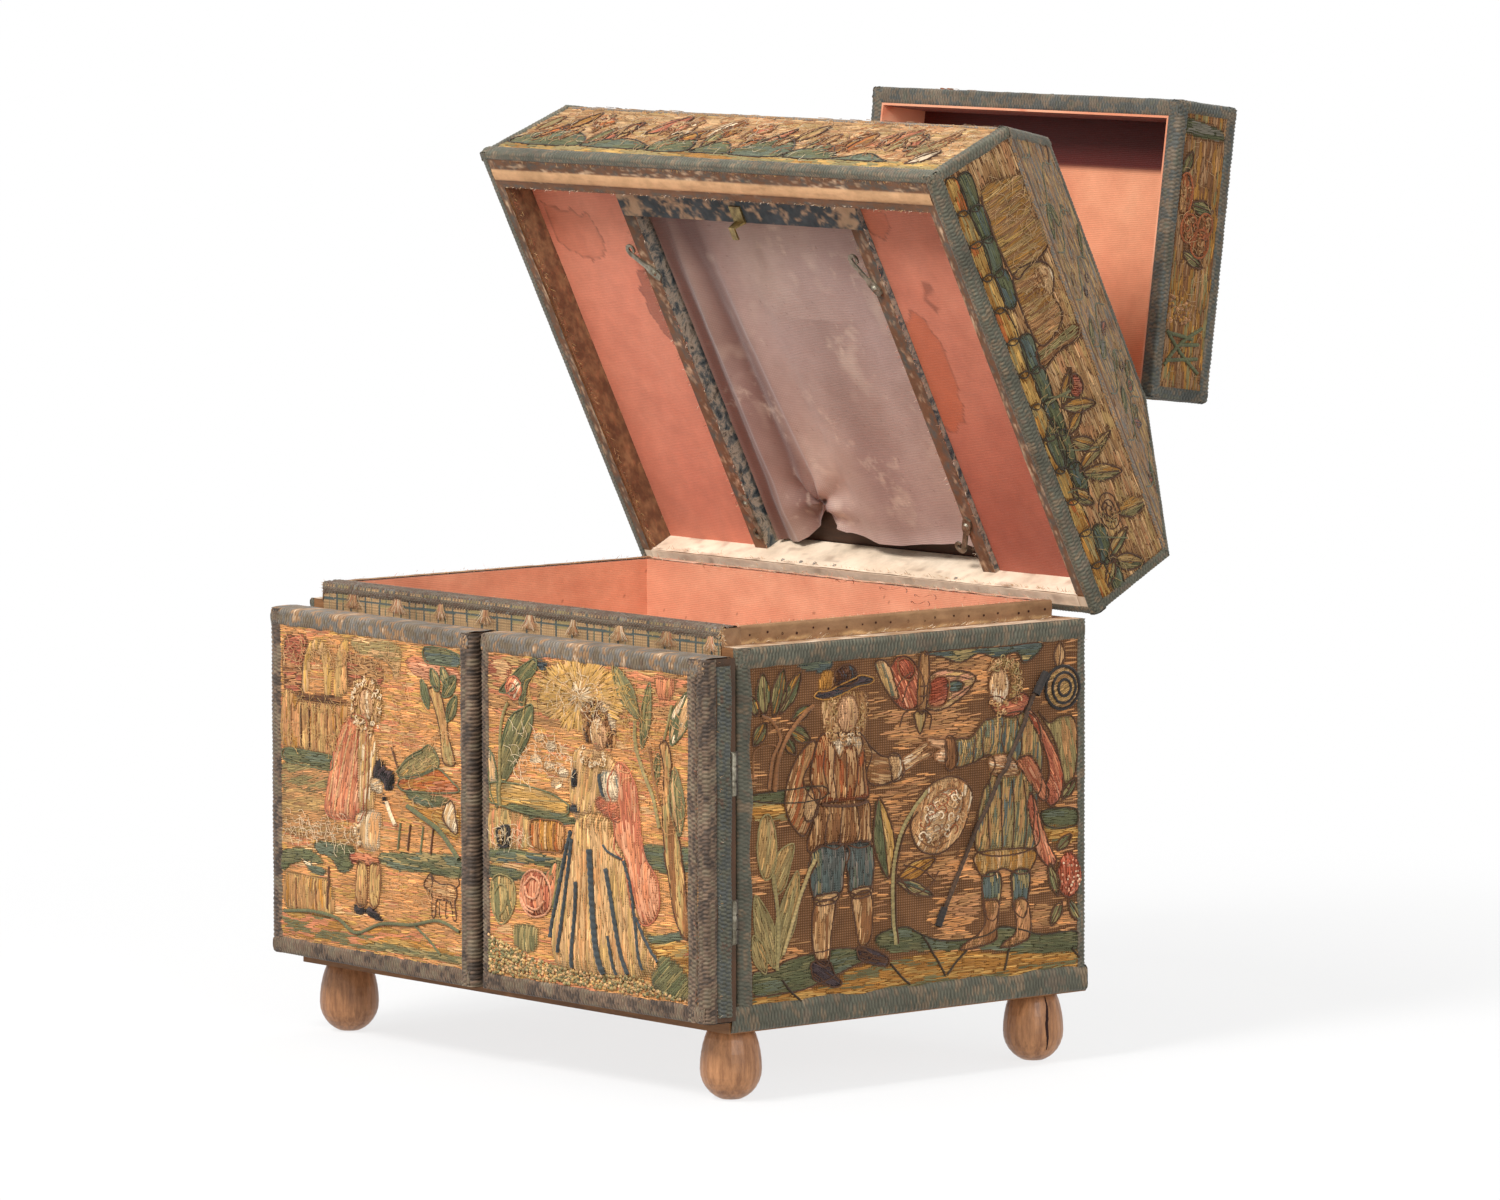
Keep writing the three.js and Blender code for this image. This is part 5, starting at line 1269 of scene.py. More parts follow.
    p.curls("64.6,106 67,102 74,100 81,102.6 80,99 72,97.4 65,100", "white cream", 30, 0.9, 0.28, 1.4)
    p.shape("11.4,60.5 13.6,60.5 13.6,67.5 11.4,67.5", "ink", 90, -0.7, sharp=True, cover=0)
    for c in ("10,66.5 14,68 18,68.6", "14.4,60 16,63 16.6,68", "9.6,66 10.6,61", "17,69 18,66 17,61",
              "10.5,60 14,59.4 17,60.4"):
        p.cord(c, "ink", 0.55)
    p.knots("3,7 3,23 12,20.5 25,17.5 42,14.5 60,13.5 80,13.5 97,15 112,11 128,8",
            "olive cream straw khaki moss", 0.62, 0.8, 0.7)
    p.frays(20, 108, 60, 90, 90, "white", 4.5)
    p.frays(30, 136, 100, 120, 90, "gold", 7)
    p.frays(100, 130, 128, 70, 90, "sand", 6)
    p.frays(85, 118, 110, 95, 50, "cream", 5)
    p.frays(5, 62, 30, 66, 40, "white", 5)
    p.frays(45, 132, 80, 118, 60, "white", 6)


def left_door_design(p):
    p.shape("9,133 24,135 27,124 22,112 9,112", "brown warm rose", 5, 0.2)
    p.shape("52,132 60,130 76,128 80,121 70,117 58,118 52,113 48,120", "brown rose tan", 0, 0.2)
    p.shape("9,111 20,110 50,111 54,107 50,88 9,87.5", "tan straw warm ochre", 90, 0.9)
    for x in (15, 22, 28, 33, 41, 47):
        p.cord([(x, 89), (x, 106)], "brown" if x % 2 else "umber", 0.35)
    p.shape("20,111 50,111.5 50,108.5 20,108.5", "brown umber", 0, 1.2)
    p.shape("22,112 23,125 28,133.5 36,134.5 42,128 42,112 38,112 37,124 32,129.5 27,124 26,112",
            "straw cream gold", 90, 1.0)
    p.shape("45,112 46,126 49,133 53,136.5 56,136 53,124 55,116 50,112", "straw sand gold", 90, 1.0)
    p.shape("58,137 90,137 91,126 88,122 84,128 74,130 62,131", "straw cream khaki", 0, 0.7)
    p.shape("8,86.5 20,87 42,86.5 45,83.5 42,80.5 20,81 8,82", "green moss teal", 0, 0.9, "green", 0.3)
    p.shape("8,80.5 40,80 37,70 8,69", "khaki olive tan warm", 12, 0.4)
    p.shape("8,69 36,69 42,60 58,55 55,50 30,50 8,52", "straw tan sand", 8, 0.4)
    p.shape("109,137 120,138 133,136 133,131.5 121,131 110,131.5", "teal blue moss", 0, 0.7, "green", 0.3)
    p.shape("96,131 104,133 112,131.5 120,130 132,130 132,124 112,124 100,126", "salmon pink", 0, 0.4)
    # tree on the right
    p.shape("112,120 116,113 120,103 122,91 130,91 126,101 124,110 119,121", "straw tan khaki", 100, 1.2,
            "umber", 0.25)
    for a in ((112, 112, 107, 124, 5), (119, 120, 114, 129, 6), (122, 118, 131, 127, 7),
              (125, 108, 131, 119, 6), (126, 122, 121, 130, 5)):
        p.leaf(*a, "green moss khaki", "green", 0.9)
    # hills
    p.shape("90,83 96,90 106,94.5 113,97 119,90 110,85 98,82", "khaki olive gold", 28, 0.8, "green", 0.3)
    p.shape("91,81 108,85 118,88 127,84 133,80 120,78 104,77 92,77", "orange salmon ochre orange", 8, 0.9,
            "green", 0.35)
    p.shape("94,76.5 112,77 126,75.5 118,72 104,71.5", "moss green teal", -4, 0.8)
    p.shape("100,69 118,71 132,72 132,60 120,62", "ochre gold khaki", -8, 0.6)
    p.cord("97,70.5 108,67 120,62 133,52", "green", 1.0)
    p.cord("89,84 98,90 108,94", "moss", 0.5)
    p.shape("122,68 125,75 129,74 132,63 128,63", "white cream", 70, 1.0, "umber", 0.25)
    for x in (90, 97, 106, 113):
        p.cord([(x, 52), (x + 1, 58), (x + 2, 63)], "umber" if x % 2 else "green", 0.5)
    p.shape("77,49 95,50.8 112,52.5 133,52.5 133,44 110,44 90,43 77,45", "green moss khaki teal", 0, 0.8)
    p.shape("30,49 45,50 58,49.5 57,41 48,38 42,43 32,45", "green moss teal", 0, 0.8)
    p.shape("5,42 14,45 25,45.5 34,43 36,40 24,40.5 13,38 5,34", "green moss", 5, 0.9)
    p.shape("20,41.5 30,39 37.5,38.5 36,35.5 27,36.5", "teal white cream", -8, 0.9)
    p.shape("9,33.5 24,34.5 40,33.5 43,20 30,18 9,20", "straw tan ochre", 90, 0.7)
    p.cord("17,33 17,20", "brown", 0.4)
    p.cord("31,33 32,20", "brown", 0.4)
    p.cord("40.5,40 40,22", "umber", 0.5)
    p.shape("8,8.5 133,8.5 133,12 110,15 90,17.5 76,19 60,14.5 48,18 28,18 8,18.5",
            "gold ochre salmon moss", 2, 0.6)
    p.shape("70,8.5 133,8.5 133,11 100,12 72,11", "olive moss khaki", 0, 0.9)
    p.cord("8,18 30,20 47,18.5 60,14 78,19.5 100,21.5 118,25 133,22", "green", 0.7)
    p.cord("102,21 112,16 120,11", "green", 0.5)
    # dog
    p.shape("108,39.5 110,42 112.5,43.8 115.4,41.6 120,40.4 126,40.8 130,40 131,36.6 129.4,33.4 130.4,27 "
            "128.4,26.6 126.6,33 121,34 117,33.4 115.6,26.6 113.6,26.6 113.4,34 111.4,37 108.6,37.6",
            "sand cream warm", 0, 1.1, "umber", 0.26)
    p.cord("130,39.6 132.6,41.6 132,44", "umber", 0.3)
    p.cord("112.6,43.4 114.6,41 114.4,38.6", "umber", 0.26)
    p.cord("123.4,33.6 123,27 124.4,27", "umber", 0.24)
    p.cord("119,33.6 118.6,27 120,27", "umber", 0.24)
    # gentleman
    p.shape("58,105 50,98 44,86 40,74 38,64 43,60.5 55,61 66,62 69,80 70,95 68,104",
            "salmon rose pink salmon", 76, 1.9, "rose", 0.25)
    for c in ("60,100 52,80 47,64", "64,100 60,80 56,63", "56,100 48,84 43,68"):
        p.cord(c, "cream", 0.35)
    p.shape("66,104 72,100 75.5,90 74,75 70,62 64.5,62 63.5,85", "cream straw white tan", 86, 2.1)
    p.cord("71,100 72,85 69,64", "brown", 0.4)
    p.shape("73.5,80 75,87 78.5,88.5 83,84 87,84 86.5,77.5 82,75 79,79", "ink plum ink", 60, 2.2)
    p.shape("72,79.5 77.5,80 78.5,74.5 73,74.5", "white cream", 20, 2.3)
    p.shape("78.5,73.5 82,73.5 82,70.5 79.5,70", "ink navy", 0, 2.2)
    p.cord("83,71 86,66 89,62", "white", 0.9, lift=0.5)
    p.cord("86,94 88,90 90,86", "umber", 0.5)
    p.shape("62,64 77,66 76.5,58 75,50 64,50 60,57", "white cream sand", 85, 2.0)
    p.knots("60,60 65,60 66,50 61,50", "white cream", 0.6, 0.7, 1.2)
    p.shape("56,46.8 62,47.5 75,47 75,43.3 57,43", "red salmon", 0, 1.8)
    p.shape("61,43 67,43 67,27 60,27", "tan straw warm", 88, 1.3, "brown", 0.25)
    p.shape("70,43 77,43 75.5,28 70,27", "tan straw warm", 88, 1.3, "brown", 0.25)
    p.shape("58,25.5 62,26 66,25.5 66,22.5 59,22", "ink plum", 0, 1.5)
    p.shape("67,25 72,26 77,22.5 80,20 74,20.8 67,22.5", "ink plum", -10, 1.5)
    p.shape("58.5,104 57.5,112 61,119 67,121.5 74,120.5 78.5,115 78.5,107 75,103", "straw brown cream", 70,
            1.0)
    p.head(69, 110.4, 5, 6.8)
    p.curls("58.6,104 57.4,112 61,119.4 67,122 74,121 79,115 79,107 75.6,104 74.6,111 72,116.6 66.4,117 "
            "63.6,111 63.6,104", "white cream straw tan white brown", 74, 1.0, 0.28, 0.9)
    p.curls("60.5,104.5 63,99.5 71,98.6 77,101.6 74,104 66,103.6", "white cream", 20, 0.9, 0.3, 0.9)
    p.frays(8, 132, 90, 124, 150, "cream", 5)
    p.frays(10, 110, 60, 90, 90, "straw", 6)
    p.frays(60, 120, 108, 90, 70, "cream", 5)
    p.frays(8, 60, 60, 48, 90, "white", 5)
    p.frays(90, 110, 130, 70, 60, "cream", 5)
    p.frays(80, 40, 130, 30, 40, "cream", 4)


BROWN_BRAID = "door1 door2 door3 braid3 braid"
HINGE_Z = (73.5, 133.0)


def silk_face(geo, body, s0, s1, t0, t1, y, side):
    """Plain pink silk on an upright face at y, lifted towards the side 1 or -1."""
    skin_of(geo, body, lambda S, T, H: spot(S, y + side * H, T), s0, s1, t0, t1,
            lambda S, T: 0.1 + 0.02 * (side > 0) + 0.25 * noise(S / 14, T / 9, 3),
            lambda S, T: blend("silk", "silkhi", cloud(S / 20, T / 17, 8)), 0, 1.2)


def door(name, x0, design, sign, edges):
    """A door's embroidery with braid on its edges, and the silk and braid on its inside."""
    geo = Geo()
    p = Panel(geo, name, (x0, DOOR_FRONT, DOOR_Z), X, Z, DOOR_W, DOOR_H,
              "amber sand amber warm gold amber salmon cream", angle=1, cover=0.92, seed=12 + sign,
              base="cloth", under=(3, 6, 9 if sign > 0 else 4.5, 6), tone=DOOR_TONE)
    design(p)
    p.finish()
    x1, z1 = x0 + DOOR_W, DOOR_Z + DOOR_H
    left_w, right_w = edges
    welt(geo, name, (x0, DOOR_FRONT, DOOR_Z), (x0, DOOR_FRONT, z1), -Y, left_w, -X, 14.0, thick=1.2,
         thick2=1.0, seed=20 + sign, colors=BROWN_BRAID)
    if sign > 0:
        welt(geo, name, (x1, DOOR_FRONT, DOOR_Z), (x1, DOOR_FRONT, z1), -Y, 5.0, X, 5.2, thick=1.4,
             thick2=1.2, seed=23, colors=BROWN_BRAID, wave=0.5)
        tape(geo, name, (x1 - 8.0, DOOR_FRONT, DOOR_Z), (x1 - 8.0, DOOR_FRONT, z1), -Y, 6.0, BROWN_BRAID,
             1.3, 1.9, 0.3, 7)
        tape(geo, name, (x1 + 0.2, -9.2, DOOR_Z + 2), (x1 + 0.2, -9.2, z1 - 3), X, 7.8,
             "metalgreen slate braid2 door1", 1.4, 1.7, 0.5, 5)
        skin_of(geo, name, lambda S, T, H: spot(x1 + 0.1 + H, S, T), DOOR_FRONT + 1, DOOR_BACK - 0.2, DOOR_Z,
                z1, lambda S, T: 0.2 * noise(S, T / 6, 3),
                lambda S, T: blend("staff", "umber", noise(S / 2, T / 9, 5)), 1)
        fuzz(geo, name, (x1 - 10.8, DOOR_FRONT, DOOR_Z), (x1 - 10.8, DOOR_FRONT, z1), -Y, 110,
             "sand salmon cream brown", 2.6)
        fuzz(geo, name, (x1 - 5.0, DOOR_FRONT - 0.8, DOOR_Z), (x1 - 5.0, DOOR_FRONT - 0.8, z1), -Y, 50,
             "coffee brown rose", 2.2)
        fuzz(geo, name, (x1 + 0.6, -12, DOOR_Z), (x1 + 0.6, -12, z1), X, 60, "cream sand white", 2.2)
    else:
        welt(geo, name, (x1, DOOR_FRONT, DOOR_Z), (x1, DOOR_FRONT, z1), -Y, right_w, X, 14.0, thick=1.2,
             thick2=1.4, seed=23 + sign, colors=BROWN_BRAID)
    # the top edge's braid in paler colours: painted light where it faces up to the lamp
    welt(geo, name, (x0, DOOR_FRONT, z1), (x1, DOOR_FRONT, z1), -Y, 7.4, Z, 14.0, thick=1.2, thick2=0.5,
         seed=26 + sign, colors="door3 braid3 grey leather drum")
    welt(geo, name, (x0, DOOR_FRONT, DOOR_Z), (x1, DOOR_FRONT, DOOR_Z), -Y, 7.0, -Z, 14.0, thick=1.2,
         thick2=0.4, seed=29 + sign, colors=BROWN_BRAID)
    for z in (DOOR_Z + 7.4, z1 - 7.6):
        fuzz(geo, name, (x0 + 5, DOOR_FRONT, z), (x1 - 8, DOOR_FRONT, z), -Y, 90, "cream sand straw brown",
             2.4)
    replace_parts(geo.object(name + "_embroidery", CLOTHS, name, "embroidery"), name + "_cover")
    inside_face = Geo()
    silk_face(inside_face, name, x0 + 6, x1 - 6, DOOR_Z + 6, z1 - 6, DOOR_BACK, 1)
    for a, b in (((x0 + 6, DOOR_Z + 4), (x0 + 6, z1 - 4)), ((x1 - 6, DOOR_Z + 4), (x1 - 6, z1 - 4)),
                 ((x0 + 4, DOOR_Z + 6), (x1 - 4, DOOR_Z + 6)), ((x0 + 4, z1 - 6), (x1 - 4, z1 - 6))):
        tape(inside_face, name, (a[0], DOOR_BACK, a[1]), (b[0], DOOR_BACK, b[1]), Y, 4.0, BROWN_BRAID, 0.5)
    inside_face.object(name + "_lining", LININGS, name, "silk")


door("right_door", 2.5, right_door_design, 1, (4.0, 9.0))
plates = Geo()
PLATE_X, PLATE_Y, PLATE_W, PLATE_HALF = 142.9, -4.5, 2.2, 9


def plate_lift(S, up):
    """A flat leaf with rounded ends, parted into three knuckles."""
    leaf = 1.1 * np.clip(1 - ((S - PLATE_Y) / 1.12) ** 8, 0, 1) * np.clip(1 - (up / PLATE_HALF) ** 30, 0, 1)
    return leaf - 0.5 * np.exp(-((np.abs(up) - 3) / 0.3) ** 2)


for z in HINGE_Z:
    skin_of(plates, "right_door", lambda S, T, H: spot(PLATE_X + H, S, T), PLATE_Y - PLATE_W / 2,
            PLATE_Y + PLATE_W / 2, z - PLATE_HALF, z + PLATE_HALF, lambda S, T: plate_lift(S, T - z),
            lambda S, T: blend("slate", "grey", noise(S / 2, T / 3, 5)), 0, 0.3)
plates.object("right_door_hinge_plates", [STEEL], "right_door", "iron")
door("left_door", -142.5, left_door_design, -1, (6.5, 6.0))


# The lid
def lid_side_design(p):
    for i in range(13):
        x, slip = 6 + i * 14.9, 0.8 * math.sin(i * 2.1)
        p.shape([(x, 6.2), (x + 14, 6.4), (x + 15.4, 12.6 + slip), (x + 1.4, 12.8 - slip)],
                ("ochre gold orange", "ochre khaki gold")[i % 2], 1, 1.0, "dark", 0.3)
        if i % 6 != 4:
            p.shape([(x + 1.6, 13.4), (x + 15.4, 13.2 + slip), (x + 17, 19 + slip), (x + 3, 20.4)],
                    ("teal green moss", "green blue teal")[i % 2], 2, 1.0, "dark", 0.3)
    p.shape("20,22 22,42 24,47 30,44 34,47 40,43 46,47 56,45 58,30 56,22", "straw ochre tan gold", 90, 1.2,
            "umber", 0.4)
    for x in range(24, 57, 5):
        p.cord([(x, 23), (x + 0.5, 44)], "brown", 0.26)
    p.shape("58,22 59,38 66,43 74,39 84,40 89,34 88,22", "sand straw ochre", 90, 1.0, "umber", 0.4)
    p.shape("60,38 66,43.5 74,39.5 72,36 62,36", "cream white", 0, 1.4)
    for x in (63, 68, 76, 82):
        p.cord([(x, 23), (x, 35)], "brown", 0.4)
    p.shape("90,21 92,47 97,47 97,30 99,20", "brown tan olive", 90, 1.2, "umber", 0.35)
    p.shape(ring(114, 33, 5, 4), "red rose salmon", 60, 1.6, "umber", 0.4)
    p.cord("112,14 113,22 114,29", "moss", 0.6)
    p.shape("119,14 124,15.5 136,15 141,11 136,8 124,8", "teal green khaki", 0, 1.1, "dark", 0.35)
    for a in ((118, 22, 106, 34, 5), (118, 22, 126, 40, 6), (130, 20, 124, 32, 5), (132, 20, 144, 34, 6),
              (146, 18, 140, 42, 6), (148, 20, 158, 40, 7), (172, 30, 176, 47, 8), (186, 16, 180, 32, 6),
              (188, 18, 198, 34, 7), (150, 10, 162, 20, 6), (196, 10, 186, 20, 5)):
        p.leaf(*a, "olive khaki green", "umber", 0.8, side="straw ochre")
    for r in (8, 5, 2.4):
        p.cord(ring(169, 26, r, r * 0.7), "umber", 0.3, closed=True)
    for c in ("110,16 114,24 118,30", "132,12 138,22 143,34", "172,10 178,20 184,30", "150,8 152,16 150,26"):
        p.cord(c, "moss", 0.35)
    p.curls(ring(169, 26, 7, 5), "umber khaki tan", 14, 1.8, 0.26)
    p.curls(ring(66, 32, 8, 7), "brown tan cream", 14, 1.6, 0.24)
    p.frays(20, 44, 100, 26, 110, "cream", 6)
    p.frays(100, 44, 198, 10, 120, "straw", 6)


def lid_front_design(p):
    p.shape("6,7 285,7 285,12 200,13 100,12 6,13", "ochre olive gold khaki", 0, 0.5)
    for x0, x1, z in ((8, 52, 25), (56, 98, 20), (98, 124, 28), (128, 152, 22), (153, 187, 28),
                      (188, 217, 24), (220, 252, 18)):
        m = (x0 + x1) / 2
        p.shape([(x0, 11), (x0 + 5, z - 4), (m, z), (x1 - 5, z - 4), (x1, 11)], "green moss teal", 5, 1.0,
                "dark", 0.35)
    rng = np.random.default_rng(5)
    for i in range(30):
        x, z = 12 + i * 8.9 + rng.normal(0, 2), 14 + rng.random() * 12
        lean, tall = rng.normal(6, 7), 12 + rng.random() * 9
        cols = ("orange ochre brown", "sand cream straw", "rose salmon warm",
                "cream white sand", "moss olive khaki")[rng.integers(0, 5)]
        size, edge = 5 + rng.random() * 6, ("brown", "umber", "brown")[rng.integers(0, 3)]
        p.leaf(x, z, x + lean, min(z + tall, 43), size, cols, edge, 1.1)
    for x, z in ((46, 34), (98, 32), (150, 35), (214, 33), (252, 30)):
        p.shape(ring(x, z, 6, 4.6), "salmon rose cream orange", 40, 1.6, "brown", 0.35)
        p.cord(ring(x, z, 2.8, 2.2), "cream", 0.45, closed=True)
    p.leaf(266, 10, 274, 24, 8, "cream white", "umber", 1.0)
    p.frays(8, 12, 284, 44, 330, "cream", 5)
    p.frays(8, 12, 284, 44, 160, "white", 4)
    p.frays(8, 12, 284, 44, 160, "orange", 5)


def cant_design(p):
    h, w = p.h, p.w
    rng = np.random.default_rng(int(w))
    for i in range(int(w / 9)):
        x, z = 10 + rng.random() * (w - 24), 6 + rng.random() * (h - 22)
        tip_x, tip_z, size = x + rng.normal(0, 5), z + 6 + rng.random() * 9, 3 + rng.random() * 4
        cols = ("olive khaki", "tan straw", "brown rose", "grey khaki")[rng.integers(0, 4)]
        p.leaf(x, z, tip_x, tip_z, size, cols, ("umber", "green")[rng.integers(0, 2)], 0.6)
    for i in range(int(w / 22)):
        x = 16 + i * 22
        p.cord([(x, 6), (x + 5, h * 0.3), (x - 4, h * 0.55), (x + 3, h * 0.8)], "green", 0.35)
    p.frays(8, 6, w - 8, h - 8, int(w * 1.2), "cream", 5)
    p.frays(8, 6, w - 8, h - 8, int(w * 0.8), "brown", 5)


lid = Geo()
GROUND = "straw tan cream warm"
GREY_GROUND = "leather grey tan straw braid3"
V0, S0, T0 = RIM, SHOULDER, TOP
L1 = math.hypot(LEAN, WALL_RISE)
L2, L3, L4 = (math.hypot(run, CANT_RISE) for run in (CANT_SIDE, CANT_FRONT, CANT_BACK))


def lid_panel(origin, u, v, w, h, ground, left, right, design, seed, cover=0.9, body="lid", geo=None):
    """A panel of the lid or, with geo and body, of the small top lid."""
    p = Panel(geo or lid, body, origin, u, v, w, h, ground, left, right, 0, cover, seed,
              under=(3, 5.2, 3, 2), tone=LID_TONE)
    design(p)
    p.finish()


def lean(y):
    """How far a wall of the lid leans in at the slant height y."""
    return LEAN * y / WALL_SLANT


lid_panel((LID_HALF, LID_FRONT, V0), Y, (-LEAN, 0, WALL_RISE), LID_D, L1, GROUND, lean,
          lambda y: LID_D + 0 * y, lid_side_design, 31)
lid_panel((-LID_HALF, DEPTH, V0), -Y, (LEAN, 0, WALL_RISE), LID_D, L1, GROUND, None,
          lambda y: LID_D - lean(y), lid_side_design, 32)
lid_panel((-LID_HALF, LID_FRONT, V0), X, (0, LEAN, WALL_RISE), LID_W, L1, GROUND, lean,
          lambda y: LID_W - lean(y), lid_front_design, 33)
lid_panel((LID_HALF, DEPTH, V0), -X, Z, LID_W, WALL_RISE, GROUND, lean, lambda y: LID_W - lean(y),
          lid_front_design, 34)


def cant_panel(corner, along, inward, width, height, left_cut, right_cut, seed):
    """A canted board of the lid, which narrows by left_cut and right_cut towards the top."""
    lid_panel((*corner, S0), along, (*inward, CANT_RISE), width, height, GREY_GROUND,
              lambda y: left_cut * y / height, lambda y: width - right_cut * y / height, cant_design, seed,
              0.8)


cant_panel((SHOULDER_HALF, SHOULDER_FRONT), Y, (-CANT_SIDE, 0), SHOULDER_D, L2, CANT_FRONT, CANT_BACK, 35)
cant_panel((-SHOULDER_HALF, DEPTH), -Y, (CANT_SIDE, 0), SHOULDER_D, L2, CANT_BACK, CANT_FRONT, 36)
cant_panel((-SHOULDER_HALF, SHOULDER_FRONT), X, (0, CANT_FRONT), SHOULDER_W, L3, CANT_SIDE, CANT_SIDE, 37)
cant_panel((SHOULDER_HALF, DEPTH), -X, (0, -CANT_BACK), SHOULDER_W, L4, CANT_SIDE, CANT_SIDE, 38)

SHOULDER_BRAID = "leather grey tan braid3"


def corners(half, front, back, z):
    """The four corners of a level rectangle, from the front left one round."""
    return [(-half, front, z), (half, front, z), (half, back, z), (-half, back, z)]


RIM_C = corners(LID_HALF, LID_FRONT, DEPTH, V0)
SHO_C = corners(SHOULDER_HALF, SHOULDER_FRONT, DEPTH, S0)
TOP_C = corners(TOP_HALF, TOP_FRONT, TOP_BACK, T0)
WALL_N = [unit((0, -WALL_RISE, LEAN)), unit((WALL_RISE, 0, LEAN)), unit(Y), unit((-WALL_RISE, 0, LEAN))]
CANT_N = [unit((0, -CANT_RISE, CANT_FRONT)), unit((CANT_RISE, 0, CANT_SIDE)),
          unit((0, CANT_RISE, CANT_BACK)), unit((-CANT_RISE, 0, CANT_SIDE))]
UNDER_RIM = (2.8, 3.4, 3.0, 3.4)  # how far the braid reaches under the rim, from the front round
for i in range(4):
    j = (i + 1) % 4
    k = (i - 1) % 4
    welt(lid, "lid", RIM_C[i], RIM_C[j], WALL_N[i], 6.4, -Z, UNDER_RIM[i], thick=1.1, thick2=0.4,
         seed=40 + i)
    welt(lid, "lid", SHO_C[i], SHO_C[j], WALL_N[i], 1.5, CANT_N[i], 1.5, SHOULDER_BRAID, thick=0.6,
         seed=45 + i)
    welt(lid, "lid", TOP_C[i], TOP_C[j], CANT_N[i], 5.0, Z, 3.0, thick=0.9, thick2=0.25, seed=50 + i)
    welt(lid, "lid", RIM_C[i], SHO_C[i], WALL_N[i], 4.0, WALL_N[k], 4.0, thick=1.0, seed=55 + i)
    welt(lid, "lid", SHO_C[i], TOP_C[i], CANT_N[i], 4.0, CANT_N[k], 4.0, thick=1.0, seed=60 + i)
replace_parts(lid.object("lid_embroidery", CLOTHS, "lid", "embroidery"), "lid_cover")


# The small lid on the top
def small_side_design(p):
    p.shape("6,4 10,26 14,26 12,4", "green silver", 90, 0.8)
    for x, z, rx, ry in ((38, 8, 9, 4), (52, 12, 6, 4.5), (58, 19, 6, 5), (50, 21, 5, 4)):
        p.shape(ring(x, z, rx, ry), "brown rust tan warm", 0, 1.2, "rust", 0.5)
        p.curls(ring(x, z, rx * 0.7, ry * 0.7), "rust brown tan", 9, 1.4, 0.3)
    for a in ((42, 12, 44, 25, 6), (30, 6, 20, 10, 5), (62, 10, 68, 22, 5)):
        p.leaf(*a, "moss olive", "umber", 0.8)
    p.knots("80,5 81,17 92,18 92,5", "warm brown ochre", 0.5, 0.9)
    for c in ("93,3 104,14 112,25", "93,25 101,13 112,4", "101,13 100,24", "96,4 98,20", "106,24 108,6"):
        p.cord(c, "green", 0.8)
    p.frays(10, 24, 115, 8, 40, "cream", 5)


def small_top_design(p):
    w, h = p.w, p.h
    for x, z, r in ((w / 2, h / 2, 20), (34, 30, 11), (w - 34, 30, 11), (34, h - 30, 11),
                    (w - 34, h - 30, 11)):
        p.shape(ring(x, z, r), "rose salmon pink cream", 30, 1.8, "umber", 0.6)
        p.cord(ring(x, z, r * 0.62), "umber", 0.5, closed=True)
        p.shape(ring(x, z, r * 0.3), "gold straw", 0, 2.2, "umber")
        for a in range(5):
            t = a * 2 * math.pi / 5 + 0.4
            p.leaf(x + r * math.cos(t), z + r * math.sin(t), x + (r + 13) * math.cos(t),
                   z + (r + 13) * math.sin(t), 8, "moss green olive", "dark", 0.8)
    p.frays(10, 10, w - 10, h - 10, 80, "cream", 5)


small = Geo()
SX, SY0, SY1, SZ0, SZ1 = SMALL_HALF, SMALL_FRONT, TOP_BACK, SMALL_Z, SMALL_Z + SMALL_H
# ground of the small lid, in darker threads than the lid's: partly its own colour, partly painted shade
SHADED_YELLOW = "tan olive ochre brown leather"
for origin, along, width, seed in (((SX, SY0, SZ0), Y, SY1 - SY0, 71), ((-SX, SY1, SZ0), -Y, SY1 - SY0, 72),
                                   ((-SX, SY0, SZ0), X, 2 * SX, 73), ((SX, SY1, SZ0), -X, 2 * SX, 74)):
    lid_panel(origin, along, Z, width, SMALL_H, SHADED_YELLOW, None, None, small_side_design, seed, 0.95,
              "top_lid", small)
lid_panel((-SX, SY0, SZ1), X, Y, 2 * SX, SY1 - SY0, SHADED_YELLOW, None, None, small_top_design, 75, 0.9,
          "top_lid", small)
C4 = [(-SX, SY0), (SX, SY0), (SX, SY1), (-SX, SY1)]
N4 = [-Y, X, Y, -X]
GREENISH = "braid2 braid slate braid2"
for i in range(4):
    a, b = C4[i], C4[(i + 1) % 4]
    low = (5.0, 6.4) if i != 2 else (2.0, 0.5)
    welt(small, "top_lid", (*a, SZ0), (*b, SZ0), N4[i], low[0], -Z, low[1], GREENISH, 1.1, 0.35, seed=80 + i)
    welt(small, "top_lid", (*a, SZ1), (*b, SZ1), N4[i], 4.5, Z, 5.0, GREENISH, 1.1, seed=84 + i)
    welt(small, "top_lid", (*a, SZ0), (*a, SZ1), N4[i], 4.5, N4[(i - 1) % 4], 4.5, GREENISH, 1.1,
         seed=88 + i)
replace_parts(small.object("top_lid_embroidery", CLOTHS, "top_lid", "embroidery"), "top_lid_cover")


# Front rail: checked cloth, braid and tufts
rail = Geo()
RX, RZ0, RZ1 = 130.6, 133.5, 189.5  # half the cloth's width, its lower edge and its upper edge
CLOTH_GRID, WEAVE, REPEAT, CHECK, STRIPE = 0.4, 1.1, 29.5, 9.83, 1.1
xs, zs = np.arange(-RX, RX + 0.2, CLOTH_GRID), np.arange(RZ0, RZ1 + 0.2, CLOTH_GRID)
GX, GZ = np.meshgrid(xs, zs)
thread = np.abs(np.sin(math.pi * GX / WEAVE)) * np.abs(np.sin(math.pi * GZ / WEAVE))
wob = noise(GX / 9, GZ / 9, 5)
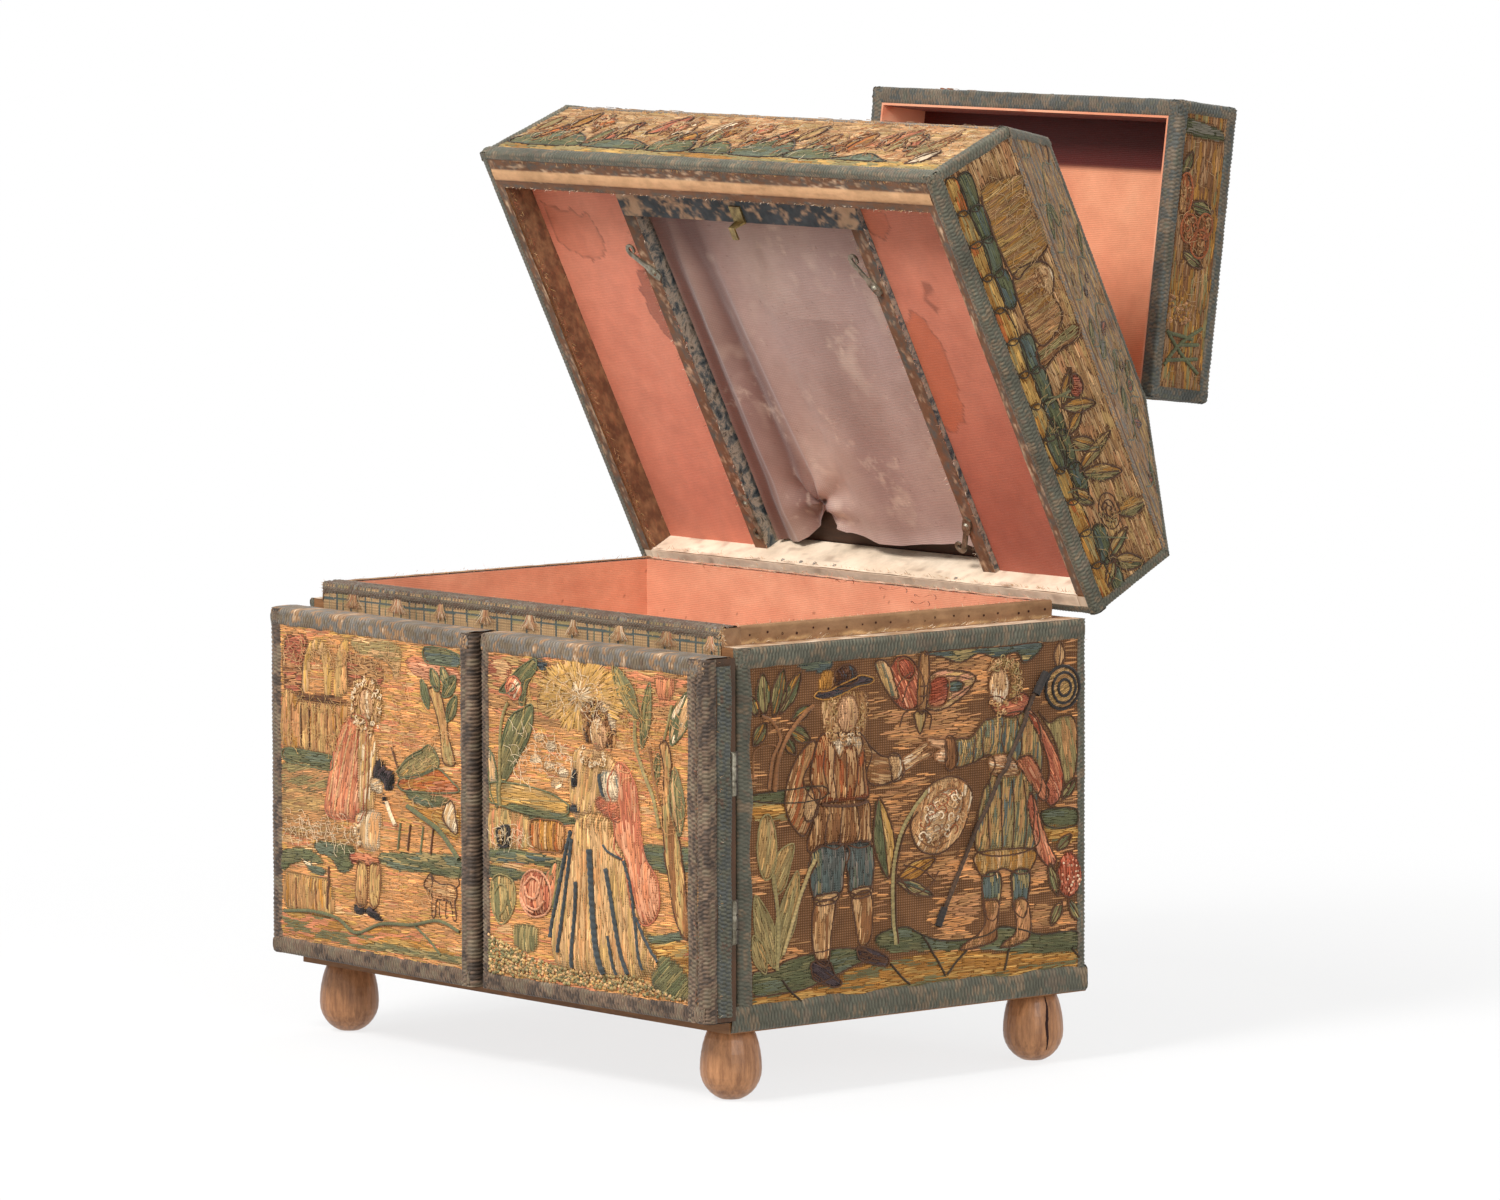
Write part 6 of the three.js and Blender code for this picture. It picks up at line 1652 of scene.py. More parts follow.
# painted shade between the woven threads, the cloth lighter on each thread
col = PAL["cream"] * (0.47 + 0.55 * thread)[..., None] * (0.8 + 0.35 * wob)[..., None]
col[(np.sin(GX / 4.7 + 2 * wob) > 0.55) & (GZ > 182)] = PAL["khaki"] * 0.85
cell = (GX + 131 + 1.2 * wob) % REPEAT
col[(cell % CHECK) < STRIPE] = PAL["blue"] * 0.7
col[(np.abs((cell % CHECK) - 4.9) < 0.35) & (noise(GX / 30, GZ * 0, 3) > 0.45)] = PAL["teal"] * 0.8
col[np.abs(GZ - 183.2 - 0.7 * wob) < 0.45] = PAL["blue"] * 0.75
rail.grid(metres(spot(GX, -0.25 - 0.4 * thread - 0.2 * wob, GZ)), col, 1)
TUFT_X, TUFT_THREADS, TUFT_COLOURS = -109.7, 110, ("warm", "leather", "cream", "tan", "rose", "white")
TUFT_Z = (187.3, 184.0, 180.0)  # where a tuft's threads leave the braid, spread and end
for i in range(9):
    x, wide = TUFT_X + REPEAT * i + RNG.normal(0, 0.7), (2.6, 1.6)[i % 3 == 2]
    for _ in range(TUFT_THREADS):
        slant = RNG.normal(0, 0.6)
        a = np.array([x + slant * wide * 0.5, -0.7, TUFT_Z[0]])
        b = np.array([x + slant * wide * 0.9, -0.9 - 0.25 * RNG.random(), TUFT_Z[1]])
        d = np.array([x + slant * wide * 2.1 + RNG.normal(0, 0.3), -1.0 - 0.6 * RNG.random(),
                      TUFT_Z[2] + RNG.random() * 1.6])
        w = np.array([0.13, 0, 0.0])
        c = PAL[TUFT_COLOURS[RNG.integers(0, 6)]] * (0.65 + 0.5 * RNG.random())
        rail.add(metres(np.array([a - w, a + w, b + w, b - w, d + w * 0.5, d - w * 0.5])),
                 [(0, 1, 2), (0, 2, 3), (3, 2, 4), (3, 4, 5)], c, 1)
RAIL_BRAID = "door3 braid door1 grey"
welt(rail, "casket", (-RX, 0, RZ1), (RX, 0, RZ1), -Y, 4.6, Z, 3.4, RAIL_BRAID, 0.9, 1.1, seed=91, pitch=1.9)
tape(rail, "casket", (-RX, -0.4, RZ1 - 2.2), (RX, -0.4, RZ1 - 2.2), -Y, 2.2, RAIL_BRAID, 0.7, 1.7, 0.2, 8, 8)
for end, out in ((RX, X), (-RX, -X)):
    skin_of(rail, "casket", lambda S, T, H: spot(end + out[0] * H, S, T), -0.6, 9.6, LEDGE - 0.6, RZ1 + 0.4,
            lambda S, T: 0.35 + 0.5 * noise(S / 2, T / 2, 5),
            lambda S, T: blend("leather", "coffee", cloud(S / 3, T / 3, 5)), 1, 0.6, flip=end < 0)
    fuzz(rail, "casket", (end, 0, LEDGE + 1), (end, 0, RZ1 + 0.6), out - 0.6 * Y, 70, "cream white sand",
         2.4)
tape(rail, "casket", (-RX, 6.2, RZ1), (RX, 6.2, RZ1), Z, 5.4, RAIL_BRAID, 1.2, 1.9, 0.2, 3)
fuzz(rail, "casket", (-RX, 8.8, RZ1), (RX, 8.8, RZ1), Z + 0.9 * Y, 420, "cream white sand silkhi", 1.9, 1.5)
fuzz(rail, "casket", (-RX, -0.8, RZ1 - 4.8), (RX, -0.8, RZ1 - 4.8), -0.3 * Y - 3 * Z, 260,
     "cream sand straw", 1.3, 0.5)
rail.object("rail_cloth", CLOTHS, "casket", "checked_cloth_on_wood")

# Compartment: silk, leather strip and loose threads
inner = Geo()
wrinkle = lambda S, T: 0.15 + 0.5 * noise(S / 16 + T / 23, T / 9 + S / 40, 3) + 0.22 * noise(S / 5, T / 6, 9)
tone = lambda S, T: blend(blend("silk", "silkhi", 0.35 + 0.9 * cloud(S / 22, T / 9, 4)), "smudge",
                          0.6 * (noise(S / 3.1, T / 2.1, 21) > 0.965)) * np.array([1.0, 1.14, 1.12])
HOLE_PITCH, HOLE_Z = 8.3, 186.6
IX, IY0, IY1, FLOOR_Z, TRAY_TOP = 126.6, 13.4, 171.6, 137.5, 189.5
RIM_OUT, STRIP_Z = 131.0, 183.2  # the leather strip's outer side, a little above its foot
LIP_X, LIP_Z, LIP_FOLD, LIP_OVER = 130.75, 182.6, 7, 4  # where the strip starts, folds and ends
for sign in (1, -1):
    skin_of(inner, "casket", lambda S, T, H: spot(sign * (IX - H), S, T), IY0, IY1, FLOOR_Z, TRAY_TOP,
            wrinkle, tone, flip=sign > 0)
skin_of(inner, "casket", lambda S, T, H: spot(S, IY1 - H, T), -IX, IX, FLOOR_Z, TRAY_TOP, wrinkle, tone)
skin_of(inner, "casket", lambda S, T, H: spot(S, IY0 + H, T), -IX, IX, FLOOR_Z, TRAY_TOP, wrinkle, tone,
        flip=True)
skin_of(inner, "casket", lambda S, T, H: spot(S, T, FLOOR_Z + H), -IX, IX, IY0, IY1, wrinkle, tone)


def ragged(S, T, at, seed):
    """A broken line along the strip at the height at."""
    near = (T - at + 1.6 * (noise(S / 4, T * 0, seed) - 0.5)) / 0.7
    return np.exp(-near ** 2) * noise(S / 6, T * 0, seed + 1)


leather = lambda S, T: blend(blend("leather", "coffee", 0.8 * cloud(S / 13, T / 2.2, 6)), "cream",
                             1.5 * ragged(S, T, 0.6, 8) + 1.3 * ragged(S, T, 9.8, 2))


def lip(S, T, H, sign):
    """The leather strip, up the tray's side and over its rim."""
    up = np.clip(T, 0, LIP_FOLD)
    over = np.clip(T - LIP_FOLD, 0, LIP_OVER)
    flat = T >= LIP_FOLD + 0.2
    return spot(sign * (LIP_X + H * ~flat - over), S, LIP_Z + up + 0.2 + H * flat)


for sign in (1, -1):
    skin_of(inner, "casket", lambda S, T, H: lip(S, T, H, sign), 9.5, 175.6, 0, LIP_FOLD + LIP_OVER,
            lambda S, T: 0.25 + 0.5 * noise(S / 6, T / 3, 5) * np.exp(-((T - 4) / 4) ** 2), leather, 3, 0.5,
            flip=sign < 0)
    for y in np.arange(14, 172, HOLE_PITCH):
        q = ring(0, 0, 0.5, n=8) * (0.8 + 0.4 * RNG.random())
        cy, cz = y + RNG.normal(0, 1.2), HOLE_Z + RNG.normal(0, 0.5)
        cone(inner, "casket", spot(sign * (RIM_OUT + 0.5), cy + q[:, 0], cz + q[:, 1]),
             (sign * (RIM_OUT + 0.25), cy, cz), PAL["maroon"] * 0.5, 3, sign < 0)
    fuzz(inner, "casket", (sign * RIM_OUT, 10, STRIP_Z), (sign * RIM_OUT, 176, STRIP_Z), X * sign + 0.8 * Z,
         240, "white cream paper", 2.6, 1.0)
    fuzz(inner, "casket", (sign * 128, 10, 189.8), (sign * 128, 176, 189.8), Z - 0.7 * X * sign, 200,
         "cream silkhi white", 2.1, 2.0)
    skin_of(inner, "casket", lambda S, T, H: spot(sign * T, S, LEDGE + H), 0.4, DEPTH - 0.4, 130.7, 139.6,
            lambda S, T: 0.04 + 0.1 * noise(S / 5, T / 3, 5),
            lambda S, T: blend("paper", "leather", noise(S / 6, T / 2, 7) * 1.2), 3, flip=sign < 0)
skin_of(inner, "casket", lambda S, T, H: spot(S, T, TRAY_TOP + H), -130.4, 130.4, IY1, 175.8,
        lambda S, T: 0.15 + 0.5 * noise(S / 5, T / 2, 5),
        lambda S, T: blend(blend("paper", "silkhi", noise(S / 9, T, 5)), "leather",
                           noise(S / 3, T / 2, 15) ** 3), 3)
fuzz(inner, "casket", (-130, 172, 189.8), (130, 172, 189.8), Z - Y, 320, "cream white silkhi", 2.3, 2.0)
LOOSE_Z = 190.2  # four curled threads that stand above the tray
for x0, y0, r in ((60, 150, 9), (92, 140, 7), (112, 120, 6), (20, 158, 6)):
    a = np.linspace(0, 4.2, 26)
    path = spot(x0 + r * np.cos(a) * (1 - a / 9), y0 + r * 0.5 * np.sin(a),
                LOOSE_Z + 1.6 * np.sin(a * 1.3) ** 2)
    w = np.array([0.12, 0.12, 0.0])
    inner.grid(metres(np.stack([path - w, path + w], 1)), np.tile(PAL["smudge"], (26, 2, 1)), 1)
inner.object("compartment_lining", LININGS, "casket", "silk_lined_card")


# Under the lid
def below(S, T, z):
    """A point under the closed lid, s from the left rim and t from the front rim, at the height z."""
    return spot(S - LID_HALF, T + LID_FRONT, z)


under = Geo()
mottle = lambda S, T: blend(blend("coffee", "leather", cloud(S / 5, T / 1.6, 3) * 1.6 - 0.3), "paper",
                            3.2 * (cloud(S / 6, T / 2.0, 8) - 0.60))


def rim_mottle(S, T):
    """Brown and slate paper with pale worn spots, fewer along its inner edge."""
    c = blend("coffee", "slate", 2.2 * (cloud(S / 3.4, T / 1.5, 43) - 0.4))
    return blend(c, "drum", 3.4 * (cloud(S / 5, T / 1.1, 58) - 0.55) - 1.2 * np.clip((T - 12.5) / 2, 0, 1))


def rim_tone(S, T):
    """The front rim: mottled paper on both sides of a pale bead, with a dark line beside it."""
    c = blend(rim_mottle(S, T), "bead", 1.9 * bead(T) * (0.75 + 0.5 * noise(S / 22, T / 2, 12)))
    dark = 1.4 * (cloud(S / 9, T / 1.3, 17) - 0.6) + 0.9 * np.exp(-((T - 13.6) / 0.8) ** 2)
    return blend(c, "coffee", dark)


PAPER_Z = RIM - 0.05  # where the rim's paper starts, just below the closed lid's rim
LINING_LEFT, LINING_RIGHT = 8, 284  # s where the papers between the side walls start and end
SIDE_IN, FRONT_IN, BACK_IN = 138.35, -1.42, 177.35  # inner faces of the papered walls
# the front rim, with a rounded pale bead
bead = lambda T: np.clip(1 - ((T - 10.0) / 2.7) ** 2, 0, 1) ** 0.5
skin_of(under, "lid", lambda S, T, H: below(S, T, PAPER_Z - H), 3.6, 288.4, 2.4, 16.0,
        lambda S, T: 0.12 + 0.4 * bead(T) + 0.1 * noise(S / 4, T, 6),
        rim_tone, 3, 0.6, flip=True)
fuzz(under, "lid", (-138, -1.8, RIM - 0.2), (138, -1.8, RIM - 0.2), -Z - 0.2 * Y, 300,
     "paper cream coffee", 1.3, 0.5)
fuzz(under, "lid", (-142, -14.9, RIM - 0.3), (142, -14.9, RIM - 0.3), -Z * 0.5 + Y, 260,
     "cream straw ochre coffee", 1.8, 0.5)
for sign in (1, -1):
    skin_of(under, "lid", lambda S, T, H: spot(sign * (LID_HALF - S), T + LID_FRONT, PAPER_Z - H), 3.0, 7.6,
            3.0, 194.0, lambda S, T: 0.1 + 0.2 * noise(S / 3, T / 5, 3), lambda S, T: rim_mottle(T, S), 3,
            0.6, flip=sign > 0)
# inner faces of the walls
wall = lambda S, T: blend(blend("leather", "coffee", cloud(S / 2, T / 4, 4) * 2.0 - 0.3), "salmon",
                          1.4 * (cloud(S / 1.5, T / 4, 14) - 0.6))
for sign in (1, -1):
    skin_of(under, "lid", lambda S, T, H: spot(sign * (SIDE_IN - H), T + LID_FRONT, RIM + S), 0.4, 16.4,
            16.2, 194.6, lambda S, T: 0.1 + 0.3 * noise(S / 5, T / 6, 3), lambda S, T: 0.8 * wall(S, T), 3,
            0.5, flip=sign < 0)
    fuzz(under, "lid", (sign * 138.3, 0, RIM + 1.9), (sign * 138.3, 177, RIM + 1.9), -X * sign - 0.4 * Z,
         420, "cream rose straw coffee", 2.6, 0.8)
    fuzz(under, "lid", (sign * 137.6, 0, 196), (sign * 137.6, 177, 196), -X * sign - 0.8 * Z, 160,
         "cream silkhi coffee", 2.2, 0.8)
skin_of(under, "lid", lambda S, T, H: spot(S - LID_HALF, FRONT_IN + H, RIM + T), LINING_LEFT, LINING_RIGHT,
        0.4, 16, lambda S, T: 0.05 + 0.08 * noise(S / 5, T / 6, 3), mottle, 3, flip=True)
stain = lambda S, T: blend(blend("paper", "drum", 0.3 * noise(S / 11, T / 5, 4)), "coffee",
                           1.5 * (noise(S / 6, T / 3, 24) - 0.72) + 0.7 * (T < 2.5) * noise(S / 4, T, 5))
skin_of(under, "lid", lambda S, T, H: spot(S - LID_HALF, BACK_IN - H, RIM + T), LINING_LEFT, LINING_RIGHT,
        0.4, 19.8, lambda S, T: 0.12 + 0.35 * noise(S / 14, T / 7, 3), stain, 3)
fuzz(under, "lid", (-137, 177.2, RIM + 1.9), (137, 177.2, RIM + 1.9), -Y - 0.4 * Z, 300,
     "paper cream leather", 2.4, 0.6)
skin_of(under, "lid", lambda S, T, H: spot(S - LID_HALF, T, PAPER_Z - H), LINING_LEFT, LINING_RIGHT, 177.3,
        182.6, lambda S, T: 0.05 + 0.15 * noise(S / 14, T / 3, 3), lambda S, T: stain(S, T - 170), 3, 0.8,
        flip=True)
# the two silk panels, with tide marks
RIGHT_MARKS = (("219,126 229,129 238,124 243,108 244,90 240,76 232,70 219,80", "tide", 0.85, "smudge"),
               ("220,24 240,24 239,31 232,38 224,33", "tide", 0.5, "smudge"),
               ("243,55 251,56 252,62 246,64 253,68 248,72 243,66", "smudge", 0.8, None))
LEFT_MARKS = (("58,62 67,60 68,90 69,100 62,92 56,82", "smudge", 0.75, "maroon"),
              ("11,30 40,34 44,52 30,58 12,50", "tide", 0.25, "smudge"))


def old_silk(S, T):
    """Faded pink silk in two shades."""
    return blend("silk", "silkhi", 0.05 + 0.9 * cloud(S / 30, T / 34, 4))


def silk_tone(marks, tint):
    """A colour function for silk with tide marks and stains, darker towards the back."""
    def tone(S, T):
        c = old_silk(S, T)
        c = c * (0.94 + 0.1 * cloud(S / 4, T / 5, 44))[..., None] * np.array(tint)
        c = c * (1 - edge_shade(S, T)[..., None] * np.array([0.7, 0.95, 1.0]))
        for k, (poly, name, much, rim) in enumerate(marks):
            body, line = blot(S, T, poly, 1.5, 4.0, 40 + k)
            c = blend(c, name, body * much * 0.75)
            if rim:
                c = blend(c, rim, line * 0.6)
        return c
    return tone


ceiling_wrinkle = lambda S, T: 0.05 + 0.35 * noise(S / 14, T / 22, 5) + 0.12 * noise(S / 4, T / 5, 8)
edge_shade = lambda S, T: (0.30 + 0.30 * (S > 150)) * np.clip((T - 80) / 105, 0, 1)
CEILING_FRONT, CEILING_BACK, CEILING_LOW, CEILING_TOP = 16.4, 194.6, 195.5, 199.5
for name, s0, s1, marks, tint in (("left", 7.9, 67.9, LEFT_MARKS, (1.2, 1.14, 1.14)),
                                  ("right", 224.1, 284.1, RIGHT_MARKS, (0.97, 0.86, 0.84))):
    side = Geo()
    skin_of(side, "lid", lambda S, T, H: below(S, T, CEILING_LOW - H), s0 + 0.2, s1 - 0.2, CEILING_FRONT,
            CEILING_BACK, ceiling_wrinkle, silk_tone(marks, tint), flip=True)
    skin_of(side, "lid", lambda S, T, H: below(S, T, CEILING_TOP + H), s0 + 0.2, s1 - 0.2, CEILING_FRONT,
            CEILING_BACK, lambda S, T: 0 * S, lambda S, T: blend("drum", "paper", noise(S / 9, T / 9, 5)), 3,
            4.0)
    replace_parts(side.object("ceiling_silk_" + name, LININGS, "lid", "silk"), "ceiling_panel_" + name)
# the top lid's silk, with a painted shadow in deep red under its front wall and on the wall's inner side
SILK_Z, SILK_EDGE, FRONT_SILK = SZ1 - 1.4 - 6.0 - 0.1, 7.1, 7.15
inner_silk = Geo()


def inner_silk_with_painted_shade(S, T):
    """Pink silk, with painted light towards the hinge and a painted shadow in deep red at the front."""
    c = old_silk(S, T) * np.array((1.16, 1.36, 1.25))
    # painted light: paler towards the hinge, against the shade of the lid's canted part
    c = np.clip(c * (1 + 0.3 * np.clip((T - 60) / 50, 0, 1))[..., None], 0, 0.92)
    return blend(c, "shadow_red", np.clip((22.5 - T) / 2.5, 0, 1))


skin_of(inner_silk, "top_lid", lambda S, T, H: spot(SX - SILK_EDGE - S, SY0 + SILK_EDGE + T, SILK_Z - H),
        0.0, 2 * (SX - SILK_EDGE), 0.0, SY1 - SY0 - 2 * SILK_EDGE,
        lambda S, T: 0.15 * noise(S / 14, T / 22, 5), inner_silk_with_painted_shade)
# the front wall's inner side in deep red: painted shade
skin_of(inner_silk, "top_lid", lambda S, T, H: spot(SX - SILK_EDGE - S, SY0 + FRONT_SILK + H, SILK_Z - T),
        0.0, 2 * (SX - SILK_EDGE), 0.0, SILK_Z - SZ0 - 0.6, lambda S, T: 0 * S,
        lambda S, T: blend("shadow_red", "silk", 0.25 + 0 * S), flip=True)
inner_silk.object("top_lid_silk", LININGS, "top_lid", "silk")
# paper on the recess frame: brown mottled rails, blue and cream marbling across the front
rail_tone = lambda S, T: blend(blend("coffee", "slate", 2.6 * (cloud(S / 2.8, T / 4, 33) - 0.42)), "drum",
                               2.6 * (cloud(S / 2.4, T / 3.6, 18) - 0.58))


def band_tone(S, T):
    """Blue and cream marbling, with more cream at the two corners."""
    pale = cloud(S / 4.4, T / 3.2, 28) - 0.50 - 0.06 * np.exp(-((S - 170) / 40) ** 2)
    pale = pale + 0.34 * np.exp(-((S - 76) / 7) ** 2) + 0.34 * np.exp(-((S - 217) / 8) ** 2)
    return blend(blend("marble", "navy", 1.3 * cloud(S / 4, T / 3, 3) - 0.3), "drum", 4.0 * pale)


FRAME_Z, RAIL_LEFT, RAIL_RIGHT, RAIL_W, BAND_BACK = 193.05, 68.1, 216.1, 7.8, 32.2
for s0 in (RAIL_LEFT, RAIL_RIGHT):
    skin_of(under, "lid", lambda S, T, H: below(S, T, FRAME_Z - H), s0, s0 + RAIL_W, BAND_BACK + 0.2,
            CEILING_BACK, lambda S, T: 0.02 + 0.1 * noise(S / 3, T / 4, 5), rail_tone, 3, 0.6, flip=True)
skin_of(under, "lid", lambda S, T, H: below(S, T, FRAME_Z - H), RAIL_LEFT, RAIL_RIGHT + RAIL_W,
        CEILING_FRONT, BAND_BACK, lambda S, T: 0.05 + 0.25 * noise(S / 3, T / 4, 5), band_tone, 3, 0.6,
        flip=True)
for x in (-78.2, -69.8, 69.8, 78.2):
    off = X * (1 if abs(x) > 75 else -1) * (1 if x > 0 else -1)  # away from the rail's middle
    fuzz(under, "lid", (x, 14, 193), (x, 177, 193), -Z + 0.8 * off, 170, "coffee paper silk cream", 1.8, 0.5)
NAIL_Z, NAIL_FOOT_Y, NAIL_TIP_Y = 183.6 + 2.2, 177.0, 176.2
for x in (-40, -31, -18, 60, -52):
    nail = ring(x, NAIL_Z, 1.0, n=8)
    cone(under, "lid", spot(nail[:, 0], NAIL_FOOT_Y, nail[:, 1]), (x, NAIL_TIP_Y, NAIL_Z),
         PAL["grey"] * 1.2, 2)
under.object("lid_papers", LININGS, "lid", "marbled_paper_on_wood")

# The loose lavender sheet that hangs in the recess, drawn up to a pucker at its lower edge
sheet = Geo()
HEM_S = (79, 90, 100, 110, 115, 118, 121, 125, 130, 150, 165, 185, 205, 213)
HEM_T = (193, 193, 190, 184, 179, 175.5, 177, 181, 184.5, 188, 187.5, 185.5, 184, 185.5)
SHEET_LEFT, SHEET_RIGHT, SHEET_TOP, SHEET_Z = 78.6, 213.4, 32.9, 197.9
PUCKER_S, PUCKER_T = 118, 175
NEAREST_Z, FARTHEST_Z = 193.5, 202.6  # how far the folds may stand out and reach in
sheet_s, sheet_t = np.linspace(SHEET_LEFT, SHEET_RIGHT, 190), np.linspace(0, 1, 210)
SS, TT = np.meshgrid(sheet_s, sheet_t)
hem = np.interp(SS, HEM_S, HEM_T)
TM = SHEET_TOP + TT * (hem - SHEET_TOP)
grow = np.clip((TM - 42) / 45, 0, 1)
slip = (TM - 100) * 0.10
fold = (2.1 * np.exp(-((SS - 83.5) / 3.4) ** 2) - 2.0 * np.exp(-((SS - 92.5 - slip * 0.3) / 3.0) ** 2)
        + 2.2 * np.exp(-((SS - 103 - slip * 0.5) / 5.0) ** 2) - 2.3 * np.exp(-((SS - 118 - slip) / 3.6) ** 2)
        + 0.9 * np.exp(-((SS - 131 - slip) / 6.0) ** 2)
        - 0.9 * np.sin((SS - 135) / 17.0) * np.exp(-((SS - 165) / 40) ** 2)
        + 0.5 * np.sin(SS / 6.1 + TM / 40) * np.exp(-((SS - 190) / 18) ** 2))
dx, dt = SS - PUCKER_S, TM - PUCKER_T
rad = np.hypot(dx, dt)
fold = fold * (0.12 + 0.88 * grow) * np.clip(1.15 - 0.2 * (rad < 8), 0, 1)
fold += 1.5 * np.cos(5.5 * np.arctan2(dx,
                                      -dt - 3)) * np.exp(-(rad / 26) ** 2) + 2.2 * np.exp(-(rad / 6) ** 2)
fold += 0.18 * (noise(SS / 6, TM / 9, 4) - 0.5)
lift = np.where(TM > hem - 7, -1.6 * ((TM - hem + 7) / 7) ** 2 * (SS > 126), 0)
ZZ = np.clip(SHEET_Z + fold + lift, NEAREST_Z, FARTHEST_Z)
shade = (0.75 * np.exp(-((SS - 84) / 5) ** 2) + 0.75 * np.exp(-((SS - 106 - slip * 0.5) / 9) ** 2)
         + 0.55 * np.clip((128 - SS) / 50, 0, 1) + 0.35 * np.exp(-((SS - 165) / 14) ** 2) * (TM > 80)
         + 0.9 * np.exp(-(rad / 7) ** 2) + 0.2 * np.clip((60 - TM) / 25, 0, 1))
SC = blend(blend("lav", "lavhi", 0.2 + 0.9 * noise(SS / 28, TM / 30, 5)), "lavlo", shade)
speck = np.clip(9 * (cloud(SS / 3.4, TM / 3.4, 51) * 0.6 + noise(SS / 19, TM / 15, 52) * 0.4 - 0.60), 0, 1)
SC = blend(SC, "paper", 0.26 * speck * (TM > 36) + 1.2 * (cloud(SS / 16, TM / 19, 77) - 0.62))
SC = blend(SC, "lavlo", 0.4 * (noise(SS / 1.3, TM / 1.3, 61) > 0.96))
sheet_points = metres(below(SS, TM, ZZ), "lid")
sheet.grid(sheet_points, SC, 0, np.stack([SS, TM], -1) / 10, flip=True)
loose = sheet.object("lavender_sheet", LININGS, "lid", "loose_silk")
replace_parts(loose, "recess_lining_sheet")

# Silk and braid on the drawer fronts
DRAWER_FRONT = 11.95
for name in ("drawer_bottom", "drawer_middle_left", "drawer_middle_right", "drawer_upper_left",
             "drawer_upper_right"):
    low, high = (np.array(c) * 1000 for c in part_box(name))
    (a0, _, b0), (a1, _, b1) = low, high
    face, fy = Geo(), DRAWER_FRONT
    silk_face(face, "casket", a0 + 0.6, a1 - 0.6, b0 + 0.6, b1 - 0.6, fy, -1)
    for z in (b0 + 2.6, b1 - 2.6):
        tape(face, "casket", (a0 + 0.8, fy, z), (a1 - 0.8, fy, z), -Y, 3.6, BROWN_BRAID, 0.6)
    for x in (a0 + 2.6, a1 - 2.6):
        tape(face, "casket", (x, fy, b0 + 1), (x, fy, b1 - 1), -Y, 3.6, BROWN_BRAID, 0.7)
    face.object(name + "_silk", LININGS, "casket", "silk")

# The crack in the right-hand back foot, on the foot's egg shape
crack = Geo()
FOOT_X, FOOT_Y, FOOT_R, WAIST_Z = 126, 170, 12.5, 12
CZ = np.linspace(5, 27, 40)
CR = FOOT_R * np.sqrt(1 - ((CZ - WAIST_Z) / np.where(CZ > WAIST_Z, 23.78, 12.78)) ** 2)
CA = math.radians(-13) + 0.03 * np.sin(CZ / 3) + 0.03 * (noise(CZ / 1.5, CZ * 0, 4) - 0.5)
half = (0.55 * np.sin(np.linspace(0.1, 3.0, 40)) + 0.12) / CR
edge = [spot(FOOT_X + (CR + up) * np.cos(CA + k * half), FOOT_Y + (CR + up) * np.sin(CA + k * half), CZ)
        for k, up in ((-1, 0.02), (0, 0.22), (1, 0.02))]
crack.grid(metres(np.stack(edge, 1)), np.tile(PAL["maroon"] * 0.25, (40, 3, 1)), 3, flip=True)
crack.object("foot_crack", LININGS, "casket", "turned_wood")

# Camera, light and floor
AZ, EL, ROLL = 50.158, 5.539, -0.152  # degrees
CAMERA_X, CAMERA_Y, CAMERA_Z = 2.84625, -2.25119, 0.54338  # metres, y from the carcass front
FOCAL_PX, PICTURE_PX, SENSOR = 8912.6, 1500, 36.0
az, el, roll = (math.radians(a) for a in (AZ, EL, ROLL))
back_v = Vector((math.sin(az) * math.cos(el), -math.cos(az) * math.cos(el), math.sin(el)))
right_v = (-back_v).cross(Vector((0, 0, 1))).normalized()
up_v = right_v.cross(-back_v)
r2, u2 = right_v * math.cos(roll) + up_v * math.sin(roll), -right_v * math.sin(roll) + up_v * math.cos(roll)
cam = bpy.data.cameras.new("camera")
cam.sensor_width, cam.sensor_fit, cam.lens = SENSOR, "HORIZONTAL", FOCAL_PX / PICTURE_PX * SENSOR
cam.clip_end = 50
camera = bpy.data.objects.new("camera", cam)
m = Matrix((r2, u2, back_v)).transposed().to_4x4()
m.translation = Vector((CAMERA_X, CAMERA_Y + SHIFT_Y / 1000, CAMERA_Z))
camera.matrix_world = m
bpy.context.scene.collection.objects.link(camera)
bpy.context.scene.camera = camera


def lamp(name, place, target, size, power):
    """A round white lamp, aimed at the target."""
    data = bpy.data.lights.new(name, "AREA")
    data.shape, data.size, data.energy = "DISK", size, power
    obj = bpy.data.objects.new(name, data)
    obj.location = place
    obj.rotation_euler = (Vector(target) - Vector(place)).to_track_quat("-Z", "Y").to_euler()
    bpy.context.scene.collection.objects.link(obj)


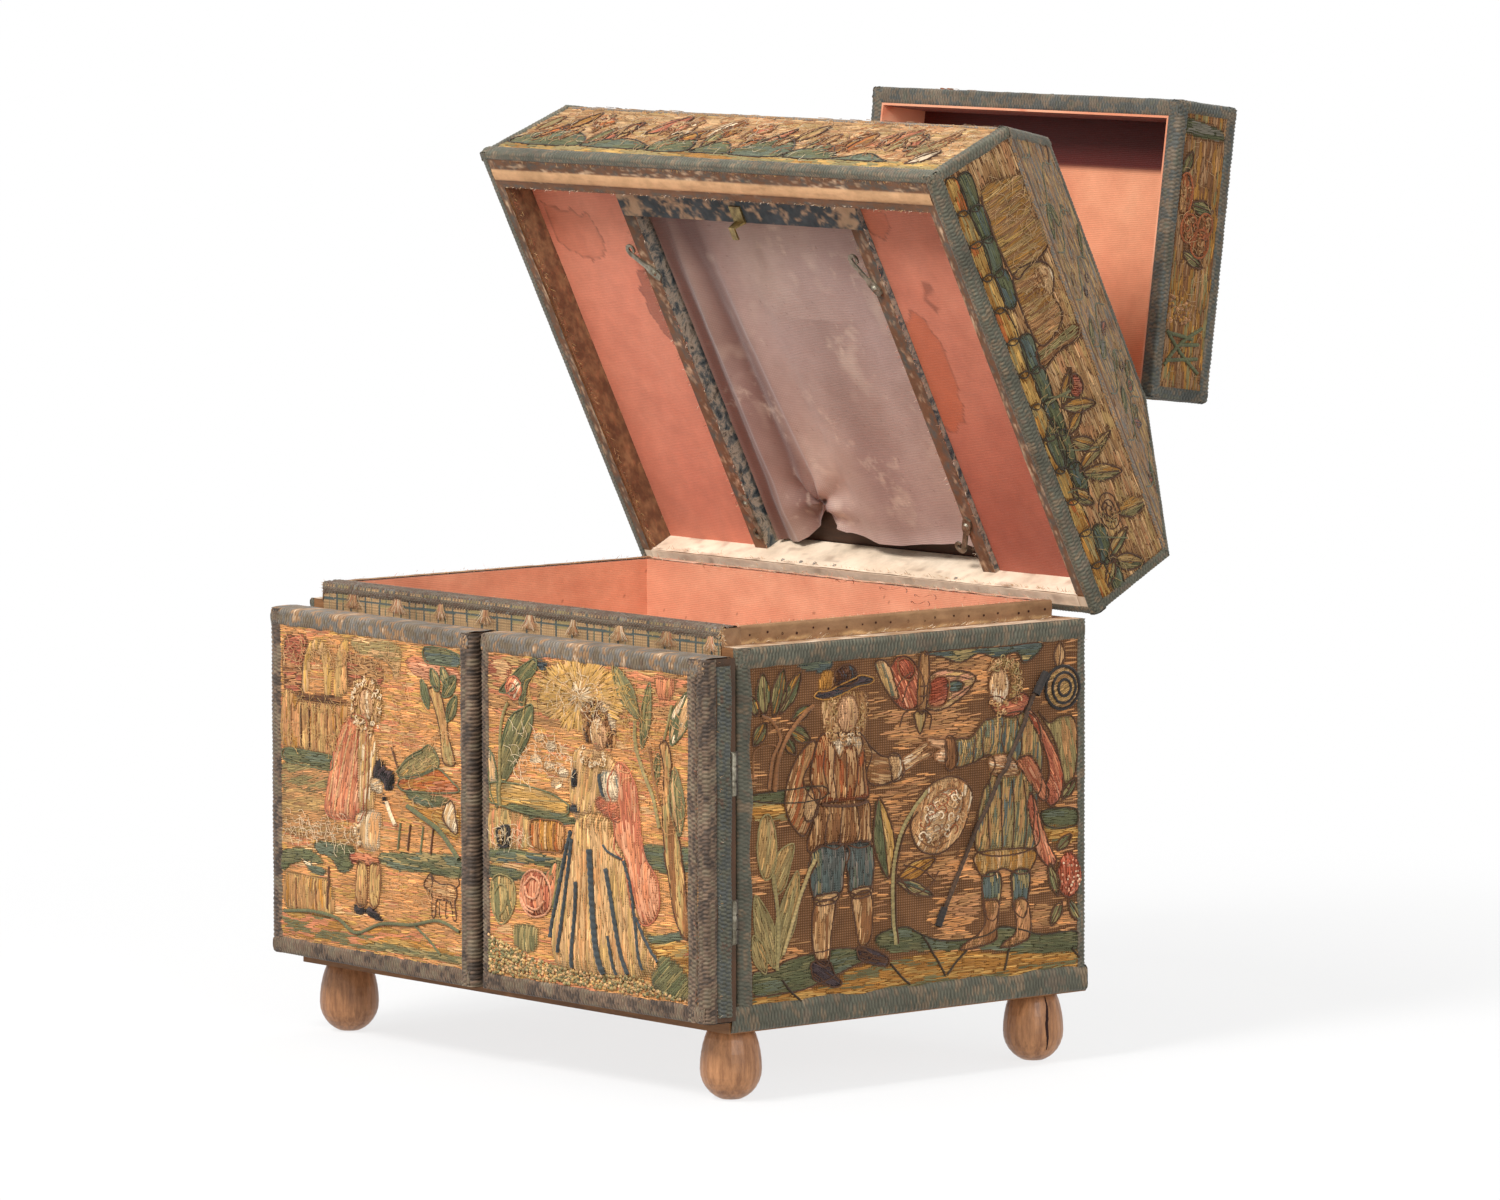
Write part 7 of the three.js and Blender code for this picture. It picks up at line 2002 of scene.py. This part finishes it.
lamp("key", (0.30, -1.85, 2.0), (0, 0, 0.15), 0.8, 58)
lamp("fill", (2.3, -0.6, 0.8), (0, 0, 0.2), 1.2, 17)
lamp("back", (-0.6, 1.2, 2.2), (0, 0, 0.2), 1.2, 7)

# World: soft grey light, seen as white by the camera and in glossy reflections
world = bpy.data.worlds.new("world")
bpy.context.scene.world = world
world.use_nodes = True
wn = Net(world.node_tree)
bg = world.node_tree.nodes["Background"]
bg.inputs["Color"].default_value = (1, 1, 1, 1)
bg.inputs["Strength"].default_value = 0.48
white = wn.node("Background")
white.inputs["Color"].default_value = (1, 1, 1, 1)
white.inputs["Strength"].default_value = 1.0
path = wn.node("LightPath")
pick = wn.node("MixShader")
seen = wn.math("MAXIMUM", path.outputs["Is Camera Ray"], path.outputs["Is Glossy Ray"])
seen = wn.math("MAXIMUM", seen, path.outputs["Is Transmission Ray"])
wn.link(seen, pick.inputs["Fac"])
wn.link(bg.outputs[0], pick.inputs[1])
wn.link(white.outputs[0], pick.inputs[2])
wn.link(pick.outputs[0], world.node_tree.nodes["World Output"].inputs["Surface"])

# A white floor that fades out away from the casket
bpy.ops.mesh.primitive_circle_add(vertices=96, radius=3, fill_type="NGON", location=(0, 0, -0.0004))
floor = bpy.context.object
floor.name = "floor"
fm, fnt, fb = node_material("floor", 0.9, spec=0.1)
fb.inputs["Base Color"].default_value = (0.93, 0.925, 0.92, 1)
fn = Net(fnt)
far = fn.node("VectorMath", operation="LENGTH")
fn.link(fn.coords("Object"), far.inputs[0])
fade = fn.ramp(far.outputs["Value"], [(0.28, (0.78, 0.78, 0.78)), (0.7, (1, 1, 1))])
clear = fn.node("BsdfTransparent")
thin = fn.node("MixShader")
fn.link(fade, thin.inputs["Fac"])
fn.link(fb.outputs[0], thin.inputs[1])
fn.link(clear.outputs[0], thin.inputs[2])
fn.link(thin.outputs[0], fnt.nodes["Material Output"].inputs["Surface"])
floor.data.materials.append(fm)

bpy.context.scene.view_settings.view_transform = "Standard"
